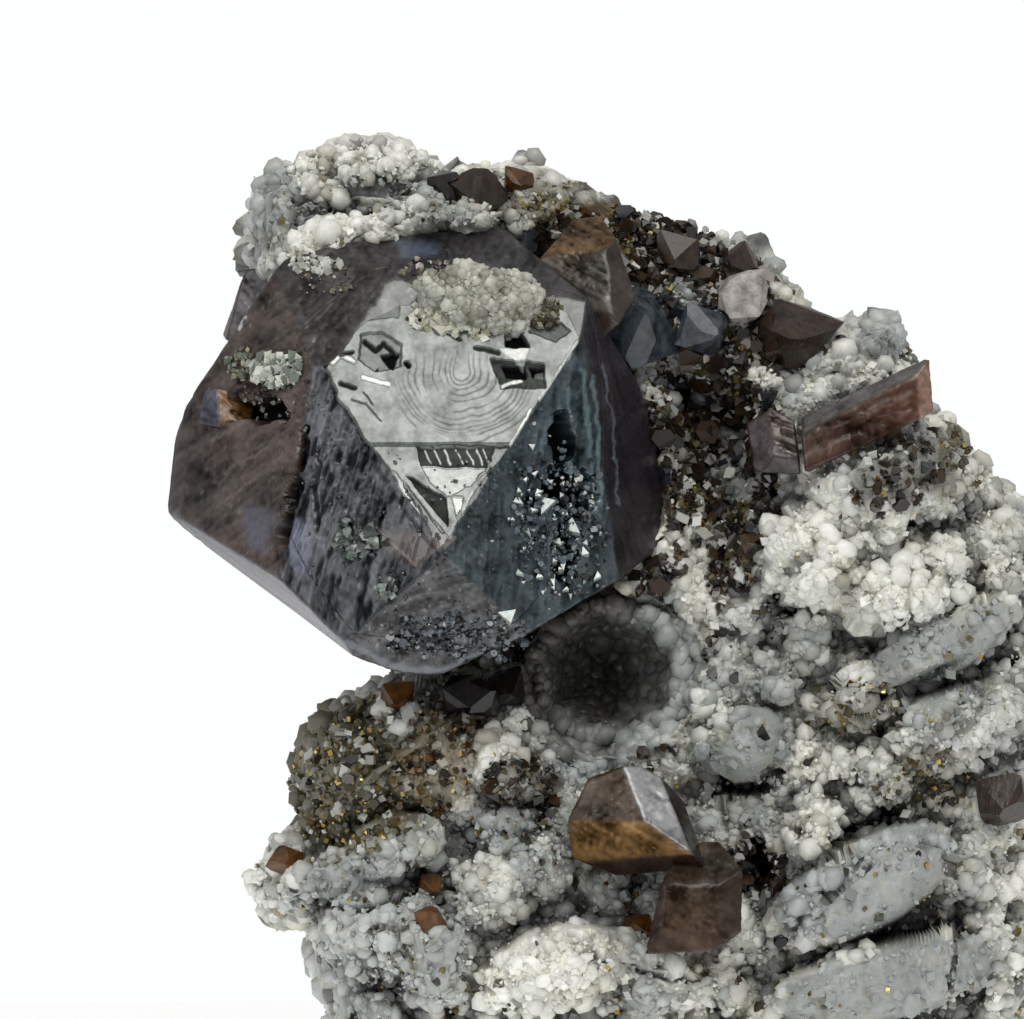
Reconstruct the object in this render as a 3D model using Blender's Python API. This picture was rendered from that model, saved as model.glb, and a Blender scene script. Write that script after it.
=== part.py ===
"""A sphalerite specimen: one great dark crystal and many small brown ones on a drusy carbonate matrix.

The front is seen along +Y, with +X to the right and +Z up. The specimen rests on the flat sawn foot of its
matrix, at Z = 0. Every crystal sits in a socket of the matrix, a hair's breadth clear of it.
All sizes are in millimetres and are turned to metres only where a mesh is made.
"""

from typing import NamedTuple

import bmesh
import bpy
import numpy as np
from mathutils import Euler

MM = 0.001
GAP = 0.3  # air between a crystal and its socket
BLOCK = 260.0  # side of the block that a crystal is cut from

# The matrix as a whole
ROCK_CENTRE_X = -0.5
ROCK_CENTRE_Z = 38.8
SIDE_RADIUS = 34.0  # rough distance from there to the rock's sides
RIM_DEPTH = 6.0  # depth of the rock's widest outline
FRONT_DEPTH_FOOT = -14.5  # depth of the front face where nothing stands out of it
FRONT_DEPTH_TOP = -3.5
BACK_DEPTH_FOOT = 21.5
BACK_DEPTH_TOP = 13.0
SPECIMEN_HEIGHT = 76.0
EDGE_POWER = 4.5  # how squarely the faces turn into the outline
RAYS = 200
SECTION_STEPS = 4000  # steps in which the rock's section is measured
FRONT_RINGS = 70
BACK_RINGS = 30
KEPT_SHARE = 0.125  # share of the rock's fine triangles that is kept
CHUNK_SIZE = 6.0  # width of the broken chunks that roughen the front
CHUNK_TILT = 0.30
CHUNK_LIFT = 1.8
BACK_CHUNK_SIZE = 12.0
BACK_CHUNK_TILT = 0.25
BACK_CHUNK_LIFT = 3.0
BACK_CHUNK_SHIFT = 50.0  # so that the back isn't broken like the front
SIDE_CHUNK_SIZE = 11.0
SIDE_CHUNK_LIFT = 2.2
SIDE_CHUNK_KEEP = 0.4  # relief of the sides that is let stand before it turns inwards
CHUNK_DROP = 0.9  # how far a chunk's edge falls away, as a share of its width

# The vug, an egg-shaped hollow, and the crust of small crystals in it
VUG_CENTRE = (-1.2, -8.0, 33.0)
VUG_RADII = (7.4, 12.4, 6.8)
VUG_LUMP = 0.09
CRUST_GAP = 0.85
CRUST_THICKNESS = 1.7
CRUST_LUMP = 0.9
CRUST_BRIM = 88.0  # how far the crust comes forward out of the vug's depth, in degrees
CRUST_BRIM_WAVE = 26.0
CRUST_SIDES = 24
CRUST_RINGS = 7

# The outline of the matrix seen from the front, clockwise from below the foot's left end: X and Z
OUTLINE = [
    (-23.5, -7.0), (-24.1, 4.6), (-24.9, 7.3), (-25.9, 9.9), (-25.8, 12.2), (-28.0, 12.2), (-29.4, 13.0),
    (-30.2, 14.2), (-31.0, 16.0), (-29.9, 17.8), (-26.5, 20.6), (-27.5, 23.3), (-27.5, 24.5),
    (-25.7, 28.2), (-24.6, 29.5), (-19.4, 31.6), (-17.6, 33.4), (-18.4, 38.8), (-20.6, 45.0),
    (-23.8, 52.4), (-27.4, 58.8), (-29.2, 63.0), (-31.0, 66.8), (-30.6, 73.5), (-26.3, 75.4),
    (-22.6, 76.7), (-19.6, 76.7), (-16.5, 75.3), (-14.5, 74.1), (-10.8, 74.1), (-7.6, 73.9), (-3.3, 72.7),
    (-0.2, 70.6), (4.6, 69.6), (9.5, 68.2), (11.8, 66.8), (13.8, 64.1), (16.2, 61.1), (18.9, 61.1),
    (22.2, 61.9), (23.2, 59.2), (25.0, 54.8), (28.3, 51.3), (31.1, 48.6), (33.1, 45.4), (35.2, 41.1),
    (36.6, 35.4), (37.4, 27.7), (36.2, 19.4), (35.2, 11.4), (33.6, 3.6), (33.0, -7.0),
]


class Feature(NamedTuple):
    """A lump that stands out of the rock's front, or a hollow in it.

    Its surface is at depth y in its middle, and changes by `fall` at the edge of an ellipse of half width w
    and half height h, turned anticlockwise by `turn` degrees. A high power makes it flat in the middle.
    """

    x: float
    z: float
    w: float
    h: float
    y: float
    fall: float = 5.0
    power: float = 2.4
    turn: float = 0.0
    hollow: bool = False


# Each feature is laid over those before it
ROCK_FEATURES = [
    # seat of the great crystal
    Feature(-16.1, 50.4, 18.8, 17.2, 0.0, -6.0, 8.0, hollow=True),
    # white cap over the great crystal's upper left
    Feature(-21.7, 73.2, 8.4, 2.8, -5.0, 4.0, 4.0, 3.0),
    Feature(-28.6, 69.4, 2.2, 4.2, -8.0, 5.0, 5.0),
    Feature(-28.0, 65.8, 2.0, 1.7, -10.5),
    Feature(-25.6, 66.6, 2.5, 2.1, -12.0),
    Feature(-22.9, 67.7, 2.7, 2.2, -12.6),
    Feature(-19.8, 69.0, 3.0, 2.2, -12.4),
    Feature(-16.2, 70.2, 2.6, 1.9, -11.4),
    Feature(-12.6, 69.8, 2.4, 1.8, -10.6),
    Feature(-14.3, 72.2, 1.5, 1.4, -8.0, 4.0),
    Feature(-10.8, 72.6, 2.6, 1.5, -5.6, 4.0),
    # grey ridge along the upper right
    Feature(-7.0, 70.0, 4.4, 3.0, -6.4, 4.0, 3.0, -25.0),
    Feature(1.8, 68.0, 6.4, 2.4, -4.2, 4.0, 3.0, -18.0),
    Feature(9.0, 65.2, 5.0, 2.8, -4.4, 4.0, 3.0, -35.0),
    Feature(5.6, 62.0, 7.6, 4.6, -6.0, 4.0, 3.0, -25.0),
    Feature(11.5, 56.6, 2.4, 1.7, -7.6, 4.0),
    Feature(17.4, 58.6, 4.0, 2.9, -7.6, 5.0, 3.0, 22.0),
    Feature(20.6, 60.0, 1.9, 1.9, -7.0, 4.0),
    # dark speckled hollow between the great crystal and the right shoulder
    Feature(7.0, 51.8, 4.4, 7.6, -2.6, -7.0, 3.0, hollow=True),
    # right shoulder
    Feature(21.0, 49.6, 5.4, 4.2, -14.6, 6.0, 3.0, 20.0),
    Feature(26.4, 47.8, 3.6, 3.4, -11.0),
    Feature(29.6, 46.4, 2.8, 2.6, -8.0),
    Feature(11.2, 43.4, 3.0, 3.6, -12.4, 6.0),
    Feature(17.6, 42.6, 7.6, 4.8, -15.4, 6.0, 4.0, 8.0),
    Feature(22.6, 40.0, 5.6, 4.0, -17.4, 6.0, 3.0, 15.0),
    Feature(30.4, 42.0, 4.4, 4.4, -12.0, 5.0, 3.0, 30.0),
    # right wall of the vug and the lumps beside it
    Feature(9.4, 37.0, 3.4, 4.8, -9.0, 6.0),
    Feature(14.0, 35.4, 3.8, 3.8, -12.4, 6.0),
    Feature(12.2, 32.6, 2.6, 3.0, -13.0),
    Feature(9.0, 27.2, 4.2, 3.2, -14.6, 5.0, 3.4, 28.0),
    # ledges that step down to the right
    Feature(25.6, 35.6, 6.8, 3.0, -15.0, 6.0, 5.0, 28.0),
    Feature(26.6, 28.2, 6.0, 3.4, -17.2, 5.0, 3.0, 18.0),
    Feature(19.4, 31.0, 4.2, 3.0, -14.4, 5.0, 3.0, 28.0),
    Feature(20.0, 24.6, 4.4, 3.4, -14.6),
    Feature(15.2, 20.2, 2.8, 3.6, -18.0, 6.0),
    Feature(18.8, 15.8, 8.4, 3.7, -19.6, 6.0, 6.0, 27.0),
    Feature(21.0, 8.6, 9.4, 3.4, -19.8, 6.0, 6.0, 11.0),
    Feature(28.6, 10.0, 3.4, 4.0, -17.6, 5.0, 4.0),
    Feature(26.8, 17.0, 3.4, 3.4, -15.6),
    Feature(30.6, 22.0, 4.0, 5.4, -14.0),
    # middle of the foot
    Feature(1.2, 8.4, 5.0, 4.2, -17.4),
    Feature(6.4, 7.6, 5.0, 3.4, -15.8),
    Feature(-6.4, 9.2, 6.6, 3.4, -21.0, 6.0, 3.0, 12.0),
    Feature(-1.8, 10.0, 4.0, 2.8, -20.2, 6.0),
    # lower left lobe
    Feature(-22.4, 25.2, 5.0, 5.6, -14.2, 6.0, 3.4),
    Feature(-20.2, 29.0, 3.4, 2.6, -12.2),
    Feature(-16.4, 26.0, 4.2, 4.8, -14.4, 5.0, 3.0),
    Feature(-11.6, 24.4, 4.4, 4.8, -14.6, 5.0, 3.0),
    Feature(-28.2, 16.6, 2.8, 2.8, -11.2),
    Feature(-23.6, 16.4, 5.6, 2.8, -15.4, 5.0, 4.0, 14.0),
    Feature(-18.8, 18.8, 4.4, 2.8, -17.2, 5.0, 4.0, 20.0),
    Feature(-19.6, 12.4, 5.6, 4.8, -18.2, 5.0, 3.0),
    Feature(-23.6, 10.4, 3.2, 4.0, -15.2),
    Feature(-14.8, 9.8, 4.0, 4.8, -18.6, 5.0, 3.0),
    Feature(-10.8, 14.8, 3.6, 4.0, -17.4),
    Feature(-7.0, 17.8, 3.2, 4.0, -16.0),
    Feature(-9.6, 20.6, 3.2, 2.4, -16.0),
    Feature(-8.2, 29.2, 2.4, 4.8, -7.0),
    Feature(-14.0, 30.6, 4.6, 2.4, -7.6),
    Feature(-2.6, 25.6, 4.8, 2.0, -8.6),
    # open cracks and gaps
    Feature(-20.9, 70.9, 5.6, 1.0, -4.0, -6.0, 2.4, 10.0, hollow=True),
    Feature(10.6, 17.8, 1.4, 3.2, -6.0, -10.0, 2.4, 8.0, hollow=True),
    Feature(9.6, 23.6, 4.0, 0.9, -7.0, -8.0, 2.4, 6.0, hollow=True),
    Feature(22.0, 31.6, 7.6, 0.8, -11.4, -5.0, 2.4, 28.0, hollow=True),
    Feature(20.4, 12.2, 7.0, 0.7, -14.4, -5.0, 2.4, 17.0, hollow=True),
]


class Seed(NamedTuple):
    """A free-grown small crystal: where it stands, how far out of the rock, its size and how it is turned."""

    x: float
    z: float
    proud: float  # how far its middle stands out of the rock's face
    radius: float
    turn: tuple
    stretch: tuple = (1.0, 1.0, 1.0)


SMALL_CRYSTALS = {
    "left_ridge_crystal": Seed(-11.8, 71.6, 1.0, 1.9, (40, 10, 20), (1.1, 1.0, 1.0)),
    "grey_ridge_crystal": Seed(0.8, 60.6, 1.2, 2.9, (70, 20, 10), (1.15, 1.0, 0.95)),
    "blue_ridge_crystal": Seed(6.0, 60.4, 1.0, 1.9, (15, 60, 40)),
    "flash_ridge_crystal": Seed(9.3, 63.0, 1.2, 2.0, (35, 15, 55), (1.0, 1.0, 1.2)),
    "right_ridge_crystal": Seed(13.4, 60.0, 1.2, 2.3, (20, 75, 10), (1.0, 1.0, 1.45)),
    "crest_crystal_1": Seed(4.4, 66.4, 0.4, 1.5, (30, 50, 10), (1.3, 1.0, 1.0)),
    "crest_crystal_2": Seed(9.2, 65.8, 0.6, 1.4, (10, 20, 60), (1.0, 1.0, 1.1)),
    "crest_crystal_3": Seed(-14.5, 72.0, -0.4, 1.3, (50, 20, 30)),
    "amber_grain_1": Seed(-8.6, 72.4, 0.5, 1.1, (20, 50, 30), (1.2, 1.0, 0.9)),
    "amber_grain_2": Seed(17.0, 46.0, 0.4, 1.0, (0, 10, 45), (0.9, 1.0, 1.0)),
    "amber_grain_3": Seed(-15.8, 16.0, 0.4, 1.0, (30, 30, 60)),
    "amber_grain_4": Seed(-15.6, 13.4, 0.4, 1.1, (60, 20, 10)),
    "amber_grain_5": Seed(-27.3, 17.9, 0.4, 1.1, (20, 70, 20), (0.9, 1.0, 1.1)),
    "amber_grain_6": Seed(0.9, 12.6, 0.4, 1.1, (35, 10, 70)),
    "amber_grain_7": Seed(-18.3, 31.0, 0.2, 1.2, (25, 45, 15), (1.0, 1.0, 1.2)),
    "brown_edge_crystal": Seed(30.0, 22.8, 0.6, 2.0, (30, 30, 10), (1.0, 1.0, 1.05)),
}
# The crystals grown together with others are given numbers past those of the ones that stand alone
DARK_RIDGE_NUMBER = 30
DARK_FOOT_NUMBER = 40
DARK_RIDGE_SEED = Seed(-2.4, 68.8, 1.0, 2.1, (10, -38, 30), (0.9, 1.0, 1.5))
DARK_FOOT_GROUP = [
    Seed(-13.4, 31.2, 0.8, 1.5, (30, 20, 50), (1.0, 1.0, 1.1)),
    Seed(-11.4, 30.9, 1.0, 1.5, (60, 50, 10)),
    Seed(-9.6, 31.6, 0.8, 1.4, (10, 30, 20), (1.0, 1.0, 1.2)),
]

# Forms of a free-grown crystal: the facet normals of each, and its distance as a share of the radius
TETRAHEDRON = [(1, 1, 1), (1, -1, -1), (-1, 1, -1), (-1, -1, 1)]
COUNTER_TETRAHEDRON = [(-1, -1, -1), (-1, 1, 1), (1, -1, 1), (1, 1, -1)]
DODECAHEDRON = [(1, 1, 0), (1, -1, 0), (-1, 1, 0), (-1, -1, 0), (1, 0, 1), (1, 0, -1),
                (-1, 0, 1), (-1, 0, -1), (0, 1, 1), (0, 1, -1), (0, -1, 1), (0, -1, -1)]
FORM_SHARES = [(TETRAHEDRON, 0.82), (COUNTER_TETRAHEDRON, 1.0), (DODECAHEDRON, 0.95)]
FORM_UNEVENNESS = 0.22


class Facet(NamedTuple):
    """A flat crystal face: its outward normal, and how far along it the face lies from the origin."""

    normal: np.ndarray
    reach: float


class Beside(NamedTuple):
    """A facet that meets another along an edge, given by its ends as seen from the front: X and Z."""

    name: str
    neighbour: str
    start: tuple
    end: tuple
    turn: float  # degrees that it turns away from its neighbour


class Rim(NamedTuple):
    """A facet seen edge-on as a side of the outline, leaning back by `lean` degrees at a depth."""

    start: tuple
    end: tuple
    lean: float
    depth: float


class Habit(NamedTuple):
    """A crystal that is given facet by facet."""

    first_name: str
    first_normal: tuple
    first_point: tuple
    beside: list
    rims: list
    back: list  # each a normal and a point of a facet at the back


GREAT_CRYSTAL = Habit(
    "mirror", (0.04, -0.906, 0.423), (-14.6, -23.0, 43.0),
    [
        Beside("striated", "mirror", (-23.0, 57.6), (-14.6, 43.0), 30.0),
        Beside("teal", "mirror", (-3.5, 59.8), (-14.6, 43.0), -38.0),
        Beside("upper_left", "mirror", (-23.0, 57.6), (-19.8, 62.8), -24.0),
        Beside("upper", "mirror", (-16.5, 64.2), (-6.5, 63.0), -30.0),
        Beside("left", "striated", (-25.8, 52.5), (-27.6, 40.7), 30.0),
        Beside("foot", "mirror", (-19.7, 42.0), (-8.5, 43.4), 52.0),
        Beside("right", "teal", (-3.0, 56.4), (-1.1, 44.2), -26.0),
        Beside("lower_left", "left", (-35.7, 45.2), (-27.5, 40.4), 52.0),
    ],
    [
        Rim((-37.0, 46.9), (-36.7, 52.0), 12.0, -3.0),
        Rim((-36.7, 52.0), (-35.4, 55.4), 12.0, -3.0),
        Rim((-35.6, 55.0), (-29.1, 62.8), 10.0, -4.0),
        Rim((-26.1, 65.8), (-10.1, 69.0), 15.0, -6.0),
        Rim((-10.1, 68.8), (1.1, 55.2), 12.0, -5.0),
        Rim((1.1, 55.2), (4.0, 45.6), 10.0, -5.0),
        Rim((4.1, 45.6), (3.3, 43.2), 10.0, -5.0),
        Rim((3.4, 41.9), (-14.1, 33.5), 7.6, -16.4),
        Rim((-14.8, 32.9), (-18.6, 33.3), 14.0, -18.0),
        Rim((-18.6, 33.3), (-25.8, 36.4), 12.0, -19.0),
        Rim((-26.0, 36.5), (-34.6, 42.7), 8.0, -9.0),
    ],
    [
        ((0.0, 1.0, 0.0), (0.0, 11.0, 50.0)),
        ((-0.72, 0.68, 0.12), (-33.0, 3.0, 50.0)),
        ((-0.40, 0.72, -0.56), (-28.0, 5.0, 40.0)),
        ((0.30, 0.70, -0.64), (-6.0, 6.0, 38.0)),
    ],
)
BLADE_CRYSTAL = Habit(
    "front", (-0.16, -0.975, 0.14), (19.0, -15.2, 53.8),
    [
        Beside("top", "front", (14.2, 52.2), (23.1, 56.8), -48.0),
        Beside("right_end", "front", (23.1, 56.8), (23.3, 53.6), -46.0),
    ],
    [
        Rim((13.8, 53.4), (23.9, 57.9), 10.0, -13.0),
        Rim((23.7, 58.1), (23.9, 53.7), 10.0, -12.0),
        Rim((23.0, 53.2), (14.3, 49.0), 2.0, -13.0),
        Rim((14.3, 49.1), (13.8, 53.6), 8.0, -14.0),
    ],
    [((0.0, 1.0, 0.0), (19.0, 0.0, 53.0))],
)
BLADE_SIDE_CRYSTAL = Habit(
    "front", (0.10, -0.90, 0.42), (12.2, -13.2, 51.6),
    [
        Beside("left", "front", (11.4, 53.4), (11.9, 49.4), 42.0),
        Beside("lower", "front", (10.2, 50.6), (13.8, 50.2), 40.0),
    ],
    [
        Rim((9.7, 53.0), (11.6, 53.8), 15.0, -11.0),
        Rim((11.6, 53.8), (13.3, 52.8), 15.0, -11.0),
        Rim((13.4, 52.8), (13.8, 49.2), 2.0, -11.0),
        Rim((13.8, 49.2), (10.6, 49.4), 10.0, -11.0),
        Rim((10.4, 49.4), (9.6, 53.0), 10.0, -11.0),
    ],
    [((0.0, 1.0, 0.0), (12.0, 0.0, 51.0))],
)
BEHIND_CRYSTAL = Habit(
    "front", (-0.42, -0.86, 0.28), (-31.2, -2.4, 62.6),
    [Beside("edge", "front", (-31.0, 64.4), (-32.0, 60.4), 50.0)],
    [
        Rim((-32.3, 60.3), (-30.4, 65.0), 12.0, 0.0),
        Rim((-30.4, 65.2), (-27.2, 65.4), 8.0, 0.0),
        Rim((-27.2, 65.0), (-28.2, 59.6), 4.0, 0.0),
        Rim((-28.6, 59.6), (-32.3, 60.2), 10.0, 0.0),
    ],
    [((0.0, 1.0, 0.0), (-30.0, 8.0, 62.0))],
)
AMBER_RIDGE_CRYSTAL = Habit(
    "front", (-0.25, -0.88, 0.40), (-3.4, -10.4, 64.8),
    [
        Beside("amber_top", "front", (-6.0, 66.4), (-1.4, 66.9), -30.0),
        Beside("right", "front", (-1.6, 67.0), (-1.2, 61.6), -44.0),
        Beside("foot", "front", (-5.4, 62.4), (-1.2, 61.6), 46.0),
    ],
    [
        Rim((-6.4, 66.0), (-4.6, 69.8), 15.0, -7.0),
        Rim((-4.6, 69.8), (-1.8, 70.0), 15.0, -7.0),
        Rim((-1.8, 70.0), (0.0, 63.2), 12.0, -7.0),
        Rim((0.0, 63.2), (-2.2, 60.6), 12.0, -7.0),
        Rim((-2.2, 60.6), (-6.4, 63.6), 12.0, -7.0),
    ],
    [((0.0, 1.0, 0.0), (-3.0, -1.0, 65.0))],
)
LOWER_LEFT_CRYSTAL = Habit(
    "silver", (0.30, -0.74, 0.60), (1.8, -20.6, 21.8),
    [
        Beside("brown", "silver", (-0.2, 25.4), (2.4, 18.8), 52.0),
        Beside("dark", "silver", (2.4, 25.4), (5.4, 18.2), -44.0),
        Beside("amber", "brown", (-4.8, 21.4), (-1.0, 21.4), 50.0),
        Beside("below", "amber", (-4.4, 18.0), (2.4, 18.6), 24.0),
    ],
    [
        Rim((-4.8, 21.8), (-3.2, 25.2), 15.0, -18.0),
        Rim((-3.2, 25.2), (1.0, 25.9), 22.0, -18.0),
        Rim((1.0, 25.9), (5.0, 23.8), 18.0, -18.0),
        Rim((5.0, 23.8), (6.0, 18.4), 12.0, -18.0),
        Rim((5.6, 17.9), (-1.2, 16.2), 10.0, -18.0),
        Rim((-1.2, 16.4), (-4.6, 17.9), 10.0, -18.0),
        Rim((-4.9, 18.2), (-4.9, 21.8), 10.0, -18.0),
    ],
    [((0.0, 1.0, 0.0), (0.0, -5.0, 21.0))],
)
LOWER_RIGHT_CRYSTAL = Habit(
    "front", (-0.10, -0.985, 0.12), (5.4, -22.0, 14.6),
    [
        Beside("upper", "front", (2.8, 16.4), (8.2, 16.4), -44.0),
        Beside("right", "front", (7.4, 17.4), (7.0, 12.2), -40.0),
        Beside("lower", "front", (2.2, 13.0), (7.8, 12.6), 36.0),
        Beside("left", "front", (3.2, 17.2), (2.6, 12.0), 40.0),
    ],
    [
        Rim((1.8, 12.0), (3.2, 17.6), 12.0, -20.0),
        Rim((3.2, 17.6), (5.6, 20.2), 12.0, -20.0),
        Rim((5.6, 20.2), (7.6, 20.2), 12.0, -20.0),
        Rim((7.6, 20.2), (9.0, 17.4), 12.0, -20.0),
        Rim((9.0, 17.4), (8.8, 12.8), 12.0, -20.0),
        Rim((8.8, 12.8), (6.4, 11.4), 12.0, -20.0),
        Rim((6.4, 11.4), (1.8, 11.0), 12.0, -20.0),
    ],
    [((0.0, 1.0, 0.0), (5.0, -5.0, 15.0))],
)

# The small crystal that has grown into the great crystal's left side, above its amber corner
NESTED_CRYSTAL = Habit(
    "lavender", (-0.72, -0.68, 0.14), (-33.2, -6.2, 54.6),
    [
        Beside("amber", "lavender", (-32.8, 55.4), (-32.6, 52.8), -54.0),
        Beside("under", "lavender", (-33.8, 52.9), (-32.6, 52.7), 60.0),
    ],
    [
        Rim((-34.3, 53.0), (-33.7, 56.0), 8.0, -5.0),
        Rim((-33.3, 56.1), (-29.6, 55.6), 20.0, -7.0),
        Rim((-29.4, 55.6), (-29.8, 53.2), 8.0, -8.0),
        Rim((-29.8, 52.6), (-34.0, 52.6), 12.0, -7.0),
    ],
    [((0.0, 1.0, 0.0), (-32.0, 1.0, 54.0))],
)

# The bright growth plate on the great crystal's mirror facet: its outline, X and Z, and its rise
PLATE_OUTLINE = [(-22.8, 57.2), (-20.0, 61.9), (-4.6, 61.6), (-3.9, 59.6), (-9.3, 51.0), (-16.6, 50.8),
                 (-18.6, 49.0)]
PLATE_RISE = 0.5


class Pit(NamedTuple):
    """An open pit in a facet: X and Z of its middle, half width, half height, depth and turn in degrees."""

    facet: str
    x: float
    z: float
    w: float
    h: float
    depth: float
    turn: float


GREAT_PITS = [
    Pit("mirror", -8.6, 56.8, 1.5, 1.2, 2.0, 20.0),
    Pit("mirror", -9.2, 60.4, 0.7, 1.7, 1.8, 25.0),
    Pit("teal", -5.0, 51.8, 0.8, 1.7, 3.0, 8.0),
    Pit("teal", -4.6, 47.4, 2.1, 1.8, 2.6, -30.0),
    Pit("teal", -4.9, 42.8, 0.9, 2.1, 2.6, -8.0),
    Pit("left", -27.0, 44.8, 0.7, 1.5, 2.2, -14.0),
    Pit("left", -26.0, 48.6, 0.5, 1.3, 1.8, -10.0),
    Pit("left", -29.6, 53.9, 2.8, 1.1, 2.8, -6.0),
]
PIT_CORNERS = 5

# The white druse that has grown over the top of the mirror facet
DRUSE_MIDDLE = (-12.0, -14.6, 62.6)
DRUSE_RADII = (5.0, 2.0, 3.4)
DRUSE_LUMP = 0.22
DRUSE_LEAN = 30.0  # degrees that its face looks up

ZINC_BLENDE = (0.035, 0.027, 0.028, 1.0)
BROWN_BLENDE = (0.09, 0.035, 0.02, 1.0)
AMBER_BLENDE = (0.28, 0.12, 0.02, 1.0)
DRUSE_WHITE = (0.62, 0.64, 0.60, 1.0)
ROCK_GREY = (0.42, 0.44, 0.43, 1.0)


def unit(vector):
    """Give a vector the length 1."""
    vector = np.asarray(vector, dtype=float)
    return vector / np.linalg.norm(vector)


def facet_through(normal, point):
    """The facet with this normal that passes through the point."""
    normal = unit(normal)
    return Facet(normal, float(normal @ np.asarray(point, dtype=float)))


def point_on(facet, x, z):
    """The point of the facet that is seen at X, Z from the front."""
    depth = (facet.reach - facet.normal[0] * x - facet.normal[2] * z) / facet.normal[1]
    return np.array([x, depth, z])


def facet_beside(neighbour, start, end, turn):
    """The facet that shares the neighbour's edge from start to end, turned about that edge."""
    corner = point_on(neighbour, *start)
    edge = unit(point_on(neighbour, *end) - corner)
    angle = np.radians(turn)
    normal = neighbour.normal * np.cos(angle) + np.cross(edge, neighbour.normal) * np.sin(angle)
    return facet_through(normal, corner)


def rim_facet(rim):
    """The facet whose edge-on view is one side of the outline, clockwise as seen from the front."""
    along = unit((rim.end[0] - rim.start[0], 0.0, rim.end[1] - rim.start[1]))
    outward = np.cross(along, (0.0, 1.0, 0.0))
    lean = np.radians(rim.lean)
    normal = outward * np.cos(lean) + np.array((0.0, np.sin(lean), 0.0))
    return facet_through(normal, (rim.start[0], rim.depth, rim.start[1]))


def habit_facets(habit):
    """Every facet of a crystal that is given facet by facet, by name."""
    facets = {habit.first_name: facet_through(habit.first_normal, habit.first_point)}
    for item in habit.beside:
        facets[item.name] = facet_beside(facets[item.neighbour], item.start, item.end, item.turn)
    for number, rim in enumerate(habit.rims):
        facets[f"rim_{number}"] = rim_facet(rim)
    for number, (normal, point) in enumerate(habit.back):
        facets[f"back_{number}"] = facet_through(normal, point)
    return facets


def cell_random(i, j, salt):
    """A number from 0 to 1 that only depends on the cell and the salt."""
    wave = np.sin(i * 127.1 + j * 311.7 + salt * 74.7) * 43758.5453
    return wave - np.floor(wave)


def broken_chunks(x, z, size, tilt, lift):
    """Height of broken chunks: the highest of the tilted, round-edged faces around each point."""
    cell_x = np.floor(x / size)
    cell_z = np.floor(z / size)
    height = np.full(np.shape(x), -np.inf)
    for step_x in (-1, 0, 1):
        for step_z in (-1, 0, 1):
            i = cell_x + step_x
            j = cell_z + step_z
            off_x = x - (i + 0.1 + 0.8 * cell_random(i, j, 1)) * size
            off_z = z - (j + 0.1 + 0.8 * cell_random(i, j, 2)) * size
            face = lift * (cell_random(i, j, 3) - 0.5)
            face += 2 * tilt * (cell_random(i, j, 4) - 0.5) * off_x
            face += 2 * tilt * (cell_random(i, j, 5) - 0.5) * off_z
            face -= CHUNK_DROP * size * ((off_x ** 2 + off_z ** 2) / size ** 2) ** 2
            height = np.maximum(height, face)
    return height


def rock_front(x, z):
    """Depth of the rock's front face at X and Z, before it turns into the outline."""
    share = z / SPECIMEN_HEIGHT
    depth = FRONT_DEPTH_FOOT + (FRONT_DEPTH_TOP - FRONT_DEPTH_FOOT) * share
    for feature in ROCK_FEATURES:
        angle = np.radians(feature.turn)
        along = (x - feature.x) * np.cos(angle) + (z - feature.z) * np.sin(angle)
        across = (z - feature.z) * np.cos(angle) - (x - feature.x) * np.sin(angle)
        radius = np.sqrt((along / feature.w) ** 2 + (across / feature.h) ** 2)
        face = feature.y + feature.fall * np.minimum(radius, 3.0) ** feature.power
        depth = np.maximum(depth, face) if feature.hollow else np.minimum(depth, face)
    return depth - broken_chunks(x, z, CHUNK_SIZE, CHUNK_TILT, CHUNK_LIFT)


def rock_back(x, z):
    """Depth of the rock's back face at X and Z, before it turns into the outline."""
    share = z / SPECIMEN_HEIGHT
    depth = BACK_DEPTH_FOOT + (BACK_DEPTH_TOP - BACK_DEPTH_FOOT) * share
    return depth + broken_chunks(x + BACK_CHUNK_SHIFT, z, BACK_CHUNK_SIZE, BACK_CHUNK_TILT, BACK_CHUNK_LIFT)


def outline_radius(angles):
    """Distance from the rock's middle to its outline, in each direction."""
    points = np.array(OUTLINE) - (ROCK_CENTRE_X, ROCK_CENTRE_Z)
    corner_angles = np.degrees(np.arctan2(points[:, 1], points[:, 0])) % 360.0
    radii = np.hypot(points[:, 0], points[:, 1])
    order = np.argsort(corner_angles)
    return np.interp(angles, corner_angles[order], radii[order], period=360.0)


def edge_share(distance):
    """How much of the rock's relief is left at a share of the way out to the outline."""
    return (1.0 - distance ** EDGE_POWER) ** (1.0 / EDGE_POWER)


def ring_distances(rings, radius, depth):
    """Shares of the way out at which the rings lie evenly along the rock's section."""
    fine = 1.0 - np.linspace(1.0, 0.0, SECTION_STEPS) ** 3
    steps = np.hypot(np.diff(fine) * radius, np.diff(edge_share(fine)) * depth)
    length = np.concatenate(([0.0], np.cumsum(steps)))
    return np.interp(np.linspace(0.0, length[-1], rings + 1), length, fine)


def front_depth_at(x, z):
    """Depth of the finished front face at one place."""
    across = np.array((x - ROCK_CENTRE_X, z - ROCK_CENTRE_Z))
    angle = np.degrees(np.arctan2(across[1], across[0])) % 360.0
    share = edge_share(min(np.hypot(*across) / outline_radius(angle), 1.0))
    return RIM_DEPTH + share * (rock_front(np.array(x), np.array(z)) - RIM_DEPTH)


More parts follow.
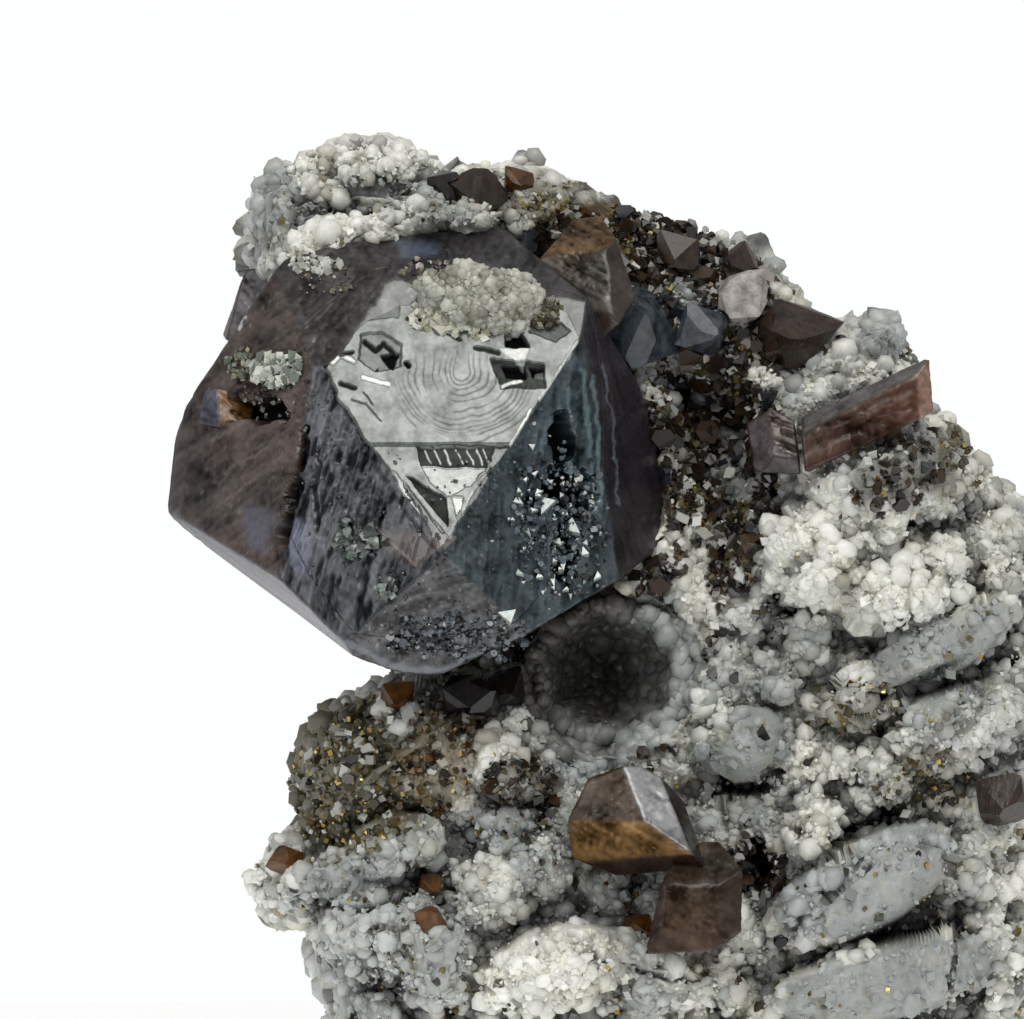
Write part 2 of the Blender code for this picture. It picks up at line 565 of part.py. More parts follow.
def rock_points():
    """Points of the rock on rings from the middle of the front to the middle of the back."""
    angles = np.arange(RAYS) * 360.0 / RAYS
    radius = outline_radius(angles)
    front = ring_distances(FRONT_RINGS, SIDE_RADIUS, RIM_DEPTH - FRONT_DEPTH_FOOT)[1:]
    back = ring_distances(BACK_RINGS, SIDE_RADIUS, BACK_DEPTH_FOOT - RIM_DEPTH)[1:-1][::-1]
    distance = np.concatenate((front, back))[:, None]
    x = ROCK_CENTRE_X + distance * radius * np.cos(np.radians(angles))
    z = ROCK_CENTRE_Z + distance * radius * np.sin(np.radians(angles))
    front_relief = rock_front(x[:FRONT_RINGS], z[:FRONT_RINGS])
    back_relief = rock_back(x[FRONT_RINGS:], z[FRONT_RINGS:])
    relief = np.vstack((front_relief, back_relief))
    y = RIM_DEPTH + edge_share(distance) * (relief - RIM_DEPTH)
    around = np.radians((angles - 270.0) % 360.0) * SIDE_RADIUS
    side = broken_chunks(np.broadcast_to(around, y.shape), y, SIDE_CHUNK_SIZE, CHUNK_TILT, SIDE_CHUNK_LIFT)
    inward = 1.0 + distance ** 6 * np.minimum(side - SIDE_CHUNK_KEEP, 0.0) / radius
    x = ROCK_CENTRE_X + (x - ROCK_CENTRE_X) * inward
    z = ROCK_CENTRE_Z + (z - ROCK_CENTRE_Z) * inward
    rings = np.stack((x, y, z), axis=-1).reshape(-1, 3)
    middle_x = np.array(ROCK_CENTRE_X)
    middle_z = np.array(ROCK_CENTRE_Z)
    first = (ROCK_CENTRE_X, float(rock_front(middle_x, middle_z)), ROCK_CENTRE_Z)
    last = (ROCK_CENTRE_X, float(rock_back(middle_x, middle_z)), ROCK_CENTRE_Z)
    return np.vstack((first, rings, last))


def ring_faces(rings, sides):
    """Faces of a closed skin: a first point, rings of points, and a last point."""
    faces = []
    last = rings * sides + 1
    for side in range(sides):
        following = (side + 1) % sides
        faces.append((0, 1 + side, 1 + following))
        for ring in range(rings - 1):
            near = 1 + ring * sides
            far = near + sides
            faces.append((near + side, far + side, far + following, near + following))
        outer = 1 + (rings - 1) * sides
        faces.append((outer + following, outer + side, last))
    return faces


def make_material(name, colour, roughness):
    """A plain mineral surface."""
    material = bpy.data.materials.new(name)
    material.use_nodes = True
    shader = material.node_tree.nodes["Principled BSDF"]
    shader.inputs["Base Color"].default_value = colour
    shader.inputs["Roughness"].default_value = roughness
    return material


def place_mesh(name, bm, material=None):
    """Turn a mesh in millimetres into an object in metres."""
    bmesh.ops.recalc_face_normals(bm, faces=bm.faces)
    bmesh.ops.scale(bm, vec=(MM, MM, MM), verts=bm.verts)
    mesh = bpy.data.meshes.new(name)
    bm.to_mesh(mesh)
    bm.free()
    if material is not None:
        mesh.materials.append(material)
    obj = bpy.data.objects.new(name, mesh)
    bpy.context.scene.collection.objects.link(obj)
    return obj


def as_tool(obj):
    """Mark an object as a guide that only shapes others."""
    obj.hide_render = True
    obj.display_type = "WIRE"
    return obj


def combine(obj, tool, operation):
    """Join a tool to an object, or cut it out of it."""
    step = obj.modifiers.new(f"{operation.lower()} {tool.name}", "BOOLEAN")
    step.operation = operation
    step.object = tool
    return step


def facet_block(facets):
    """Cut a block down to the space behind all the facets."""
    bm = bmesh.new()
    bmesh.ops.create_cube(bm, size=BLOCK)
    for facet in facets:
        geometry = bm.verts[:] + bm.edges[:] + bm.faces[:]
        bmesh.ops.bisect_plane(bm, geom=geometry, dist=1e-5, plane_co=facet.normal * facet.reach,
                               plane_no=facet.normal, clear_outer=True)
        bmesh.ops.holes_fill(bm, edges=[edge for edge in bm.edges if edge.is_boundary])
    bmesh.ops.remove_doubles(bm, verts=bm.verts, dist=0.01)
    return bm


def grown_apart(facets, distance):
    """The same facets, moved outwards."""
    return [Facet(facet.normal, facet.reach + distance) for facet in facets]


def seed_facets(seed, number):
    """Facets of a free-grown crystal, with forms of uneven size."""
    turned = np.array(Euler(np.radians(seed.turn)).to_matrix())
    middle = np.array((seed.x, front_depth_at(seed.x, seed.z) - seed.proud, seed.z))
    facets = []
    for form, (normals, share) in enumerate(FORM_SHARES):
        for index, normal in enumerate(normals):
            uneven = 1.0 + FORM_UNEVENNESS * (float(cell_random(number, index, form)) - 0.5)
            direction = unit(turned @ (unit(normal) / np.array(seed.stretch)))
            reach = seed.radius * share * uneven * np.linalg.norm(unit(normal) * np.array(seed.stretch))
            facets.append(Facet(direction, float(direction @ middle) + reach))
    return facets


def boxes_meet(first, second):
    """Whether the upright boxes around two objects meet."""
    first_corners = np.array(first.bound_box)
    second_corners = np.array(second.bound_box)
    apart = np.maximum(first_corners.min(axis=0) - second_corners.max(axis=0),
                       second_corners.min(axis=0) - first_corners.max(axis=0))
    return bool(np.all(apart < 0.0))


class Crystal(NamedTuple):
    """A finished crystal and the tools that hollow its socket."""

    obj: bpy.types.Object
    sockets: list


def make_crystal(name, facet_lists, material):
    """A crystal, or several grown together and joined in one solid, and their sockets."""
    obj = place_mesh(name, facet_block(facet_lists[0]), material)
    for number, facets in enumerate(facet_lists[1:]):
        combine(obj, as_tool(place_mesh(f"{name}_member_{number}", facet_block(facets))), "UNION")
    sockets = []
    for number, facets in enumerate(facet_lists):
        block = facet_block(grown_apart(facets, GAP))
        sockets.append(as_tool(place_mesh(f"{name}_socket_{number}", block)))
    return Crystal(obj, sockets)


def prism(points, direction, near, far):
    """A prism over a polygon, from `near` to `far` along a direction."""
    bm = bmesh.new()
    top = [bm.verts.new(np.array(point) + direction * far) for point in points]
    bottom = [bm.verts.new(np.array(point) + direction * near) for point in points]
    bm.faces.new(top)
    bm.faces.new(bottom[::-1])
    for index in range(len(points)):
        following = (index + 1) % len(points)
        bm.faces.new((top[index], bottom[index], bottom[following], top[following]))
    return bm


def pit_block(pit, facet):
    """The wedge that leaves a pit in a facet, narrower at its floor."""
    middle = point_on(facet, pit.x, pit.z)
    turn = np.radians(pit.turn)
    across = unit(np.cross(facet.normal, (0.0, 0.0, 1.0)))
    upward = unit(np.cross(across, facet.normal))
    bm = bmesh.new()
    rings = []
    for level, size in ((1.0, 1.25), (-pit.depth, 0.45)):
        ring = []
        for corner in range(PIT_CORNERS):
            angle = 2 * np.pi * corner / PIT_CORNERS
            side = pit.w * size * np.cos(angle)
            rise = pit.h * size * np.sin(angle)
            off_across = side * np.cos(turn) - rise * np.sin(turn)
            off_up = side * np.sin(turn) + rise * np.cos(turn)
            ring.append(bm.verts.new(middle + across * off_across + upward * off_up + facet.normal * level))
        rings.append(ring)
    bm.faces.new(rings[0])
    bm.faces.new(rings[1][::-1])
    for corner in range(PIT_CORNERS):
        following = (corner + 1) % PIT_CORNERS
        bm.faces.new((rings[0][corner], rings[1][corner], rings[1][following], rings[0][following]))
    return bm


def make_great_crystal(material):
    """The great crystal with its growth plate, its pits and the small crystal nested in its side."""
    facets = habit_facets(GREAT_CRYSTAL)
    crystal = make_crystal("great_crystal", [list(facets.values())], material)
    mirror = facets["mirror"]
    corners = np.array([point_on(mirror, *corner) for corner in PLATE_OUTLINE])
    plate = place_mesh("growth_plate", prism(corners, mirror.normal, -1.0, PLATE_RISE))
    combine(crystal.obj, as_tool(plate), "UNION")
    outward = corners - corners.mean(axis=0)
    spread = corners + 2 * GAP * outward / np.linalg.norm(outward, axis=1)[:, None]
    plate_socket = place_mesh("growth_plate_socket", prism(spread, mirror.normal, -1.0, PLATE_RISE + GAP))
    crystal.sockets.append(as_tool(plate_socket))
    for number, pit in enumerate(GREAT_PITS):
        tool = place_mesh(f"great_pit_{number}", pit_block(pit, facets[pit.facet]))
        combine(crystal.obj, as_tool(tool), "DIFFERENCE")
    nested = place_mesh("nested_crystal", facet_block(habit_facets(NESTED_CRYSTAL).values()))
    combine(crystal.obj, as_tool(nested), "UNION")
    return crystal


def swell(direction, lump):
    """How far a lumpy egg's skin stands out in a direction, as a share of its radius."""
    x, y, z = np.moveaxis(np.asarray(direction), -1, 0)
    return 1.0 + lump * (np.sin(7.0 * x + 2.0) * np.sin(8.0 * z + y) + 0.6 * np.sin(4.0 * z - 3.0 * x + 1.0))


def egg(name, centre, radii, lump, lean=0.0):
    """A lumpy egg-shaped body."""
    bm = bmesh.new()
    bmesh.ops.create_icosphere(bm, subdivisions=3, radius=1.0)
    turned = np.array(Euler((np.radians(lean), 0.0, 0.0)).to_matrix())
    for vertex in bm.verts:
        direction = np.array(vertex.co)
        vertex.co = turned @ (direction * np.array(radii) * swell(direction, lump)) + np.array(centre)
    return place_mesh(name, bm)


def make_vug_crust(material):
    """The bowl of small crystals that lines the back of the vug."""
    angles = 2 * np.pi * np.arange(CRUST_SIDES) / CRUST_SIDES
    brim = np.radians(CRUST_BRIM - CRUST_BRIM_WAVE * cell_random(np.arange(CRUST_SIDES), 0, 7))
    middle = np.array(VUG_CENTRE)
    radii = np.array(VUG_RADII)
    inner = []
    outer = []
    for ring in range(CRUST_RINGS):
        bend = brim * (ring + 1) / CRUST_RINGS
        out = np.sin(bend)
        direction = np.stack((out * np.cos(angles), np.cos(bend), out * np.sin(angles)), axis=-1)
        skin = radii * swell(direction, VUG_LUMP)[:, None]
        lump = CRUST_LUMP * cell_random(np.arange(CRUST_SIDES), ring, 6)[:, None]
        outer.append(middle + direction * (skin - CRUST_GAP))
        inner.append(middle + direction * (skin - CRUST_THICKNESS - lump))
    straight_in = np.array((0.0, 1.0, 0.0))
    depth = radii[1] * float(swell(straight_in, VUG_LUMP))
    deepest = middle + straight_in * (depth - CRUST_GAP)
    floor = middle + straight_in * (depth - CRUST_THICKNESS)
    points = np.vstack([deepest] + outer + inner[::-1] + [floor])
    bm = bmesh.new()
    vertices = [bm.verts.new(point) for point in points]
    for face in ring_faces(2 * CRUST_RINGS, CRUST_SIDES):
        bm.faces.new([vertices[index] for index in face])
    return place_mesh("vug_crust", bm, material)


def keep_largest_body(obj):
    """Put an object's modifiers into its mesh and drop the crumbs that they leave."""
    evaluated = obj.evaluated_get(bpy.context.evaluated_depsgraph_get())
    bm = bmesh.new()
    bm.from_mesh(evaluated.to_mesh())
    evaluated.to_mesh_clear()
    bodies = []
    waiting = set(bm.verts)
    while waiting:
        front = [waiting.pop()]
        body = set(front)
        while front:
            for edge in front.pop().link_edges:
                for vertex in edge.verts:
                    if vertex in waiting:
                        waiting.remove(vertex)
                        body.add(vertex)
                        front.append(vertex)
        bodies.append(body)
    bodies.sort(key=len)
    for body in bodies[:-1]:
        bmesh.ops.delete(bm, geom=list(body), context="VERTS")
    obj.modifiers.clear()
    bm.to_mesh(obj.data)
    bm.free()


def make_matrix(material, sockets):
    """The rock, roughened, cut flat at its foot and hollowed for its crystals."""
    bm = bmesh.new()
    vertices = [bm.verts.new(point) for point in rock_points()]
    for face in ring_faces(FRONT_RINGS + BACK_RINGS - 1, RAYS):
        bm.faces.new([vertices[index] for index in face])
    bmesh.ops.triangulate(bm, faces=bm.faces)
    rock = place_mesh("matrix_rock", bm, material)
    thinner = rock.modifiers.new("broken faces", "DECIMATE")
    thinner.ratio = KEPT_SHARE
    foot = bmesh.new()
    bmesh.ops.create_cube(foot, size=BLOCK)
    bmesh.ops.translate(foot, verts=foot.verts, vec=(0.0, 0.0, -BLOCK / 2))
    combine(rock, as_tool(place_mesh("sawn_foot", foot)), "DIFFERENCE")
    combine(rock, as_tool(egg("vug_hollow", VUG_CENTRE, VUG_RADII, VUG_LUMP)), "DIFFERENCE")
    for socket in sockets:
        combine(rock, socket, "DIFFERENCE")
    keep_largest_body(rock)
    return rock


def centre_on_foot(objects):
    """Move the finished pieces so that the middle of their common box stands over the origin."""
    corners = []
    for obj in objects:
        points = np.empty(len(obj.data.vertices) * 3)
        obj.data.vertices.foreach_get("co", points)
        points = points.reshape(-1, 3)
        corners.extend((points.min(axis=0), points.max(axis=0)))
    middle = (np.min(corners, axis=0) + np.max(corners, axis=0)) / 2
    for obj in objects:
        for vertex in obj.data.vertices:
            vertex.co.x -= middle[0]
            vertex.co.y -= middle[1]


def main():
    """Build the specimen."""
    for obj in list(bpy.data.objects):
        bpy.data.objects.remove(obj)
    blende = make_material("sphalerite_black", ZINC_BLENDE, 0.25)
    brown = make_material("sphalerite_brown", BROWN_BLENDE, 0.25)
    amber = make_material("sphalerite_amber", AMBER_BLENDE, 0.3)
    white = make_material("dolomite_druse", DRUSE_WHITE, 0.6)
    grey = make_material("dolomite_rock", ROCK_GREY, 0.8)

    great = make_great_crystal(blende)
    crystals = [great]
    for name, habit in (("blade_crystal", BLADE_CRYSTAL), ("blade_side_crystal", BLADE_SIDE_CRYSTAL),
                        ("behind_crystal", BEHIND_CRYSTAL)):
        crystals.append(make_crystal(name, [list(habit_facets(habit).values())], brown))
    ridge = [list(habit_facets(AMBER_RIDGE_CRYSTAL).values()),
             seed_facets(DARK_RIDGE_SEED, DARK_RIDGE_NUMBER)]
    crystals.append(make_crystal("amber_ridge_group", ridge, brown))
    lower = [list(habit_facets(habit).values()) for habit in (LOWER_LEFT_CRYSTAL, LOWER_RIGHT_CRYSTAL)]
    crystals.append(make_crystal("lower_crystal_group", lower, brown))
    foot = [seed_facets(seed, DARK_FOOT_NUMBER + number) for number, seed in enumerate(DARK_FOOT_GROUP)]
    crystals.append(make_crystal("dark_foot_group", foot, blende))
    for number, (name, seed) in enumerate(SMALL_CRYSTALS.items()):
        material = amber if name.startswith("amber") else brown
        crystals.append(make_crystal(name, [seed_facets(seed, number)], material))

    sockets = [socket for crystal in crystals for socket in crystal.sockets]
    pieces = [crystal.obj for crystal in crystals]
    for number, later in enumerate(crystals):
        for earlier in crystals[:number]:
            for socket in earlier.sockets:
                if boxes_meet(later.obj, socket):
                    combine(later.obj, socket, "DIFFERENCE")
    for piece in pieces:
        keep_largest_body(piece)
    druse = egg("crystal_druse", DRUSE_MIDDLE, DRUSE_RADII, DRUSE_LUMP, DRUSE_LEAN)
    druse.data.materials.append(white)
    for socket in great.sockets:
        combine(druse, socket, "DIFFERENCE")
    keep_largest_body(druse)
    pieces.append(druse)
    pieces.append(make_vug_crust(white))
    pieces.append(make_matrix(grey, sockets))
    centre_on_foot(pieces)


if __name__ == "__main__":
    main()
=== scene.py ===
"""The looks of a sphalerite specimen: a great dark crystal and small brown ones on a drusy carbonate matrix.

The front is seen along +Y, with +X to the right and +Z up. Sizes are in millimetres on the drawing of the
part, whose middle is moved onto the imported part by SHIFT, and are turned to metres where a mesh is made.
"""

import logging
from dataclasses import dataclass, field
from enum import Enum
from itertools import combinations
from typing import Iterator, NamedTuple

import bpy
import numpy as np
from mathutils import Euler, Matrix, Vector


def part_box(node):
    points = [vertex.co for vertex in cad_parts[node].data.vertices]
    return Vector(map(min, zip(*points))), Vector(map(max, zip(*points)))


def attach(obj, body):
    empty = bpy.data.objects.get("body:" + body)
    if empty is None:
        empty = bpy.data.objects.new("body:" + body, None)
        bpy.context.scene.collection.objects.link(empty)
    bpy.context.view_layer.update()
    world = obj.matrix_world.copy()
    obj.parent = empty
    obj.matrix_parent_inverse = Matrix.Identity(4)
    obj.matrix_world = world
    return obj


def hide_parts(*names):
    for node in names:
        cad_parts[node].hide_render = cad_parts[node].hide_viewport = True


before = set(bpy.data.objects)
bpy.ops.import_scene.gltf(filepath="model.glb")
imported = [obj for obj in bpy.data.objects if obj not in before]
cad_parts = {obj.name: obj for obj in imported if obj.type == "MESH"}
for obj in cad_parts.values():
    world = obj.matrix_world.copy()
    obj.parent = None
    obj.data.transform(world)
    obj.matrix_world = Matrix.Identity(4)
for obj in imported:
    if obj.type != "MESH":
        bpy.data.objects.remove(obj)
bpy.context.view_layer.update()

LOG = logging.getLogger("specimen")
Array = np.ndarray
MM = 0.001

# The camera's place and what it sees
SEEN_WIDTH = 81.92  # width of the picture at the specimen
SEEN_MIDDLE = (-9.12, -10.0, 46.04)
LENS_LENGTH = 395.0
FILM_WIDTH = 36.0

# The matrix as a whole
ROCK_CENTRE = (-0.5, 38.8)
SIDE_RADIUS = 34.0  # rough distance from there to the rock's sides
RIM_DEPTH = 6.0  # depth of the rock's widest outline
FRONT_DEPTHS = (-14.5, -3.5)  # depth of the front face at the foot and at the top
BACK_DEPTHS = (21.5, 13.0)
SPECIMEN_HEIGHT = 76.0
EDGE_POWER = 4.5  # how squarely the faces turn into the outline
HIDDEN_DEPTH = 9.0  # depth, inside the rock, where its skins are closed
CHUNK_DROP = 0.9  # how far a chunk's edge falls away, as a share of its width
SIDE_CHUNK_KEEP = 0.4  # height of the side's chunks that stays at the outline, mm

VUG_CENTRE = (-1.2, -8.0, 33.0)
VUG_RADII = (7.4, 12.4, 6.8)
VUG_LUMP = 0.036  # how far the vug's wall swells, as a share of its radius
RIM_REACH = 1.14  # where the vug's rim meets the rock, as a share of the vug's radius

GRAIN_FIELD = ((-32.0, 37.5), (0.3, 76.5))  # X and Z between which grains are tried
FLOOR_TOP = -0.05
FLOOR_FOOT = -3.0
THIRD_TURN = 2.0944  # radians
SPHALERITE_IOR = 2.37
DOLOMITE_IOR = 1.68
WARM_WHITE = (1.0, 0.985, 0.93)
PLATE_BACK = -1.2  # how far the bright plate's back lies below the mirror facet
PLATE_HEIGHTS = (43.1, 62.35)  # Z of the plate's foot and top
LUMP_LUSTRE = (0.4, 0.4)  # roughness of the round crystals, and how much they reflect

# Seeds of the random draws
GRAIN_SEED = 500
GRAIN_TURN_SEED = 900
CLUSTER_TURN_SEED = 970
FLASH_SEED = 77
LUMP_SEED = 31
RIM_SEED = 88
RIM_TURN_SEED = 37
DRUSE_SEED = 63

# The outline of the matrix seen from the front, clockwise from below the foot's left end: X and Z
OUTLINE = [
    (-23.5, -7.0), (-24.1, 4.6), (-24.9, 7.3), (-25.9, 9.9), (-25.8, 12.2), (-28.0, 12.2), (-29.4, 13.0),
    (-30.2, 14.2), (-31.0, 16.0), (-29.9, 17.8), (-26.5, 20.6), (-27.5, 23.3), (-27.5, 24.5),
    (-25.7, 28.2), (-24.6, 29.5), (-19.4, 31.6), (-17.6, 33.4), (-18.4, 38.8), (-20.6, 45.0),
    (-23.8, 52.4), (-27.4, 58.8), (-29.2, 63.0), (-31.0, 66.8), (-30.6, 73.5), (-26.3, 75.4),
    (-22.6, 76.7), (-19.6, 76.7), (-16.5, 75.3), (-14.5, 74.1), (-10.8, 74.1), (-7.6, 73.9), (-3.3, 72.7),
    (-0.2, 70.6), (4.6, 69.6), (9.5, 68.2), (11.8, 66.8), (13.8, 64.1), (16.2, 61.1), (18.9, 61.1),
    (22.2, 61.9), (23.2, 59.2), (25.0, 54.8), (28.3, 51.3), (31.1, 48.6), (33.1, 45.4), (35.2, 41.1),
    (36.6, 35.4), (37.4, 27.7), (36.2, 19.4), (35.2, 11.4), (33.6, 3.6), (33.0, -7.0),
]


class Feature(NamedTuple):
    """A lump that stands out of the rock's front, or a hollow in it.

    Its surface is at depth y in its middle, and changes by `fall` at the edge of an ellipse of half width w
    and half height h, turned anticlockwise by `turn` degrees. A high power makes it flat in the middle.
    """

    x: float
    z: float
    w: float
    h: float
    y: float
    fall: float = 5.0
    power: float = 2.4
    turn: float = 0.0
    hollow: bool = False


# Each feature is laid over those before it
ROCK_FEATURES = [
    # seat of the great crystal
    Feature(-16.1, 50.4, 18.8, 17.2, 0.0, -6.0, 8.0, hollow=True),
    # white cap over the great crystal's upper left
    Feature(-21.7, 73.2, 8.4, 2.8, -5.0, 4.0, 4.0, 3.0),
    Feature(-28.6, 69.4, 2.2, 4.2, -8.0, 5.0, 5.0),
    Feature(-28.0, 65.8, 2.0, 1.7, -10.5),
    Feature(-25.6, 66.6, 2.5, 2.1, -12.0),
    Feature(-22.9, 67.7, 2.7, 2.2, -12.6),
    Feature(-19.8, 69.0, 3.0, 2.2, -12.4),
    Feature(-16.2, 70.2, 2.6, 1.9, -11.4),
    Feature(-12.6, 69.8, 2.4, 1.8, -10.6),
    Feature(-14.3, 72.2, 1.5, 1.4, -8.0, 4.0),
    Feature(-10.8, 72.6, 2.6, 1.5, -5.6, 4.0),
    # grey ridge along the upper right
    Feature(-7.0, 70.0, 4.4, 3.0, -6.4, 4.0, 3.0, -25.0),
    Feature(1.8, 68.0, 6.4, 2.4, -4.2, 4.0, 3.0, -18.0),
    Feature(9.0, 65.2, 5.0, 2.8, -4.4, 4.0, 3.0, -35.0),
    Feature(5.6, 62.0, 7.6, 4.6, -6.0, 4.0, 3.0, -25.0),
    Feature(11.5, 56.6, 2.4, 1.7, -7.6, 4.0),
    Feature(17.4, 58.6, 4.0, 2.9, -7.6, 5.0, 3.0, 22.0),
    Feature(20.6, 60.0, 1.9, 1.9, -7.0, 4.0),
    # dark speckled hollow between the great crystal and the right shoulder
    Feature(7.0, 51.8, 4.4, 7.6, -2.6, -7.0, 3.0, hollow=True),
    # right shoulder
    Feature(21.0, 49.0, 5.3, 4.3, -18.4, 4.0, 3.0, 24.0),
    Feature(26.4, 47.8, 3.6, 3.4, -11.0),
    Feature(29.6, 46.4, 2.8, 2.6, -8.0),
    Feature(11.2, 43.4, 3.0, 3.6, -12.4, 6.0),
    Feature(17.6, 42.6, 7.6, 4.8, -15.4, 6.0, 4.0, 8.0),
    Feature(22.6, 40.0, 5.6, 4.0, -17.4, 6.0, 3.0, 15.0),
    Feature(30.4, 42.0, 4.4, 4.4, -12.0, 5.0, 3.0, 30.0),
    # right wall of the vug and the lumps beside it
    Feature(9.4, 37.0, 3.4, 4.8, -9.0, 6.0),
    Feature(14.0, 35.4, 3.8, 3.8, -12.4, 6.0),
    Feature(12.2, 32.6, 2.6, 3.0, -13.0),
    Feature(9.0, 27.2, 4.2, 3.2, -14.6, 5.0, 3.4, 28.0),
    # ledges that step down to the right
    Feature(25.6, 35.6, 6.8, 3.0, -15.0, 6.0, 5.0, 28.0),
    Feature(26.6, 28.2, 6.0, 3.4, -17.2, 5.0, 3.0, 18.0),
    Feature(19.4, 31.0, 4.2, 3.0, -14.4, 5.0, 3.0, 28.0),
    Feature(20.0, 24.6, 4.4, 3.4, -14.6),
    Feature(15.2, 20.2, 2.8, 3.6, -18.0, 6.0),
    Feature(18.8, 15.8, 8.4, 3.7, -19.6, 6.0, 6.0, 27.0),
    Feature(21.0, 8.6, 9.4, 3.4, -19.8, 6.0, 6.0, 11.0),
    Feature(28.6, 10.0, 3.4, 4.0, -17.6, 5.0, 4.0),
    Feature(26.8, 17.0, 3.4, 3.4, -15.6),
    Feature(30.6, 22.0, 4.0, 5.4, -14.0),
    # middle of the foot
    Feature(1.2, 8.4, 5.0, 4.2, -17.4),
    Feature(6.4, 7.6, 5.0, 3.4, -15.8),
    Feature(-6.4, 9.2, 6.6, 3.4, -21.0, 6.0, 3.0, 12.0),
    Feature(-1.8, 10.0, 4.0, 2.8, -20.2, 6.0),
    # lower left lobe
    Feature(-22.4, 25.2, 5.0, 5.6, -14.2, 6.0, 3.4),
    Feature(-20.2, 29.0, 3.4, 2.6, -12.2),
    Feature(-16.4, 26.0, 4.2, 4.8, -14.4, 5.0, 3.0),
    Feature(-11.6, 24.4, 4.4, 4.8, -14.6, 5.0, 3.0),
    Feature(-28.2, 16.6, 2.8, 2.8, -11.2),
    Feature(-23.6, 16.4, 5.6, 2.8, -15.4, 5.0, 4.0, 14.0),
    Feature(-18.8, 18.8, 4.4, 2.8, -17.2, 5.0, 4.0, 20.0),
    Feature(-19.6, 12.4, 5.6, 4.8, -18.2, 5.0, 3.0),
    Feature(-23.6, 10.4, 3.2, 4.0, -15.2),
    Feature(-14.8, 9.8, 4.0, 4.8, -18.6, 5.0, 3.0),
    Feature(-10.8, 14.8, 3.6, 4.0, -17.4),
    Feature(-7.0, 17.8, 3.2, 4.0, -16.0),
    Feature(-9.6, 20.6, 3.2, 2.4, -16.0),
    Feature(-8.2, 29.2, 2.4, 4.8, -7.0),
    Feature(-14.0, 30.6, 4.6, 2.4, -7.6),
    Feature(-2.6, 25.6, 4.8, 2.0, -8.6),
    # open cracks and gaps
    Feature(-20.9, 70.9, 5.6, 1.0, -4.0, -6.0, 2.4, 10.0, hollow=True),
    Feature(10.6, 17.8, 1.4, 3.2, -6.0, -10.0, 2.4, 8.0, hollow=True),
    Feature(9.6, 23.6, 4.0, 0.9, -7.0, -8.0, 2.4, 6.0, hollow=True),
    Feature(22.0, 31.6, 7.6, 0.8, -11.4, -5.0, 2.4, 28.0, hollow=True),
    Feature(20.4, 12.2, 7.0, 0.7, -14.4, -5.0, 2.4, 17.0, hollow=True),
]


class Ground(Enum):
    """What a patch of the matrix is made of: its colour, how far its crystals stand out, and its lumps."""

    WHITE = ("#F4F4EC", 0.55, 1.0)
    GREY = ("#B6BAB8", 0.40, 0.7)
    BLUE = ("#A2A8AA", 0.40, 0.7)
    SLAB = ("#9EA2A1", 0.26, 0.12)
    DARK = ("#3A3226", 0.95, 0.5)
    BRASS = ("#6F6C5C", 0.60, 0.5)
    OCHRE = ("#6E5A34", 0.60, 0.4)
    # Near black: the right shoulder's own black crystals, and painted shade where it is laid in the vug, in a
    # crack and under the great crystal
    BLACK = ("#1B1915", 0.60, 0.4)

    @property
    def hex_colour(self) -> str:
        """Colour of the ground."""
        return self.value[0]

    @property
    def roughness(self) -> float:
        """How far its crystals stand out, as a share of the druse's height."""
        return self.value[1]

    @property
    def lump(self) -> float:
        """How far its rounded lumps stand out, as a share of the druse's height."""
        return self.value[2]


class Patch(NamedTuple):
    """An elliptical patch of one ground on the rock's front: middle, half width, half height and turn."""

    ground: Ground
    x: float
    z: float
    w: float
    h: float
    turn: float = 0.0
    share: float = 1.0


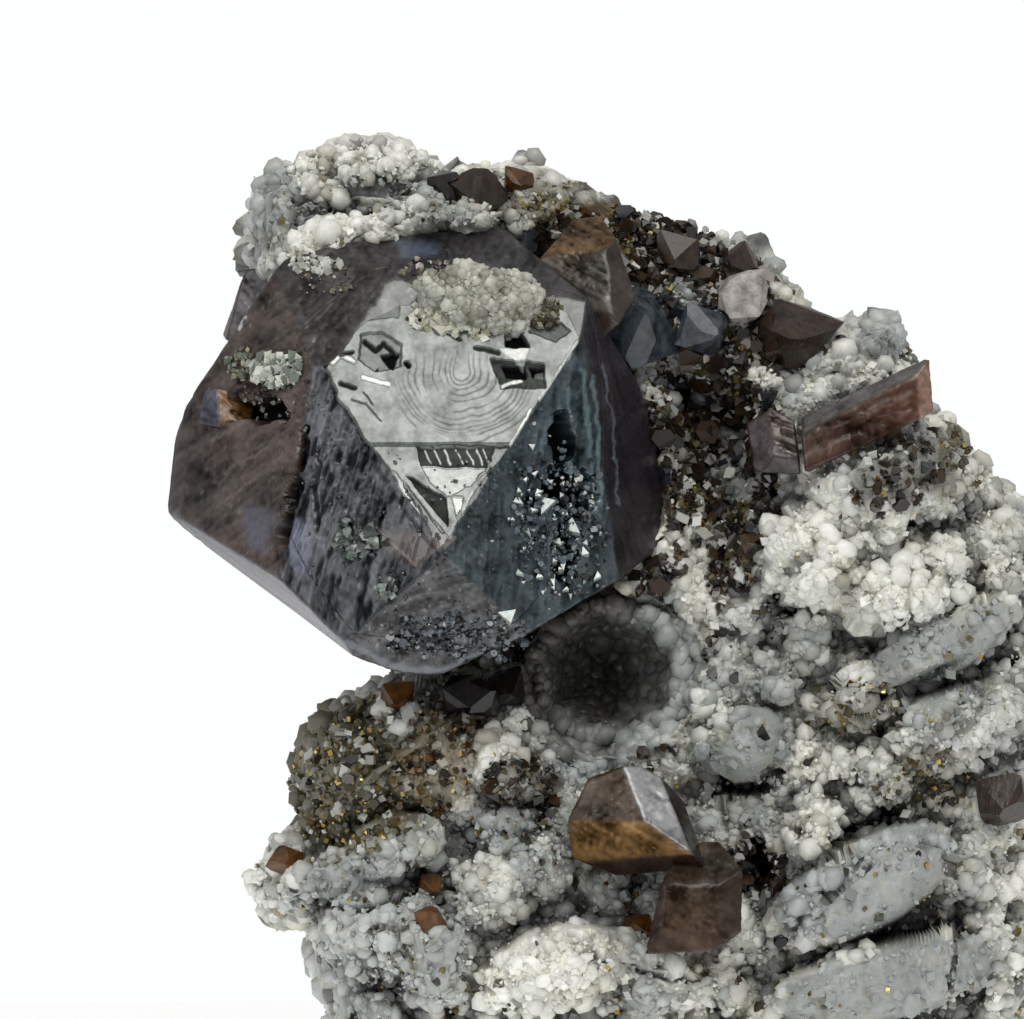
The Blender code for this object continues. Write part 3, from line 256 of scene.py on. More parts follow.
# Each patch is laid over those before it
ROCK_PATCHES = [
    Patch(Ground.WHITE, 18.0, 42.5, 13.0, 9.0),
    Patch(Ground.WHITE, 7.0, 35.5, 7.0, 7.0),
    Patch(Ground.GREY, -15.0, 12.0, 12.0, 9.0, 0.0, 0.75),
    Patch(Ground.WHITE, -20.5, 73.5, 9.5, 3.4, 3.0),
    Patch(Ground.GREY, -28.4, 69.6, 2.0, 4.4, 0.0, 0.9),
    Patch(Ground.BLUE, -20.9, 71.0, 5.8, 1.3, 12.0, 0.9),
    Patch(Ground.WHITE, -20.4, 68.0, 9.5, 3.0, 18.0),
    Patch(Ground.WHITE, -10.5, 73.0, 2.6, 1.6),
    Patch(Ground.DARK, 2.0, 65.6, 12.0, 4.6, -24.0),
    Patch(Ground.BRASS, -6.0, 71.0, 5.0, 2.2, -15.0, 0.7),
    Patch(Ground.OCHRE, -2.6, 68.0, 3.0, 3.2, 0.0, 0.6),
    Patch(Ground.GREY, 4.8, 63.0, 2.2, 2.0, 0.0, 0.8),
    Patch(Ground.WHITE, 12.0, 64.2, 2.4, 1.6, -40.0, 0.8),
    Patch(Ground.DARK, 6.2, 51.0, 5.6, 10.0),
    Patch(Ground.DARK, 10.6, 60.0, 4.0, 3.2),
    Patch(Ground.GREY, 5.6, 55.4, 2.2, 1.5, 20.0, 0.8),
    Patch(Ground.WHITE, 3.7, 50.4, 1.2, 1.7, 0.0, 0.6),
    Patch(Ground.GREY, 8.6, 48.4, 1.8, 1.6, 0.0, 0.7),
    Patch(Ground.WHITE, 5.2, 43.2, 2.2, 1.6, 30.0, 0.8),
    Patch(Ground.GREY, 7.6, 52.4, 1.2, 1.2, 0.0, 0.6),
    Patch(Ground.GREY, 3.6, 57.4, 2.0, 1.6, 0.0, 0.6),
    Patch(Ground.WHITE, 17.8, 58.6, 4.6, 3.2, 22.0),
    Patch(Ground.BLUE, 20.6, 59.8, 2.0, 1.8, 0.0, 0.8),
    Patch(Ground.WHITE, 11.8, 56.8, 2.2, 1.4),
    Patch(Ground.BLACK, 21.6, 49.4, 3.8, 3.0, 20.0, 0.75),
    Patch(Ground.BRASS, 18.4, 51.6, 1.3, 1.5),
    Patch(Ground.BRASS, 26.2, 51.0, 1.3, 1.6),
    Patch(Ground.GREY, 25.6, 35.6, 6.4, 2.8, 28.0, 0.8),
    Patch(Ground.BRASS, 19.0, 29.6, 3.0, 2.4, 0.0, 0.55),
    Patch(Ground.BLUE, 9.2, 27.4, 4.2, 2.8, 28.0, 0.9),
    Patch(Ground.GREY, 10.4, 34.0, 2.4, 3.6, 0.0, 0.6),
    # painted shade: a near-black ground laid over the vug and its rim
    Patch(Ground.BLACK, -1.4, 33.0, 7.6, 6.8),
    Patch(Ground.BLUE, -2.8, 25.2, 4.2, 1.6, 0.0, 0.8),
    Patch(Ground.WHITE, 6.0, 29.6, 3.4, 2.2, 10.0, 0.8),
    Patch(Ground.BRASS, -22.2, 24.8, 5.4, 6.2),
    Patch(Ground.OCHRE, -14.8, 26.8, 3.2, 4.6, 0.0, 0.7),
    # painted shade: a near-black ground under the great crystal's lower rim
    Patch(Ground.BLACK, -12.6, 31.4, 4.6, 1.8, 0.0, 0.85),
    Patch(Ground.DARK, -8.4, 23.4, 3.0, 3.2, 0.0, 0.7),
    Patch(Ground.BLUE, -10.8, 19.6, 3.4, 3.0, 0.0, 0.7),
    Patch(Ground.WHITE, -28.4, 16.4, 2.6, 2.6),
    Patch(Ground.GREY, -22.4, 15.6, 6.0, 2.6, 14.0, 0.8),
    Patch(Ground.WHITE, -11.6, 16.4, 3.4, 3.0, 0.0, 0.7),
    Patch(Ground.WHITE, -6.4, 9.4, 6.4, 3.4, 12.0),
    Patch(Ground.WHITE, 14.4, 20.4, 2.4, 3.4),
    # painted shade: a near-black ground laid in an open crack
    Patch(Ground.BLACK, 10.4, 17.8, 1.7, 3.0, 8.0),
    Patch(Ground.BLUE, 18.8, 15.8, 7.4, 3.0, 27.0, 0.85),
    Patch(Ground.GREY, 21.0, 8.6, 9.0, 3.0, 11.0, 0.85),
    Patch(Ground.WHITE, 28.6, 40.0, 4.0, 4.0, 0.0, 0.7),
    Patch(Ground.BRASS, 24.0, 24.4, 3.4, 2.6, 0.0, 0.5),
]


class Facet(NamedTuple):
    """A flat crystal face: its outward normal, and how far along it the face lies from the origin."""

    normal: Array
    reach: float


class Beside(NamedTuple):
    """A facet that meets another along an edge, given by its ends as seen from the front: X and Z."""

    name: str
    neighbour: str
    start: tuple
    end: tuple
    turn: float  # degrees that it turns away from its neighbour


class Rim(NamedTuple):
    """A facet seen edge-on as a side of the outline, leaning back by `lean` degrees at a depth."""

    start: tuple
    end: tuple
    lean: float
    depth: float


class Habit(NamedTuple):
    """A crystal that is given facet by facet."""

    first_name: str
    first_normal: tuple
    first_point: tuple
    beside: list
    rims: list
    back: list  # each a normal and a point of a facet at the back


GREAT_HABIT = Habit(
    "mirror", (0.04, -0.906, 0.423), (-14.6, -23.0, 43.0),
    [
        Beside("striated", "mirror", (-23.0, 57.6), (-14.6, 43.0), 30.0),
        Beside("teal", "mirror", (-3.5, 59.8), (-14.6, 43.0), -38.0),
        Beside("upper_left", "mirror", (-23.0, 57.6), (-19.8, 62.8), -24.0),
        Beside("upper", "mirror", (-16.5, 64.2), (-6.5, 63.0), -30.0),
        Beside("left", "striated", (-25.8, 52.5), (-27.6, 40.7), 30.0),
        Beside("foot", "mirror", (-19.7, 42.0), (-8.5, 43.4), 52.0),
        Beside("right", "teal", (-3.0, 56.4), (-1.1, 44.2), -26.0),
        Beside("lower_left", "left", (-35.7, 45.2), (-27.5, 40.4), 52.0),
    ],
    [
        Rim((-37.0, 46.9), (-36.7, 52.0), 12.0, -3.0),
        Rim((-36.7, 52.0), (-35.4, 55.4), 12.0, -3.0),
        Rim((-35.6, 55.0), (-29.1, 62.8), 10.0, -4.0),
        Rim((-26.1, 65.8), (-10.1, 69.0), 15.0, -6.0),
        Rim((-10.1, 68.8), (1.1, 55.2), 12.0, -5.0),
        Rim((1.1, 55.2), (4.0, 45.6), 10.0, -5.0),
        Rim((4.1, 45.6), (3.3, 43.2), 10.0, -5.0),
        Rim((3.4, 41.9), (-14.1, 33.5), 7.6, -16.4),
        Rim((-14.8, 32.9), (-18.6, 33.3), 14.0, -18.0),
        Rim((-18.6, 33.3), (-25.8, 36.4), 12.0, -19.0),
        Rim((-26.0, 36.5), (-34.6, 42.7), 8.0, -9.0),
    ],
    [
        ((0.0, 1.0, 0.0), (0.0, 11.0, 50.0)),
        ((-0.72, 0.68, 0.12), (-33.0, 3.0, 50.0)),
        ((-0.40, 0.72, -0.56), (-28.0, 5.0, 40.0)),
        ((0.30, 0.70, -0.64), (-6.0, 6.0, 38.0)),
    ],
)
BLADE_HABIT = Habit(
    "front", (-0.16, -0.975, 0.14), (19.0, -15.2, 53.8),
    [
        Beside("top", "front", (14.2, 52.2), (23.1, 56.8), -48.0),
        Beside("right_end", "front", (23.1, 56.8), (23.3, 53.6), -46.0),
    ],
    [
        Rim((13.8, 53.4), (23.9, 57.9), 10.0, -13.0),
        Rim((23.7, 58.1), (23.9, 53.7), 10.0, -12.0),
        Rim((23.0, 53.2), (14.3, 49.0), 2.0, -13.0),
        Rim((14.3, 49.1), (13.8, 53.6), 8.0, -14.0),
    ],
    [((0.0, 1.0, 0.0), (19.0, 0.0, 53.0))],
)
BLADE_SIDE_HABIT = Habit(
    "front", (0.10, -0.90, 0.42), (12.2, -13.2, 51.6),
    [
        Beside("left", "front", (11.4, 53.4), (11.9, 49.4), 42.0),
        Beside("lower", "front", (10.2, 50.6), (13.8, 50.2), 40.0),
    ],
    [
        Rim((9.7, 53.0), (11.6, 53.8), 15.0, -11.0),
        Rim((11.6, 53.8), (13.3, 52.8), 15.0, -11.0),
        Rim((13.4, 52.8), (13.8, 49.2), 2.0, -11.0),
        Rim((13.8, 49.2), (10.6, 49.4), 10.0, -11.0),
        Rim((10.4, 49.4), (9.6, 53.0), 10.0, -11.0),
    ],
    [((0.0, 1.0, 0.0), (12.0, 0.0, 51.0))],
)
BEHIND_HABIT = Habit(
    "front", (-0.42, -0.86, 0.28), (-31.2, -2.4, 62.6),
    [Beside("edge", "front", (-31.0, 64.4), (-32.0, 60.4), 50.0)],
    [
        Rim((-32.3, 60.3), (-30.4, 65.0), 12.0, 0.0),
        Rim((-30.4, 65.2), (-27.2, 65.4), 8.0, 0.0),
        Rim((-27.2, 65.0), (-28.2, 59.6), 4.0, 0.0),
        Rim((-28.6, 59.6), (-32.3, 60.2), 10.0, 0.0),
    ],
    [((0.0, 1.0, 0.0), (-30.0, 8.0, 62.0))],
)
AMBER_RIDGE_HABIT = Habit(
    "front", (-0.25, -0.88, 0.40), (-3.4, -10.4, 64.8),
    [
        Beside("amber_top", "front", (-6.0, 66.4), (-1.4, 66.9), -30.0),
        Beside("right", "front", (-1.6, 67.0), (-1.2, 61.6), -44.0),
        Beside("foot", "front", (-5.4, 62.4), (-1.2, 61.6), 46.0),
    ],
    [
        Rim((-6.4, 66.0), (-4.6, 69.8), 15.0, -7.0),
        Rim((-4.6, 69.8), (-1.8, 70.0), 15.0, -7.0),
        Rim((-1.8, 70.0), (0.0, 63.2), 12.0, -7.0),
        Rim((0.0, 63.2), (-2.2, 60.6), 12.0, -7.0),
        Rim((-2.2, 60.6), (-6.4, 63.6), 12.0, -7.0),
    ],
    [((0.0, 1.0, 0.0), (-3.0, -1.0, 65.0))],
)
LOWER_LEFT_HABIT = Habit(
    "silver", (0.30, -0.74, 0.60), (1.8, -20.6, 21.8),
    [
        Beside("brown", "silver", (-0.2, 25.4), (2.4, 18.8), 52.0),
        Beside("dark", "silver", (2.4, 25.4), (5.4, 18.2), -44.0),
        Beside("amber", "brown", (-4.8, 21.4), (-1.0, 21.4), 50.0),
        Beside("below", "amber", (-4.4, 18.0), (2.4, 18.6), 24.0),
    ],
    [
        Rim((-4.8, 21.8), (-3.2, 25.2), 15.0, -18.0),
        Rim((-3.2, 25.2), (1.0, 25.9), 22.0, -18.0),
        Rim((1.0, 25.9), (5.0, 23.8), 18.0, -18.0),
        Rim((5.0, 23.8), (6.0, 18.4), 12.0, -18.0),
        Rim((5.6, 17.9), (-1.2, 16.2), 10.0, -18.0),
        Rim((-1.2, 16.4), (-4.6, 17.9), 10.0, -18.0),
        Rim((-4.9, 18.2), (-4.9, 21.8), 10.0, -18.0),
    ],
    [((0.0, 1.0, 0.0), (0.0, -5.0, 21.0))],
)
LOWER_RIGHT_HABIT = Habit(
    "front", (-0.10, -0.985, 0.12), (5.4, -22.0, 14.6),
    [
        Beside("upper", "front", (2.8, 16.4), (8.2, 16.4), -44.0),
        Beside("right", "front", (7.4, 17.4), (7.0, 12.2), -40.0),
        Beside("lower", "front", (2.2, 13.0), (7.8, 12.6), 36.0),
        Beside("left", "front", (3.2, 17.2), (2.6, 12.0), 40.0),
    ],
    [
        Rim((1.8, 12.0), (3.2, 17.6), 12.0, -20.0),
        Rim((3.2, 17.6), (5.6, 20.2), 12.0, -20.0),
        Rim((5.6, 20.2), (7.6, 20.2), 12.0, -20.0),
        Rim((7.6, 20.2), (9.0, 17.4), 12.0, -20.0),
        Rim((9.0, 17.4), (8.8, 12.8), 12.0, -20.0),
        Rim((8.8, 12.8), (6.4, 11.4), 12.0, -20.0),
        Rim((6.4, 11.4), (1.8, 11.0), 12.0, -20.0),
    ],
    [((0.0, 1.0, 0.0), (5.0, -5.0, 15.0))],
)
NESTED_HABIT = Habit(
    "lavender", (-0.72, -0.68, 0.14), (-33.2, -6.2, 54.6),
    [
        Beside("amber", "lavender", (-32.8, 55.4), (-32.6, 52.8), -54.0),
        Beside("under", "lavender", (-33.8, 52.9), (-32.6, 52.7), 60.0),
    ],
    [
        Rim((-34.3, 53.0), (-33.7, 56.0), 8.0, -5.0),
        Rim((-33.3, 56.1), (-29.6, 55.6), 20.0, -7.0),
        Rim((-29.4, 55.6), (-29.8, 53.2), 8.0, -8.0),
        Rim((-29.8, 52.6), (-34.0, 52.6), 12.0, -7.0),
    ],
    [((0.0, 1.0, 0.0), (-32.0, 1.0, 54.0))],
)


class FacetLook(NamedTuple):
    """How a crystal face looks: its body colour, its roughness and the streaks that growth left on it."""

    hex_colour: str
    roughness: float = 0.26
    streak: float = 0.8  # width of a streak, mm
    turn: float = 60.0  # direction across the streaks, degrees from +X
    depth: float = 0.04  # relief of the streaks, mm
    mottle: float = 0.5
    shine: float = 0.18  # how much of the surroundings it reflects, 0.5 for a clean face
    strokes: float = 0.0  # how strongly short dark strokes mark it


GREAT_LOOKS = {
    "mirror": FacetLook("#3A403E", 0.2, 0.9, 30.0, 0.03, 0.3, 0.3),
    "striated": FacetLook("#2B2E34", 0.26, 0.6, 163.0, 0.09, 0.8, 0.22, 0.9),
    "teal": FacetLook("#26343A", 0.24, 0.5, 175.0, 0.08, 0.9, 0.22, 0.5),
    "upper_left": FacetLook("#332F2E", 0.36, 1.1, 140.0, 0.10, 0.8, 0.16, 0.4),
    "upper": FacetLook("#2E2B2C", 0.36, 1.0, 150.0, 0.09, 0.8, 0.16, 0.4),
    "left": FacetLook("#43352F", 0.32, 0.7, 125.0, 0.09, 0.9, 0.18, 0.3),
    "foot": FacetLook("#2A2B2F", 0.30, 0.5, 110.0, 0.12, 1.0, 0.2, 0.4),
    "right": FacetLook("#2B262C", 0.30, 0.5, 15.0, 0.04, 0.4, 0.14, 0.0),
    # painted reflection: the lower left facet is a paler grey for the floor that it mirrors
    "lower_left": FacetLook("#66666E", 0.32, 0.9, 130.0, 0.05, 0.5, 0.4, 0.1),
}
SHADOW_BLACK = "#050505"


class Pit(NamedTuple):
    """An open pit in a facet: X and Z of its middle, half width, half height, depth and turn in degrees."""

    facet: str
    x: float
    z: float
    w: float
    h: float
    depth: float
    turn: float


GREAT_PITS = [
    Pit("teal", -5.0, 51.8, 0.9, 1.9, 3.0, 8.0),
    Pit("teal", -4.6, 47.4, 2.3, 1.9, 2.6, -30.0),
    Pit("teal", -4.9, 42.8, 0.9, 2.3, 2.6, -8.0),
    Pit("left", -27.0, 44.8, 0.7, 1.6, 2.2, -14.0),
    Pit("left", -26.0, 48.6, 0.5, 1.4, 1.8, -10.0),
    Pit("left", -29.6, 53.9, 2.9, 1.1, 2.8, -6.0),
]


class Mark(NamedTuple):
    """A broken, stepped, sunken or shining place on a facet, or a slab or crack of the rock, with painted
    shade, a painted highlight or sheen, or a colour of its own laid on it.

    It is a stroke of a given width along its points, or, with no width, the area that they enclose.
    Its tone runs from -1, painted shade as black as a gap, to 1, a painted white highlight, and its rise is
    how far it stands out.
    """

    points: list
    width: float
    tone: float
    rise: float = 0.0
    hex_colour: str = ""


# Flat-faced blocks of the rock's front with straight edges, and the cracks between them
ROCK_SLABS = [
    Mark([(19.8, 34.5), (22.1, 36.3), (25.5, 37.9), (29.6, 39.2), (31.1, 38.3), (30.4, 35.7), (26.8, 33.5),
          (22.9, 31.7), (20.1, 32.2)], 0.0, 0.7, 0.9),
    Mark([(15.5, 14.6), (18.7, 17.6), (22.1, 19.6), (25.5, 19.2), (24.9, 16.6), (24.1, 12.3), (20.1, 11.0),
          (15.5, 12.2)], 0.0, 0.9, 1.0),
    Mark([(12.6, 8.3), (17.7, 10.3), (23.7, 12.0), (26.0, 11.8), (25.5, 7.1), (24.1, 4.0), (12.9, 4.0)],
         0.0, 0.9, 0.8),
    Mark([(26.2, 11.9), (28.4, 12.6), (29.5, 10.3), (28.8, 7.2), (26.0, 7.7)], 0.0, 0.9, 0.7),
    Mark([(7.1, 27.6), (8.6, 29.8), (11.4, 30.4), (12.5, 28.8), (11.8, 25.6), (9.4, 23.9), (7.2, 24.6)],
         0.0, 0.8, 0.8),
    Mark([(-26.0, 17.5), (-22.4, 18.0), (-18.4, 16.6), (-19.6, 15.5), (-23.6, 15.1), (-26.3, 15.8)],
         0.0, 0.6, 0.5),
    Mark([(-28.4, 72.6), (-26.6, 73.4), (-26.2, 70.2), (-27.0, 66.6), (-29.4, 66.4), (-29.8, 70.4)],
         0.0, 0.7, 0.4),
    Mark([(18.6, 59.6), (20.6, 61.0), (22.0, 58.8), (20.2, 57.6)], 0.0, 0.7, 0.5),
    Mark([(-17.2, 11.4), (-13.2, 12.4), (-12.4, 9.0), (-15.8, 7.4)], 0.0, 0.5, 0.5),
]
# Cracks between the blocks: each is cut in by its rise and painted dark by its tone, as painted shade in the
# gap
ROCK_CRACKS = [
    Mark([(12.2, 9.3), (17.7, 11.0), (22.0, 12.3), (24.6, 12.7), (28.8, 13.3)], 0.36, -0.9, -0.9),
    Mark([(26.1, 12.2), (25.8, 9.4), (25.8, 7.0), (24.8, 4.6)], 0.26, -0.9, -0.7),
    Mark([(19.9, 11.6), (21.6, 12.9), (24.0, 13.2)], 0.16, -0.8, -0.3),
    Mark([(14.6, 18.0), (17.6, 20.2), (21.4, 22.0)], 0.8, -0.8, -1.0),
    Mark([(19.4, 31.3), (23.4, 30.9), (27.6, 32.8), (31.0, 34.6)], 0.7, -0.8, -1.0),
    Mark([(-20.2, 12.2), (-20.8, 10.0), (-20.6, 8.6)], 0.3, -0.8, -0.6),
    Mark([(-14.4, 14.2), (-12.9, 11.6), (-13.4, 9.2)], 0.3, -0.7, -0.6),
    Mark([(-26.4, 14.6), (-22.6, 14.2), (-18.6, 15.0), (-16.4, 16.4)], 0.5, -0.8, -0.8),
    Mark([(-26.4, 70.8), (-22.4, 71.6), (-18.6, 71.9), (-16.6, 72.6)], 0.8, -0.7, -0.8),
    Mark([(7.0, 24.4), (9.4, 23.2), (12.2, 24.8)], 0.8, -0.9, -1.0),
    Mark([(3.9, 47.0), (5.2, 52.4), (4.6, 57.0)], 0.8, -0.9, -0.8),
    Mark([(10.4, 47.4), (10.9, 44.2), (10.2, 41.6)], 0.7, -0.8, -0.9),
    Mark([(-4.4, 12.2), (0.4, 9.6), (5.4, 8.6), (9.8, 9.8)], 0.7, -0.8, -0.9),
]
# Painted shade in slots, pits and sunken places, painted sheens and highlights, and patches of colour on the
# great crystal's other facets
BODY_MARKS = [
    Mark([(-14.5, 44.2), (-18.0, 48.9), (-20.4, 52.6), (-21.9, 54.9), (-22.7, 57.1), (-20.2, 60.5),
          (-17.7, 61.8), (-6.4, 61.8), (-5.4, 61.2), (-4.5, 59.5), (-7.4, 54.8), (-9.9, 51.0), (-12.6, 47.5)],
         0.0, -1.0, -1.5),
    # painted sheen: lavender grey on the left facet
    Mark([(-30.7, 46.3), (-28.0, 45.7), (-28.6, 42.4), (-30.4, 43.4)], 0.0, 0.5, 0.0, "#535870"),
    Mark([(-27.1, 45.2), (-25.1, 45.0), (-25.5, 40.9), (-26.8, 41.0)], 0.0, 0.5, 0.0, "#646A84"),
    Mark([(-5.6, 53.8), (-5.1, 52.0), (-4.3, 50.2), (-4.8, 49.0), (-3.2, 47.4), (-3.4, 45.4), (-4.8, 45.0),
          (-5.9, 46.6), (-6.9, 45.6), (-7.7, 46.6), (-6.5, 48.2), (-5.6, 49.0), (-6.0, 51.4)],
         0.0, -1.0, -1.4),
    Mark([(-5.3, 45.5), (-4.1, 45.8), (-4.3, 43.6), (-3.9, 42.0), (-4.8, 40.2), (-5.7, 41.6), (-5.4, 43.8)],
         0.0, -1.0, -1.4),
    Mark([(-25.6, 52.6), (-26.1, 49.4)], 0.55, -1.0, -0.7),
    Mark([(-26.3, 48.2), (-26.9, 46.0), (-27.3, 44.6)], 0.95, -1.0, -1.0),
    Mark([(-27.2, 44.8), (-26.7, 40.6)], 0.16, -0.9, -0.2),
    Mark([(-24.4, 50.8), (-24.9, 47.6), (-24.5, 44.8)], 0.3, -0.7, -0.2),
    # painted highlights: pale lines along the upper left edge
    Mark([(-33.0, 58.4), (-30.3, 61.4)], 0.22, 0.8, 0.0, "#D8DADC"),
    Mark([(-36.2, 52.6), (-35.0, 55.6), (-32.0, 59.2)], 0.3, 0.6, 0.0, "#8C8C90"),
    Mark([(-18.2, 67.4), (-15.5, 67.6), (-15.1, 66.5), (-17.9, 66.2)], 0.0, 0.8, 0.0, "#46536A"),
    Mark([(-3.5, 57.0), (-2.9, 51.4), (-2.6, 47.0)], 0.4, 0.5, 0.05, "#5E7880"),
    Mark([(-2.6, 56.6), (-2.1, 50.4), (-2.2, 45.4)], 0.3, 0.55, 0.05, "#6E868E"),
    Mark([(-4.6, 55.6), (-4.3, 53.0)], 0.3, 0.4, 0.05, "#5E7880"),
    Mark([(-6.2, 53.4), (-6.8, 50.6)], 0.4, 0.35, 0.05, "#58707A"),
    Mark([(-1.9, 57.6), (-1.0, 52.6), (-0.6, 46.4)], 0.16, 0.5, 0.0, "#7C8790"),
    Mark([(-19.7, 44.4), (-13.8, 44.0), (-16.6, 41.6), (-19.0, 42.6)], 0.0, 0.7, 0.15, "#4A3A33"),
    Mark([(-19.8, 44.5), (-16.8, 41.7), (-13.8, 44.0)], 0.16, 0.5, 0.1, "#9A8C84"),
    Mark([(-22.6, 55.2), (-20.4, 50.4), (-17.4, 45.6), (-14.8, 42.4)], 0.3, -0.5, -0.1),
    Mark([(-25.0, 36.9), (-18.4, 33.6), (-14.4, 33.4), (-8.2, 36.2)], 0.5, 0.45, 0.0, "#6A7480"),
    Mark([(-34.6, 50.8), (-30.2, 53.4)], 0.3, 0.35, 0.0, "#7A6A62"),
    Mark([(-33.0, 48.2), (-28.6, 51.2)], 0.26, 0.3, 0.0, "#7A6A62"),
    Mark([(-32.8, 46.0), (-28.8, 48.8)], 0.2, 0.3, 0.0, "#86766E"),
]


# Marks on the bright plate: painted shade in its gaps, holes and shadowed steps, and painted highlights where
# its steps flash
MIRROR_MARKS = [
    Mark([(-20.4, 62.3), (-17.9, 62.4), (-18.2, 61.2), (-20.6, 61.0)], 0.0, -0.35, -0.05),
    Mark([(-21.2, 59.9), (-19.6, 60.1), (-17.9, 59.2), (-18.0, 57.2), (-20.0, 56.9), (-21.3, 57.9)],
         0.0, -0.3, -0.25),
    Mark([(-20.9, 59.4), (-20.0, 58.6), (-19.3, 59.2), (-18.6, 58.4)], 0.3, -0.9, -0.3),
    Mark([(-19.6, 58.3), (-18.1, 58.4), (-18.6, 57.0)], 0.0, -1.0, -0.5),
    Mark([(-17.5, 57.5), (-17.3, 57.3)], 0.4, -1.0, -0.3),
    Mark([(-20.9, 56.4), (-19.0, 55.9)], 0.34, 0.95, 0.05),
    Mark([(-22.7, 56.0), (-21.6, 55.6)], 0.3, -0.9, -0.2),
    Mark([(-21.0, 55.3), (-20.2, 54.2)], 0.1, -0.9, -0.05),
    Mark([(-21.9, 54.6), (-20.8, 54.3), (-19.5, 52.9)], 0.1, -0.7, -0.05),
    Mark([(-23.4, 57.6), (-22.6, 58.2), (-21.6, 57.6)], 0.3, 0.7, 0.1),
    Mark([(-22.7, 58.2), (-21.9, 58.3)], 0.3, -0.9, -0.2),
    Mark([(-17.5, 61.1), (-15.0, 60.7), (-13.3, 59.3)], 0.3, -0.75, -0.1),
    Mark([(-11.9, 58.7), (-10.2, 58.4)], 0.3, -0.85, -0.2),
    Mark([(-10.2, 62.6), (-9.6, 58.9), (-7.7, 58.8)], 0.0, -1.0, -0.9),
    Mark([(-10.8, 57.9), (-9.0, 57.7), (-6.6, 57.5), (-6.5, 55.6), (-10.0, 55.6)], 0.0, -0.75, -0.5),
    Mark([(-9.9, 57.5), (-8.1, 57.4), (-8.0, 56.5), (-9.6, 56.5)], 0.0, -1.0, -0.8),
    Mark([(-7.7, 57.3), (-6.6, 57.3), (-6.6, 56.5), (-7.5, 56.6)], 0.0, -1.0, -0.8),
    Mark([(-10.1, 58.7), (-7.7, 58.8), (-8.2, 57.2)], 0.0, 0.55, 0.0),
    Mark([(-10.0, 55.9), (-8.4, 56.3)], 0.25, 0.8, 0.0),
    Mark([(-7.9, 62.5), (-4.4, 60.2), (-5.6, 59.3), (-7.8, 60.0)], 0.0, -0.5, -0.2),
    Mark([(-3.8, 59.2), (-5.4, 56.5)], 0.6, 0.95, 0.1),
    Mark([(-5.4, 56.5), (-6.2, 55.6)], 0.36, 0.9, 0.05),
    Mark([(-6.3, 55.5), (-7.0, 54.7)], 0.3, 0.85, 0.05),
    Mark([(-7.7, 53.8), (-9.3, 51.1)], 0.22, 0.85, 0.05),
    Mark([(-3.4, 60.1), (-2.5, 59.6)], 0.3, 0.6, 0.05),
    Mark([(-14.9, 51.1), (-9.4, 50.95)], 0.14, -0.8, -0.1),
    Mark([(-16.6, 50.9), (-10.4, 50.9), (-11.0, 49.4), (-16.2, 49.4)], 0.0, -0.8, -0.25),
    Mark([(-16.2, 49.35), (-10.8, 49.35), (-12.4, 47.9), (-14.2, 47.1), (-15.6, 48.2)], 0.0, 0.35, -0.15),
    Mark([(-18.5, 48.5), (-16.6, 45.9), (-14.6, 43.4)], 1.1, 0.3, -0.2),
    Mark([(-17.4, 48.6), (-14.3, 47.0), (-14.2, 44.6)], 0.0, -0.85, -0.4),
    Mark([(-14.0, 47.2), (-12.9, 47.0), (-13.3, 45.0)], 0.0, 0.65, -0.2),
    Mark([(-12.2, 47.4), (-13.9, 43.6)], 0.2, 0.3, 0.0),
]
# The slashes are painted highlights: white strokes laid across the step band
SLASH_STARTS = (-16.0, -15.2, -14.5, -13.6, -12.7, -12.0, -11.4)  # X of the bright slashes in the step band
SLASH_TOP = 50.75
SLASH_FOOT = 49.7
TERRACE_MIDDLE = (-12.9, 56.7)
TERRACE_RADII = (0.7, 1.04, 1.44, 1.9, 2.4, 3.1, 3.7, 4.1, 4.5, 4.8, 5.05, 5.5)
TERRACE_STEP = 0.02
# How far the terrace lines darken the plate's colour and reflection: painted shade along the steps
TERRACE_SHADE = 0.55
MIRROR_LEFT = [(43.0, -14.7), (48.6, -18.7), (52.4, -21.1), (54.7, -22.6), (57.2, -23.8), (61.0, -20.9),
               (62.4, -18.0)]
MIRROR_RIGHT = [(43.0, -14.4), (47.4, -12.0), (51.0, -9.2), (54.8, -6.7), (59.6, -3.6), (61.6, -4.6),
                (62.4, -6.0)]


def linear(hex_colour: str) -> Array:
    """Turn an sRGB hex colour to linear light.

    Args:
        hex_colour: the colour as #RRGGBB.

    Returns:
        Three linear values from 0 to 1.
    """
    values = np.array([int(hex_colour[place:place + 2], 16) for place in (1, 3, 5)]) / 255.0
    return np.where(values <= 0.04045, values / 12.92, ((values + 0.055) / 1.055) ** 2.4)


def unit(vector: Array | tuple) -> Array:
    """Give a vector the length 1."""
    vector = np.asarray(vector, dtype=float)
    return vector / np.linalg.norm(vector)


def smooth_step(value: Array, low: float, high: float) -> Array:
    """Rise smoothly from 0 at `low` to 1 at `high`: 3t² - 2t³ of the share t between them."""
    share = np.clip((value - low) / (high - low), 0.0, 1.0)
    return share * share * (3.0 - 2.0 * share)


def cell_random(i: Array, j: Array, salt: float) -> Array:
    """A number from 0 to 1 that only depends on the cell and the salt."""
    wave = np.sin(i * 127.1 + j * 311.7 + salt * 74.7) * 43758.5453
    return wave - np.floor(wave)


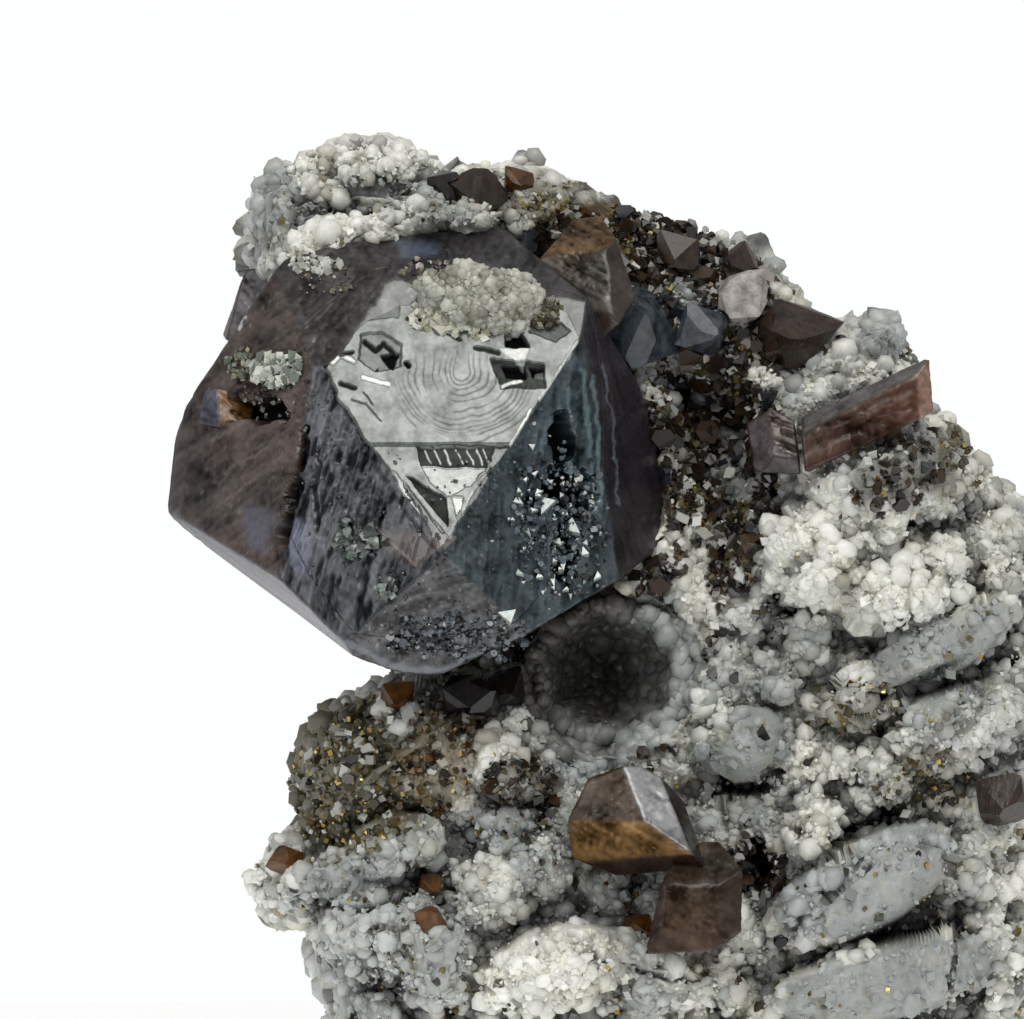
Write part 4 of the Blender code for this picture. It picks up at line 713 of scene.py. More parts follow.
def value_noise(u: Array, v: Array, size: float, salt: float) -> Array:
    """Smooth noise from -1 to 1: random values at the corners of cells, blended smoothly between them."""
    i = np.floor(u / size)
    j = np.floor(v / size)
    s = u / size - i
    t = v / size - j
    s = s * s * (3.0 - 2.0 * s)
    t = t * t * (3.0 - 2.0 * t)
    low = cell_random(i, j, salt) * (1.0 - s) + cell_random(i + 1, j, salt) * s
    high = cell_random(i, j + 1, salt) * (1.0 - s) + cell_random(i + 1, j + 1, salt) * s
    return 2.0 * (low * (1.0 - t) + high * t) - 1.0


def fractal(u: Array, v: Array, size: float, octaves: int, salt: float) -> Array:
    """Noise in octaves, each half as wide and half as strong as the one before."""
    total = 0.0
    strength = 1.0
    for octave in range(octaves):
        total = total + strength * value_noise(u + 17.3 * octave, v - 9.1 * octave, size, salt + octave)
        size /= 2.0
        strength /= 2.0
    return total


def cells_around(u: Array, v: Array, size: float, margin: float, salt: float) -> Iterator[tuple]:
    """The cell of each place and the eight around it, with one random point in each.

    Args:
        u: first coordinate along the surface, mm.
        v: second coordinate along the surface, mm.
        size: width of a cell, mm.
        margin: how far the point keeps from the cell's border, as a share of its width.
        salt: chooses other points.

    Yields:
        The cell's two numbers, and the two distances of the places from its point.
    """
    cell_u = np.floor(u / size)
    cell_v = np.floor(v / size)
    free = 1.0 - 2.0 * margin
    for step_u in (-1, 0, 1):
        for step_v in (-1, 0, 1):
            i = cell_u + step_u
            j = cell_v + step_v
            off_u = u - (i + margin + free * cell_random(i, j, salt + 1)) * size
            off_v = v - (j + margin + free * cell_random(i, j, salt + 2)) * size
            yield i, j, off_u, off_v


def broken_chunks(x: Array, z: Array, size: float, tilt: float, lift: float) -> Array:
    """Height of broken chunks: the highest of the tilted, round-edged faces around each point."""
    height = np.full(np.shape(x), -np.inf)
    for i, j, off_x, off_z in cells_around(x, z, size, 0.1, 0):
        face = lift * (cell_random(i, j, 3) - 0.5)
        face += 2 * tilt * (cell_random(i, j, 4) - 0.5) * off_x
        face += 2 * tilt * (cell_random(i, j, 5) - 0.5) * off_z
        face -= CHUNK_DROP * size * ((off_x ** 2 + off_z ** 2) / size ** 2) ** 2
        height = np.maximum(height, face)
    return height


def druse(u: Array, v: Array, size: float, slope: float, salt: float) -> tuple[Array, Array]:
    """Height of a druse of crystal points, one to a cell.

    Each crystal is a three-sided point: its top, less the slope times the largest of three distances
    measured 120 degrees apart from its middle. The highest crystal shows at each place.

    Args:
        u: first coordinate along the surface, mm.
        v: second coordinate along the surface, mm.
        size: width of a cell, mm.
        slope: fall of a crystal's faces per mm.
        salt: chooses another druse.

    Returns:
        The height in mm, and a random number from 0 to 1 for the crystal that shows.
    """
    height = np.full(np.shape(u), -np.inf)
    pick = np.zeros(np.shape(u))
    for i, j, off_u, off_v in cells_around(u, v, size, 0.12, salt):
        turn = THIRD_TURN * cell_random(i, j, salt + 3)
        cosine = np.cos(turn)
        sine = np.sin(turn)
        ahead = off_u * cosine + off_v * sine
        aside = 0.866 * (off_v * cosine - off_u * sine)
        widest = np.maximum(ahead, np.maximum(-0.5 * ahead + aside, -0.5 * ahead - aside))
        face = size * 0.8 * (cell_random(i, j, salt + 4) - 0.5) - slope * widest
        face += 0.5 * (cell_random(i, j, salt + 5) - 0.5) * (off_u + off_v)
        higher = face > height
        height = np.where(higher, face, height)
        pick = np.where(higher, cell_random(i, j, salt + 6), pick)
    return height, pick


def domes(u: Array, v: Array, size: float, salt: float) -> Array:
    """Height of rounded lumps, one to a cell: a random top, less the square of the distance over the size."""
    height = np.full(np.shape(u), -np.inf)
    for i, j, off_u, off_v in cells_around(u, v, size, 0.15, salt):
        top = 0.5 * size * cell_random(i, j, salt + 3)
        height = np.maximum(height, top - (off_u ** 2 + off_v ** 2) / size)
    return height


def blurred(values: Array, rings: int, sides: int) -> Array:
    """Mean of the values in a window around each place of a skin, which wraps around along its sides."""
    padded = np.pad(values, ((rings, rings), (0, 0)), mode="edge")
    padded = np.pad(padded, ((0, 0), (sides, sides)), mode="wrap")
    total = np.pad(padded.cumsum(axis=0).cumsum(axis=1), ((1, 0), (1, 0)))
    tall = 2 * rings + 1
    wide = 2 * sides + 1
    window = total[tall:, wide:] - total[:-tall, wide:] - total[tall:, :-wide] + total[:-tall, :-wide]
    return window / (tall * wide)


def turned(x: Array, z: Array, degrees: float) -> tuple[Array, Array]:
    """The two coordinates along and across a direction at an angle from the first one."""
    angle = np.radians(degrees)
    return x * np.cos(angle) + z * np.sin(angle), z * np.cos(angle) - x * np.sin(angle)


def ways_around(bend: Array, turn: Array) -> Array:
    """Directions at an angle from +Y, turned about it, both in radians."""
    ahead = np.cos(bend) + 0.0 * turn
    return np.stack((np.sin(bend) * np.cos(turn), ahead, np.sin(bend) * np.sin(turn)), axis=-1)


def turns_around(sides: int) -> Array:
    """Angles in radians, evenly once around."""
    return 2 * np.pi * np.arange(sides) / sides


def section(distance: Array) -> Array:
    """How far the rock's faces stand off its rim, from 1 in the middle to 0 at the outline."""
    return (1.0 - np.minimum(distance, 1.0) ** EDGE_POWER) ** (1.0 / EDGE_POWER)


def arc_around(degrees: Array) -> Array:
    """Distance around the rock's sides from the middle of its foot, mm."""
    return (degrees - 270.0) % 360.0 * np.pi / 180.0 * SIDE_RADIUS


def vug_radius(x: Array, z: Array) -> Array:
    """Distance from the vug's middle, as a share of its half width and half height."""
    return np.hypot((x - VUG_CENTRE[0]) / VUG_RADII[0], (z - VUG_CENTRE[2]) / VUG_RADII[2])


def unit_rows(ways: Array) -> Array:
    """The same directions, each of length 1."""
    return ways / np.linalg.norm(ways, axis=-1, keepdims=True)


def facet_through(normal: Array | tuple, point: Array | tuple) -> Facet:
    """The facet with this normal that passes through the point."""
    normal = unit(normal)
    return Facet(normal, float(normal @ np.asarray(point, dtype=float)))


def depth_on(facet: Facet, x: Array, z: Array) -> Array:
    """Depth of the facet's plane at X and Z."""
    return (facet.reach - facet.normal[0] * x - facet.normal[2] * z) / facet.normal[1]


def point_on(facet: Facet, x: float, z: float) -> Array:
    """The point of the facet that is seen at X, Z from the front."""
    return np.array([x, depth_on(facet, x, z), z])


def facet_beside(neighbour: Facet, start: tuple, end: tuple, turn: float) -> Facet:
    """The facet that shares the neighbour's edge from start to end, turned about that edge."""
    corner = point_on(neighbour, *start)
    edge = unit(point_on(neighbour, *end) - corner)
    angle = np.radians(turn)
    normal = neighbour.normal * np.cos(angle) + np.cross(edge, neighbour.normal) * np.sin(angle)
    return facet_through(normal, corner)


def rim_facet(rim: Rim) -> Facet:
    """The facet whose edge-on view is one side of the outline, clockwise as seen from the front."""
    along = unit((rim.end[0] - rim.start[0], 0.0, rim.end[1] - rim.start[1]))
    outward = np.cross(along, (0.0, 1.0, 0.0))
    lean = np.radians(rim.lean)
    normal = outward * np.cos(lean) + np.array((0.0, np.sin(lean), 0.0))
    return facet_through(normal, (rim.start[0], rim.depth, rim.start[1]))


def habit_facets(habit: Habit) -> dict[str, Facet]:
    """Every facet of a crystal that is given facet by facet, by name."""
    facets = {habit.first_name: facet_through(habit.first_normal, habit.first_point)}
    for item in habit.beside:
        facets[item.name] = facet_beside(facets[item.neighbour], item.start, item.end, item.turn)
    for number, rim in enumerate(habit.rims):
        facets[f"rim_{number}"] = rim_facet(rim)
    for number, (normal, point) in enumerate(habit.back):
        facets[f"back_{number}"] = facet_through(normal, point)
    return facets


def corner_points(facets: list[Facet]) -> Array:
    """Corners of a crystal: where three facets meet behind all the others."""
    normals = np.array([facet.normal for facet in facets])
    reaches = np.array([facet.reach for facet in facets])
    triples = np.array(list(combinations(range(len(facets)), 3)))
    planes = normals[triples]
    crossing = np.abs(np.linalg.det(planes)) > 1e-6
    points = np.linalg.solve(planes[crossing], reaches[triples[crossing]][..., None])[..., 0]
    inside = np.all(points @ normals.T <= reaches + 1e-6, axis=1)
    return points[inside]


GREAT_FACETS = habit_facets(GREAT_HABIT)
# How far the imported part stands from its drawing
SHIFT = np.array(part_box("great_crystal")[0]) / MM - corner_points(list(GREAT_FACETS.values())).min(axis=0)


def segment_distance(x: Array, z: Array, start: tuple, end: tuple) -> Array:
    """Distance of points from a segment."""
    along = np.array(end) - np.array(start)
    share = ((x - start[0]) * along[0] + (z - start[1]) * along[1]) / float(along @ along)
    share = np.clip(share, 0.0, 1.0)
    return np.hypot(x - start[0] - share * along[0], z - start[1] - share * along[1])


def mark_cover(x: Array, z: Array, mark: Mark, softness: float) -> Array:
    """How much of a mark lies over each place, from 0 to 1.

    A stroke covers what is nearer to its line than half its width. An area covers what an even number of
    its edges doesn't part from the far right, softened by the distance from its edges.
    """
    points = list(mark.points)
    if mark.width:
        nearest = np.min([segment_distance(x, z, *pair) for pair in zip(points[:-1], points[1:])], axis=0)
        return 1.0 - smooth_step(nearest, mark.width / 2 - softness, mark.width / 2 + softness)
    inside = np.zeros(np.shape(x), dtype=bool)
    pairs = list(zip(points, points[1:] + points[:1]))
    for (start_x, start_z), (end_x, end_z) in pairs:
        between = (start_z > z) != (end_z > z)
        rise = end_z - start_z if end_z != start_z else 1e-9
        inside ^= between & (x < start_x + (end_x - start_x) * (z - start_z) / rise)
    nearest = np.min([segment_distance(x, z, *pair) for pair in pairs], axis=0)
    signed = np.where(inside, -nearest, nearest)
    return 1.0 - smooth_step(signed, -softness, softness)


@dataclass
class Skin:
    """A closed skin over rings of points, with its colours.

    The rings join side by side, all the way round. They end in a point each, or meet each other where
    there is no such point.
    """

    name: str
    points: Array  # rings, sides, 3
    tint: Array  # rings, sides, 3
    lustre: Array  # rings, sides, 2
    ends: tuple | None = None
    smooth: bool = True

    def faces(self) -> tuple[Array, Array]:
        """Quads between the rings, and triangles around the end points."""
        rings, sides = self.points.shape[:2]
        side = np.arange(sides)
        following = (side + 1) % sides
        near = np.arange(rings if self.ends is None else rings - 1)[:, None]
        far = (near + 1) % rings
        quads = np.stack((near * sides + side, far * sides + side, far * sides + following,
                          near * sides + following), axis=-1).reshape(-1, 4)
        if self.ends is None:
            return quads, np.empty((0, 3), dtype=int)
        first = np.stack((np.full(sides, rings * sides), side, following), axis=-1)
        outer = (rings - 1) * sides
        last = np.stack((np.full(sides, rings * sides + 1), outer + following, outer + side), axis=-1)
        return quads, np.vstack((first, last))

    def build(self) -> bpy.types.Object:
        """Make the object."""
        points = self.points.reshape(-1, 3)
        tint = self.tint.reshape(-1, 3)
        lustre = self.lustre.reshape(-1, 2)
        if self.ends is not None:
            points = np.vstack((points, np.array(self.ends)))
            tint = np.vstack((tint, tint[:1], tint[-1:]))
            lustre = np.vstack((lustre, lustre[:1], lustre[-1:]))
        quads, triangles = self.faces()
        return build_object(self.name, points, quads, triangles, tint, lustre, self.smooth)


def build_object(name: str, points: Array, quads: Array, triangles: Array, tint: Array, lustre: Array,
                 smooth: bool) -> bpy.types.Object:
    """Put a mesh that is given as arrays into an object, with its faces pointing outwards.

    Args:
        name: name of the object.
        points: the points on the drawing, mm.
        quads: four-sided faces.
        triangles: three-sided faces.
        tint: linear colour of each point.
        lustre: roughness of each point, and how much it reflects, 0.5 for a clean face.
        smooth: whether the faces are shaded as one smooth skin.

    Returns:
        The object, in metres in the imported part's place.
    """
    middle = points.mean(axis=0)
    local = points - middle
    halves = np.vstack((quads[:, :3], quads[:, [0, 2, 3]], triangles))
    corners = local[halves]
    volume = np.einsum("ij,ij->i", corners[:, 0], np.cross(corners[:, 1], corners[:, 2])).sum()
    if volume < 0.0:
        quads = quads[:, ::-1]
        triangles = triangles[:, ::-1]
    mesh = bpy.data.meshes.new(name)
    loops = np.concatenate((quads.ravel(), triangles.ravel())).astype(np.int32)
    starts = np.concatenate((np.arange(len(quads)) * 4, len(quads) * 4 + np.arange(len(triangles)) * 3))
    mesh.vertices.add(len(points))
    mesh.vertices.foreach_set("co", ((points + SHIFT) * MM).astype(np.float32).ravel())
    mesh.loops.add(len(loops))
    mesh.loops.foreach_set("vertex_index", loops)
    mesh.polygons.add(len(starts))
    mesh.polygons.foreach_set("loop_start", starts.astype(np.int32))
    mesh.update(calc_edges=True)
    mesh.polygons.foreach_set("use_smooth", np.full(len(starts), smooth))
    colours = np.ones((len(points), 4), dtype=np.float32)
    colours[:, :3] = np.clip(tint, 0.0, 1.0)
    mesh.attributes.new("tint", "FLOAT_COLOR", "POINT").data.foreach_set("color", colours.ravel())
    for column, layer in enumerate(("gloss", "shine")):
        values = lustre[:, column].astype(np.float32)
        mesh.attributes.new(layer, "FLOAT", "POINT").data.foreach_set("value", values)
    obj = bpy.data.objects.new(name, mesh)
    bpy.context.scene.collection.objects.link(obj)
    return obj


def build_bodies(name: str, points: Array, faces: Array, tint: Array, lustre: Array,
                 smooth: bool) -> bpy.types.Object:
    """Build many small bodies with the same faces as one object: their points are bodies by corners by 3."""
    count, corners = points.shape[:2]
    triangles = (faces[None] + (np.arange(count) * corners)[:, None, None]).reshape(-1, 3)
    no_quads = np.empty((0, 4), dtype=int)
    return build_object(name, points.reshape(-1, 3), no_quads, triangles, tint, lustre, smooth)


def add_node(tree: bpy.types.NodeTree, kind: str, inputs: dict | None = None, **settings) -> bpy.types.Node:
    """Add a node, with its settings and with its inputs set or linked.

    Args:
        tree: the tree that it goes into.
        kind: its type.
        inputs: for each input's name or number, a value, or the socket that it is linked from.
        **settings: the node's own properties.

    Returns:
        The new node.
    """
    node = tree.nodes.new(kind)
    for name, value in settings.items():
        setattr(node, name, value)
    for name, value in (inputs or {}).items():
        if isinstance(value, bpy.types.NodeSocket):
            tree.links.new(value, node.inputs[name])
        else:
            node.inputs[name].default_value = value
    return node


def new_material(name: str) -> tuple[bpy.types.Material, bpy.types.NodeTree, bpy.types.Node]:
    """A new material, its nodes and its shader."""
    material = bpy.data.materials.new(name)
    material.use_nodes = True
    return material, material.node_tree, material.node_tree.nodes["Principled BSDF"]


@dataclass(frozen=True)
class MineralFinish:
    """A mineral surface whose colour and roughness are painted on its points.

    Noise of a fine scale varies the colour, and a finer one roughens the surface.
    """

    name: str
    ior: float
    metallic: float = 0.0
    grain: float = 0.5  # size of the fine mottling, mm
    grain_share: float = 0.25  # how strongly the mottling changes the colour
    relief: float = 0.02  # height of the fine relief, mm
    relief_size: float = 0.2
    shine: float = 0.5  # how much it reflects as a whole, where the painted value isn't read
    subsurface: float = 0.0
    subsurface_reach: float = 0.4  # how far light spreads inside, mm

    def make(self) -> bpy.types.Material:
        """Make the material."""
        material, tree, shader = new_material(self.name)
        place = add_node(tree, "ShaderNodeTexCoord").outputs["Object"]
        tint = add_node(tree, "ShaderNodeAttribute", attribute_name="tint").outputs["Color"]
        gloss = add_node(tree, "ShaderNodeAttribute", attribute_name="gloss").outputs["Fac"]
        shine = add_node(tree, "ShaderNodeAttribute", attribute_name="shine").outputs["Fac"]
        mottle = add_node(tree, "ShaderNodeTexNoise", {"Vector": place, "Scale": 1.0 / (self.grain * MM),
                                                       "Detail": 3.0, "Roughness": 0.6})
        share = add_node(tree, "ShaderNodeMapRange", {"Value": mottle.outputs["Fac"], "From Min": 0.3,
                                                      "From Max": 0.7, "To Min": 1.0 - self.grain_share,
                                                      "To Max": 1.0 + self.grain_share})
        colour = add_node(tree, "ShaderNodeVectorMath", {0: tint, 3: share.outputs["Result"]},
                          operation="SCALE")
        relief = add_node(tree, "ShaderNodeTexNoise", {"Vector": place, "Detail": 2.0,
                                                       "Scale": 1.0 / (self.relief_size * MM)})
        bump = add_node(tree, "ShaderNodeBump", {"Height": relief.outputs["Fac"], "Strength": 1.0,
                                                 "Distance": self.relief * MM})
        tree.links.new(colour.outputs[0], shader.inputs["Base Color"])
        tree.links.new(gloss, shader.inputs["Roughness"])
        shader.inputs["Specular IOR Level"].default_value = self.shine
        tree.links.new(shine, shader.inputs["Specular IOR Level"])
        tree.links.new(bump.outputs["Normal"], shader.inputs["Normal"])
        shader.inputs["IOR"].default_value = self.ior
        shader.inputs["Metallic"].default_value = self.metallic
        if self.subsurface:
            shader.inputs["Subsurface Weight"].default_value = self.subsurface
            shader.inputs["Subsurface Scale"].default_value = self.subsurface_reach * MM
            shader.inputs["Subsurface Radius"].default_value = (1.0, 0.95, 0.85)
        return material


# Iron-rich sphalerite: opaque, black, with an adamantine to submetallic lustre on its growth faces
BLACK_SPHALERITE = MineralFinish("sphalerite_black_growth_faces", SPHALERITE_IOR, grain=0.35,
                                 grain_share=0.35, relief=0.006, relief_size=0.25, shine=0.22)
# Iron-poorer sphalerite: brown, resinous, a little light gets into its edges
BROWN_SPHALERITE = MineralFinish("sphalerite_brown_resinous", SPHALERITE_IOR, grain=0.5,
                                 grain_share=0.3, relief=0.008, relief_size=0.25, shine=0.16)
# Drusy dolomite: white sugary crystals, pearly, light spreads between them
DRUSY_DOLOMITE = MineralFinish("dolomite_sugary_druse", DOLOMITE_IOR, grain=0.45, grain_share=0.10,
                               relief=0.03, relief_size=0.16, subsurface=0.22)
# Pyrite: brassy metal cubes with bright faces
PYRITE = MineralFinish("pyrite_brassy_cubes", 1.45, metallic=0.9, grain=0.3, grain_share=0.25,
                       relief=0.004, relief_size=0.1)


@dataclass(frozen=True)
class SolidFinish:
    """The finish of a small crystal that is shown as the plain solid: streaked, mottled sphalerite."""

    name: str
    dark_hex: str
    light_hex: str
    roughness: float = 0.25
    streak: float = 0.35  # width of a growth streak, mm

    def make(self) -> bpy.types.Material:
        """Make the material."""
        material, tree, shader = new_material(self.name)
        place = add_node(tree, "ShaderNodeTexCoord").outputs["Object"]
        mottle = add_node(tree, "ShaderNodeTexNoise", {"Vector": place, "Scale": 1.0 / (1.1 * MM),
                                                       "Detail": 4.0, "Roughness": 0.65})
        ramp = add_node(tree, "ShaderNodeValToRGB", {"Fac": mottle.outputs["Fac"]})
        ramp.color_ramp.elements[0].position = 0.35
        ramp.color_ramp.elements[1].position = 0.68
        ramp.color_ramp.elements[0].color = (*linear(self.dark_hex), 1.0)
        ramp.color_ramp.elements[1].color = (*linear(self.light_hex), 1.0)
        stretched = add_node(tree, "ShaderNodeMapping", {"Vector": place, "Rotation": (0.4, 0.5, 0.2),
                                                         "Scale": (1.0, 1.0, 0.12)})
        streaks = add_node(tree, "ShaderNodeTexNoise", {"Vector": stretched.outputs["Vector"],
                                                        "Scale": 1.0 / (self.streak * MM), "Detail": 3.0})
        bump = add_node(tree, "ShaderNodeBump", {"Height": streaks.outputs["Fac"], "Strength": 1.0,
                                                 "Distance": 0.05 * MM})
        rough = add_node(tree, "ShaderNodeMapRange", {"Value": mottle.outputs["Fac"],
                                                      "To Min": self.roughness - 0.12,
                                                      "To Max": self.roughness + 0.16})
        tree.links.new(ramp.outputs["Color"], shader.inputs["Base Color"])
        tree.links.new(rough.outputs["Result"], shader.inputs["Roughness"])
        tree.links.new(bump.outputs["Normal"], shader.inputs["Normal"])
        shader.inputs["IOR"].default_value = SPHALERITE_IOR
        shader.inputs["Specular IOR Level"].default_value = 0.14
        return material


def place_piece(obj: bpy.types.Object, material: bpy.types.Material, slot: str, *nodes: str) -> None:
    """Give a piece its material and its body, and hide the solids that it stands for."""
    obj.data.materials.append(material)
    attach(obj, "root")
    if nodes:
        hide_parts(*nodes)
    LOG.info("%s: %d faces", obj.name, len(obj.data.polygons))


@dataclass
class Rock:
    """The matrix: a rock with a drusy front, seen as rings of points around a middle."""

    chunk: float = 6.0  # width of its broken chunks, mm

    def grounds(self, x: Array, z: Array) -> Array:
        """Share of each ground at each place of the front, with ragged borders.

        Each patch covers what lies within its ellipse, whose radius is changed by noise.
        """
        kinds = list(Ground)
        shares = np.zeros((len(kinds),) + np.shape(x))
        mixed = smooth_step(fractal(x, z, 5.0, 3, 31), -0.9, 0.4)
        shares[kinds.index(Ground.WHITE)] = mixed
        shares[kinds.index(Ground.GREY)] = 1.0 - mixed
        ragged = 0.30 * fractal(x, z, 2.6, 4, 41)
        for patch in ROCK_PATCHES:
            along, across = turned(x - patch.x, z - patch.z, patch.turn)
            radius = np.hypot(along / patch.w, across / patch.h) + ragged
            cover = patch.share * (1.0 - smooth_step(radius, 0.85, 1.2))
            shares *= 1.0 - cover
            shares[kinds.index(patch.ground)] += cover
        cover = self.laid_over(x, z, ROCK_SLABS)[0]
        shares *= 1.0 - cover
        shares[kinds.index(Ground.SLAB)] += cover
        return shares

    def laid_over(self, x: Array, z: Array, marks: list, softness: float = 0.13) -> tuple[Array, Array]:
        """How much of the slabs or cracks lies over each place, and their rise, with ragged edges."""
        ragged_x = x + 0.16 * fractal(x, z, 1.3, 3, 141)
        ragged_z = z + 0.16 * fractal(x, z, 1.3, 3, 147)
        cover = np.zeros(np.shape(x))
        rise = np.zeros(np.shape(x))
        for mark in marks:
            over = mark_cover(ragged_x, ragged_z, mark, softness)
            cover = np.maximum(cover, abs(mark.tone) * over)
            rise = rise + mark.rise * over
        return cover, rise

    def front(self, x: Array, z: Array) -> Array:
        """Depth of the front face, before it turns into the outline and before its druse."""
        depth = FRONT_DEPTHS[0] + (FRONT_DEPTHS[1] - FRONT_DEPTHS[0]) * z / SPECIMEN_HEIGHT
        for feature in ROCK_FEATURES:
            along, across = turned(x - feature.x, z - feature.z, feature.turn)
            radius = np.sqrt((along / feature.w) ** 2 + (across / feature.h) ** 2)
            face = feature.y + feature.fall * np.minimum(radius, 3.0) ** feature.power
            depth = np.maximum(depth, face) if feature.hollow else np.minimum(depth, face)
        cover, rise = self.laid_over(x, z, ROCK_SLABS, 0.22)
        depth = depth - (1.0 - 0.6 * cover) * broken_chunks(x, z, self.chunk, 0.30, 1.8) - 0.6 * rise
        radius = vug_radius(x, z)
        vug = VUG_CENTRE[1] + VUG_RADII[1] * np.sqrt(np.maximum(1.0 - radius ** 2, 0.0))
        return np.where(radius < 1.0, np.maximum(depth, vug), depth)

    def back(self, x: Array, z: Array) -> Array:
        """Depth of the back face, before it turns into the outline."""
        depth = BACK_DEPTHS[0] + (BACK_DEPTHS[1] - BACK_DEPTHS[0]) * z / SPECIMEN_HEIGHT
        return depth + broken_chunks(x + 50.0, z, 12.0, 0.25, 3.0)

    def outline_radius(self, angles: Array) -> Array:
        """Distance from the middle to the outline, in each direction in degrees."""
        points = np.array(OUTLINE) - ROCK_CENTRE
        corner_angles = np.degrees(np.arctan2(points[:, 1], points[:, 0])) % 360.0
        order = np.argsort(corner_angles)
        radii = np.hypot(points[:, 0], points[:, 1])
        return np.interp(angles, corner_angles[order], radii[order], period=360.0)

    def base_points(self, distance: Array, angles: Array, front: bool) -> Array:
        """Points of the rock without its druse.

        Args:
            distance: share of the way out to the outline, for each ring.
            angles: direction of each side, degrees.
            front: whether they lie on the front or on the back.

        Returns:
            The points, rings by sides.
        """
        radius = self.outline_radius(angles)
        distance = distance[:, None]
        x = ROCK_CENTRE[0] + distance * radius * np.cos(np.radians(angles))
        z = ROCK_CENTRE[1] + distance * radius * np.sin(np.radians(angles))
        relief = self.front(x, z) if front else self.back(x, z)
        y = RIM_DEPTH + section(distance) * (relief - RIM_DEPTH)
        side = broken_chunks(np.broadcast_to(arc_around(angles), y.shape), y, 11.0, 0.30, 2.2)
        inward = 1.0 + distance ** 6 * np.minimum(side - SIDE_CHUNK_KEEP, 0.0) / radius
        x = ROCK_CENTRE[0] + (x - ROCK_CENTRE[0]) * inward
        z = ROCK_CENTRE[1] + (z - ROCK_CENTRE[1]) * inward
        return np.stack((x, y, z), axis=-1)

    def ring_shares(self, start: float, end: float, count: int, depth: float) -> Array:
        """Shares of the way out, from start to end, that lie evenly along the rock's section."""
        fine = 1.0 - np.linspace((1.0 - start) ** (1 / 3), (1.0 - end) ** (1 / 3), 4000) ** 3
        steps = np.hypot(np.diff(fine) * SIDE_RADIUS, np.diff(section(fine)) * depth)
        length = np.concatenate(([0.0], np.cumsum(steps)))
        return np.interp(np.linspace(0.0, length[-1], count), length, fine)

    def relief(self, u: Array, v: Array, shares: Array, cracks: tuple) -> tuple[Array, Array, Array]:
        """Height of the druse over the bare rock, and how its crystals vary.

        Rounded lumps carry crystal points of two sizes, stronger or weaker by the ground, over broken chunks.

        Args:
            u: first coordinate along the surface, mm.
            v: second coordinate along the surface, mm.
            shares: share of each ground.
            cracks: cover and rise of the cracks.

        Returns:
            The height in mm, and a random number from 0 to 1 for the large and the small crystal that shows.
        """
        kinds = list(Ground)
        strength = sum(share * kind.roughness for share, kind in zip(shares, kinds))
        lump = sum(share * kind.lump for share, kind in zip(shares, kinds))
        coarse, pick = druse(u, v, 1.05, 0.8, 3.0)
        small, small_pick = druse(u + 5.0, v, 0.52, 0.8, 13.0)
        warp = 0.5 * fractal(u, v, 2.0, 2, 173)
        swelling = domes(u + warp, v - warp, 2.6, 171.0) - 0.7
        blocks = broken_chunks(u + 9.0, v, 2.4, 0.5, 0.9)
        slab = shares[kinds.index(Ground.SLAB)]
        height = strength * (coarse + 0.6 * small) + 0.85 * lump * swelling
        height = height + (0.4 - 0.34 * slab) * blocks + 0.10 * fractal(u, v, 0.8, 3, 21) + cracks[1]
        return height, pick, small_pick

    def paint(self, x: Array, z: Array, shares: Array) -> Array:
        """Linear colour of the grounds, blotched with grey and specked with ochre."""
        kinds = list(Ground)
        colours = np.array([linear(kind.hex_colour) for kind in kinds])
        tint = np.tensordot(np.moveaxis(shares, 0, -1), colours, axes=1)
        pale = shares[kinds.index(Ground.WHITE)] + 0.6 * shares[kinds.index(Ground.GREY)]
        layers = (
            (0.7 * pale * smooth_step(fractal(x, z, 3.6, 4, 151), -0.1, 0.9), "#8B9190"),
            (0.5 * pale * smooth_step(fractal(x, z, 1.9, 3, 155), 0.3, 1.1), "#A59C84"),
            (0.6 * smooth_step(fractal(x, z, 1.4, 3, 158), 0.55, 1.1), "#62635C"),
            (0.6 * smooth_step(fractal(x, z, 0.9, 3, 161), 0.8, 1.2), "#6B6248"),
        )
        for share, hex_colour in layers:
            tint = tint + share[..., None] * (linear(hex_colour) - tint)
        return tint

    def dressed(self, points: Array, wrap_angles: Array, distance: Array, front: bool) -> tuple:
        """Give the rock's points their druse and their colours.

        The druse stands out along the normals of the bare rock and is laid over the sides by arc length and
        depth. Places that lie deeper than those around them, and the cracks, are painted darker and reflect
        less, as painted shade.
        """
        along = np.gradient(points, axis=0)
        around = np.roll(points, -1, axis=1) - np.roll(points, 1, axis=1)
        normal = np.cross(along, around)
        normal /= np.maximum(np.linalg.norm(normal, axis=-1, keepdims=True), 1e-9)
        facing = -1.0 if front else 1.0
        flip = np.sign(normal[..., 1] * facing + 1e-6)
        off_x = points[..., 0] - ROCK_CENTRE[0]
        off_z = points[..., 2] - ROCK_CENTRE[1]
        sideways = np.einsum("ijk,ijk->ij", normal, np.stack((off_x, 0.0 * flip, off_z), axis=-1))
        flip = np.where(np.abs(normal[..., 1]) > 0.25, flip, np.sign(sideways + 1e-6))
        normal *= flip[..., None]
        at_side = smooth_step(np.broadcast_to(distance[:, None], flip.shape), 0.93, 0.985)
        arc = np.broadcast_to(arc_around(wrap_angles), flip.shape)
        x = points[..., 0]
        z = points[..., 2]
        u = x * (1.0 - at_side) + at_side * arc
        v = z * (1.0 - at_side) + at_side * points[..., 1]
        shares = self.grounds(x, z)
        cracks = self.laid_over(x, z, ROCK_CRACKS) if front else (np.zeros(x.shape), np.zeros(x.shape))
        height, pick, small_pick = self.relief(u, v, shares, cracks)
        steep = 1.0 - smooth_step(np.abs(normal[..., 1]), 0.1, 0.5)
        height = height * (1.0 - 0.85 * steep * (1.0 - at_side))
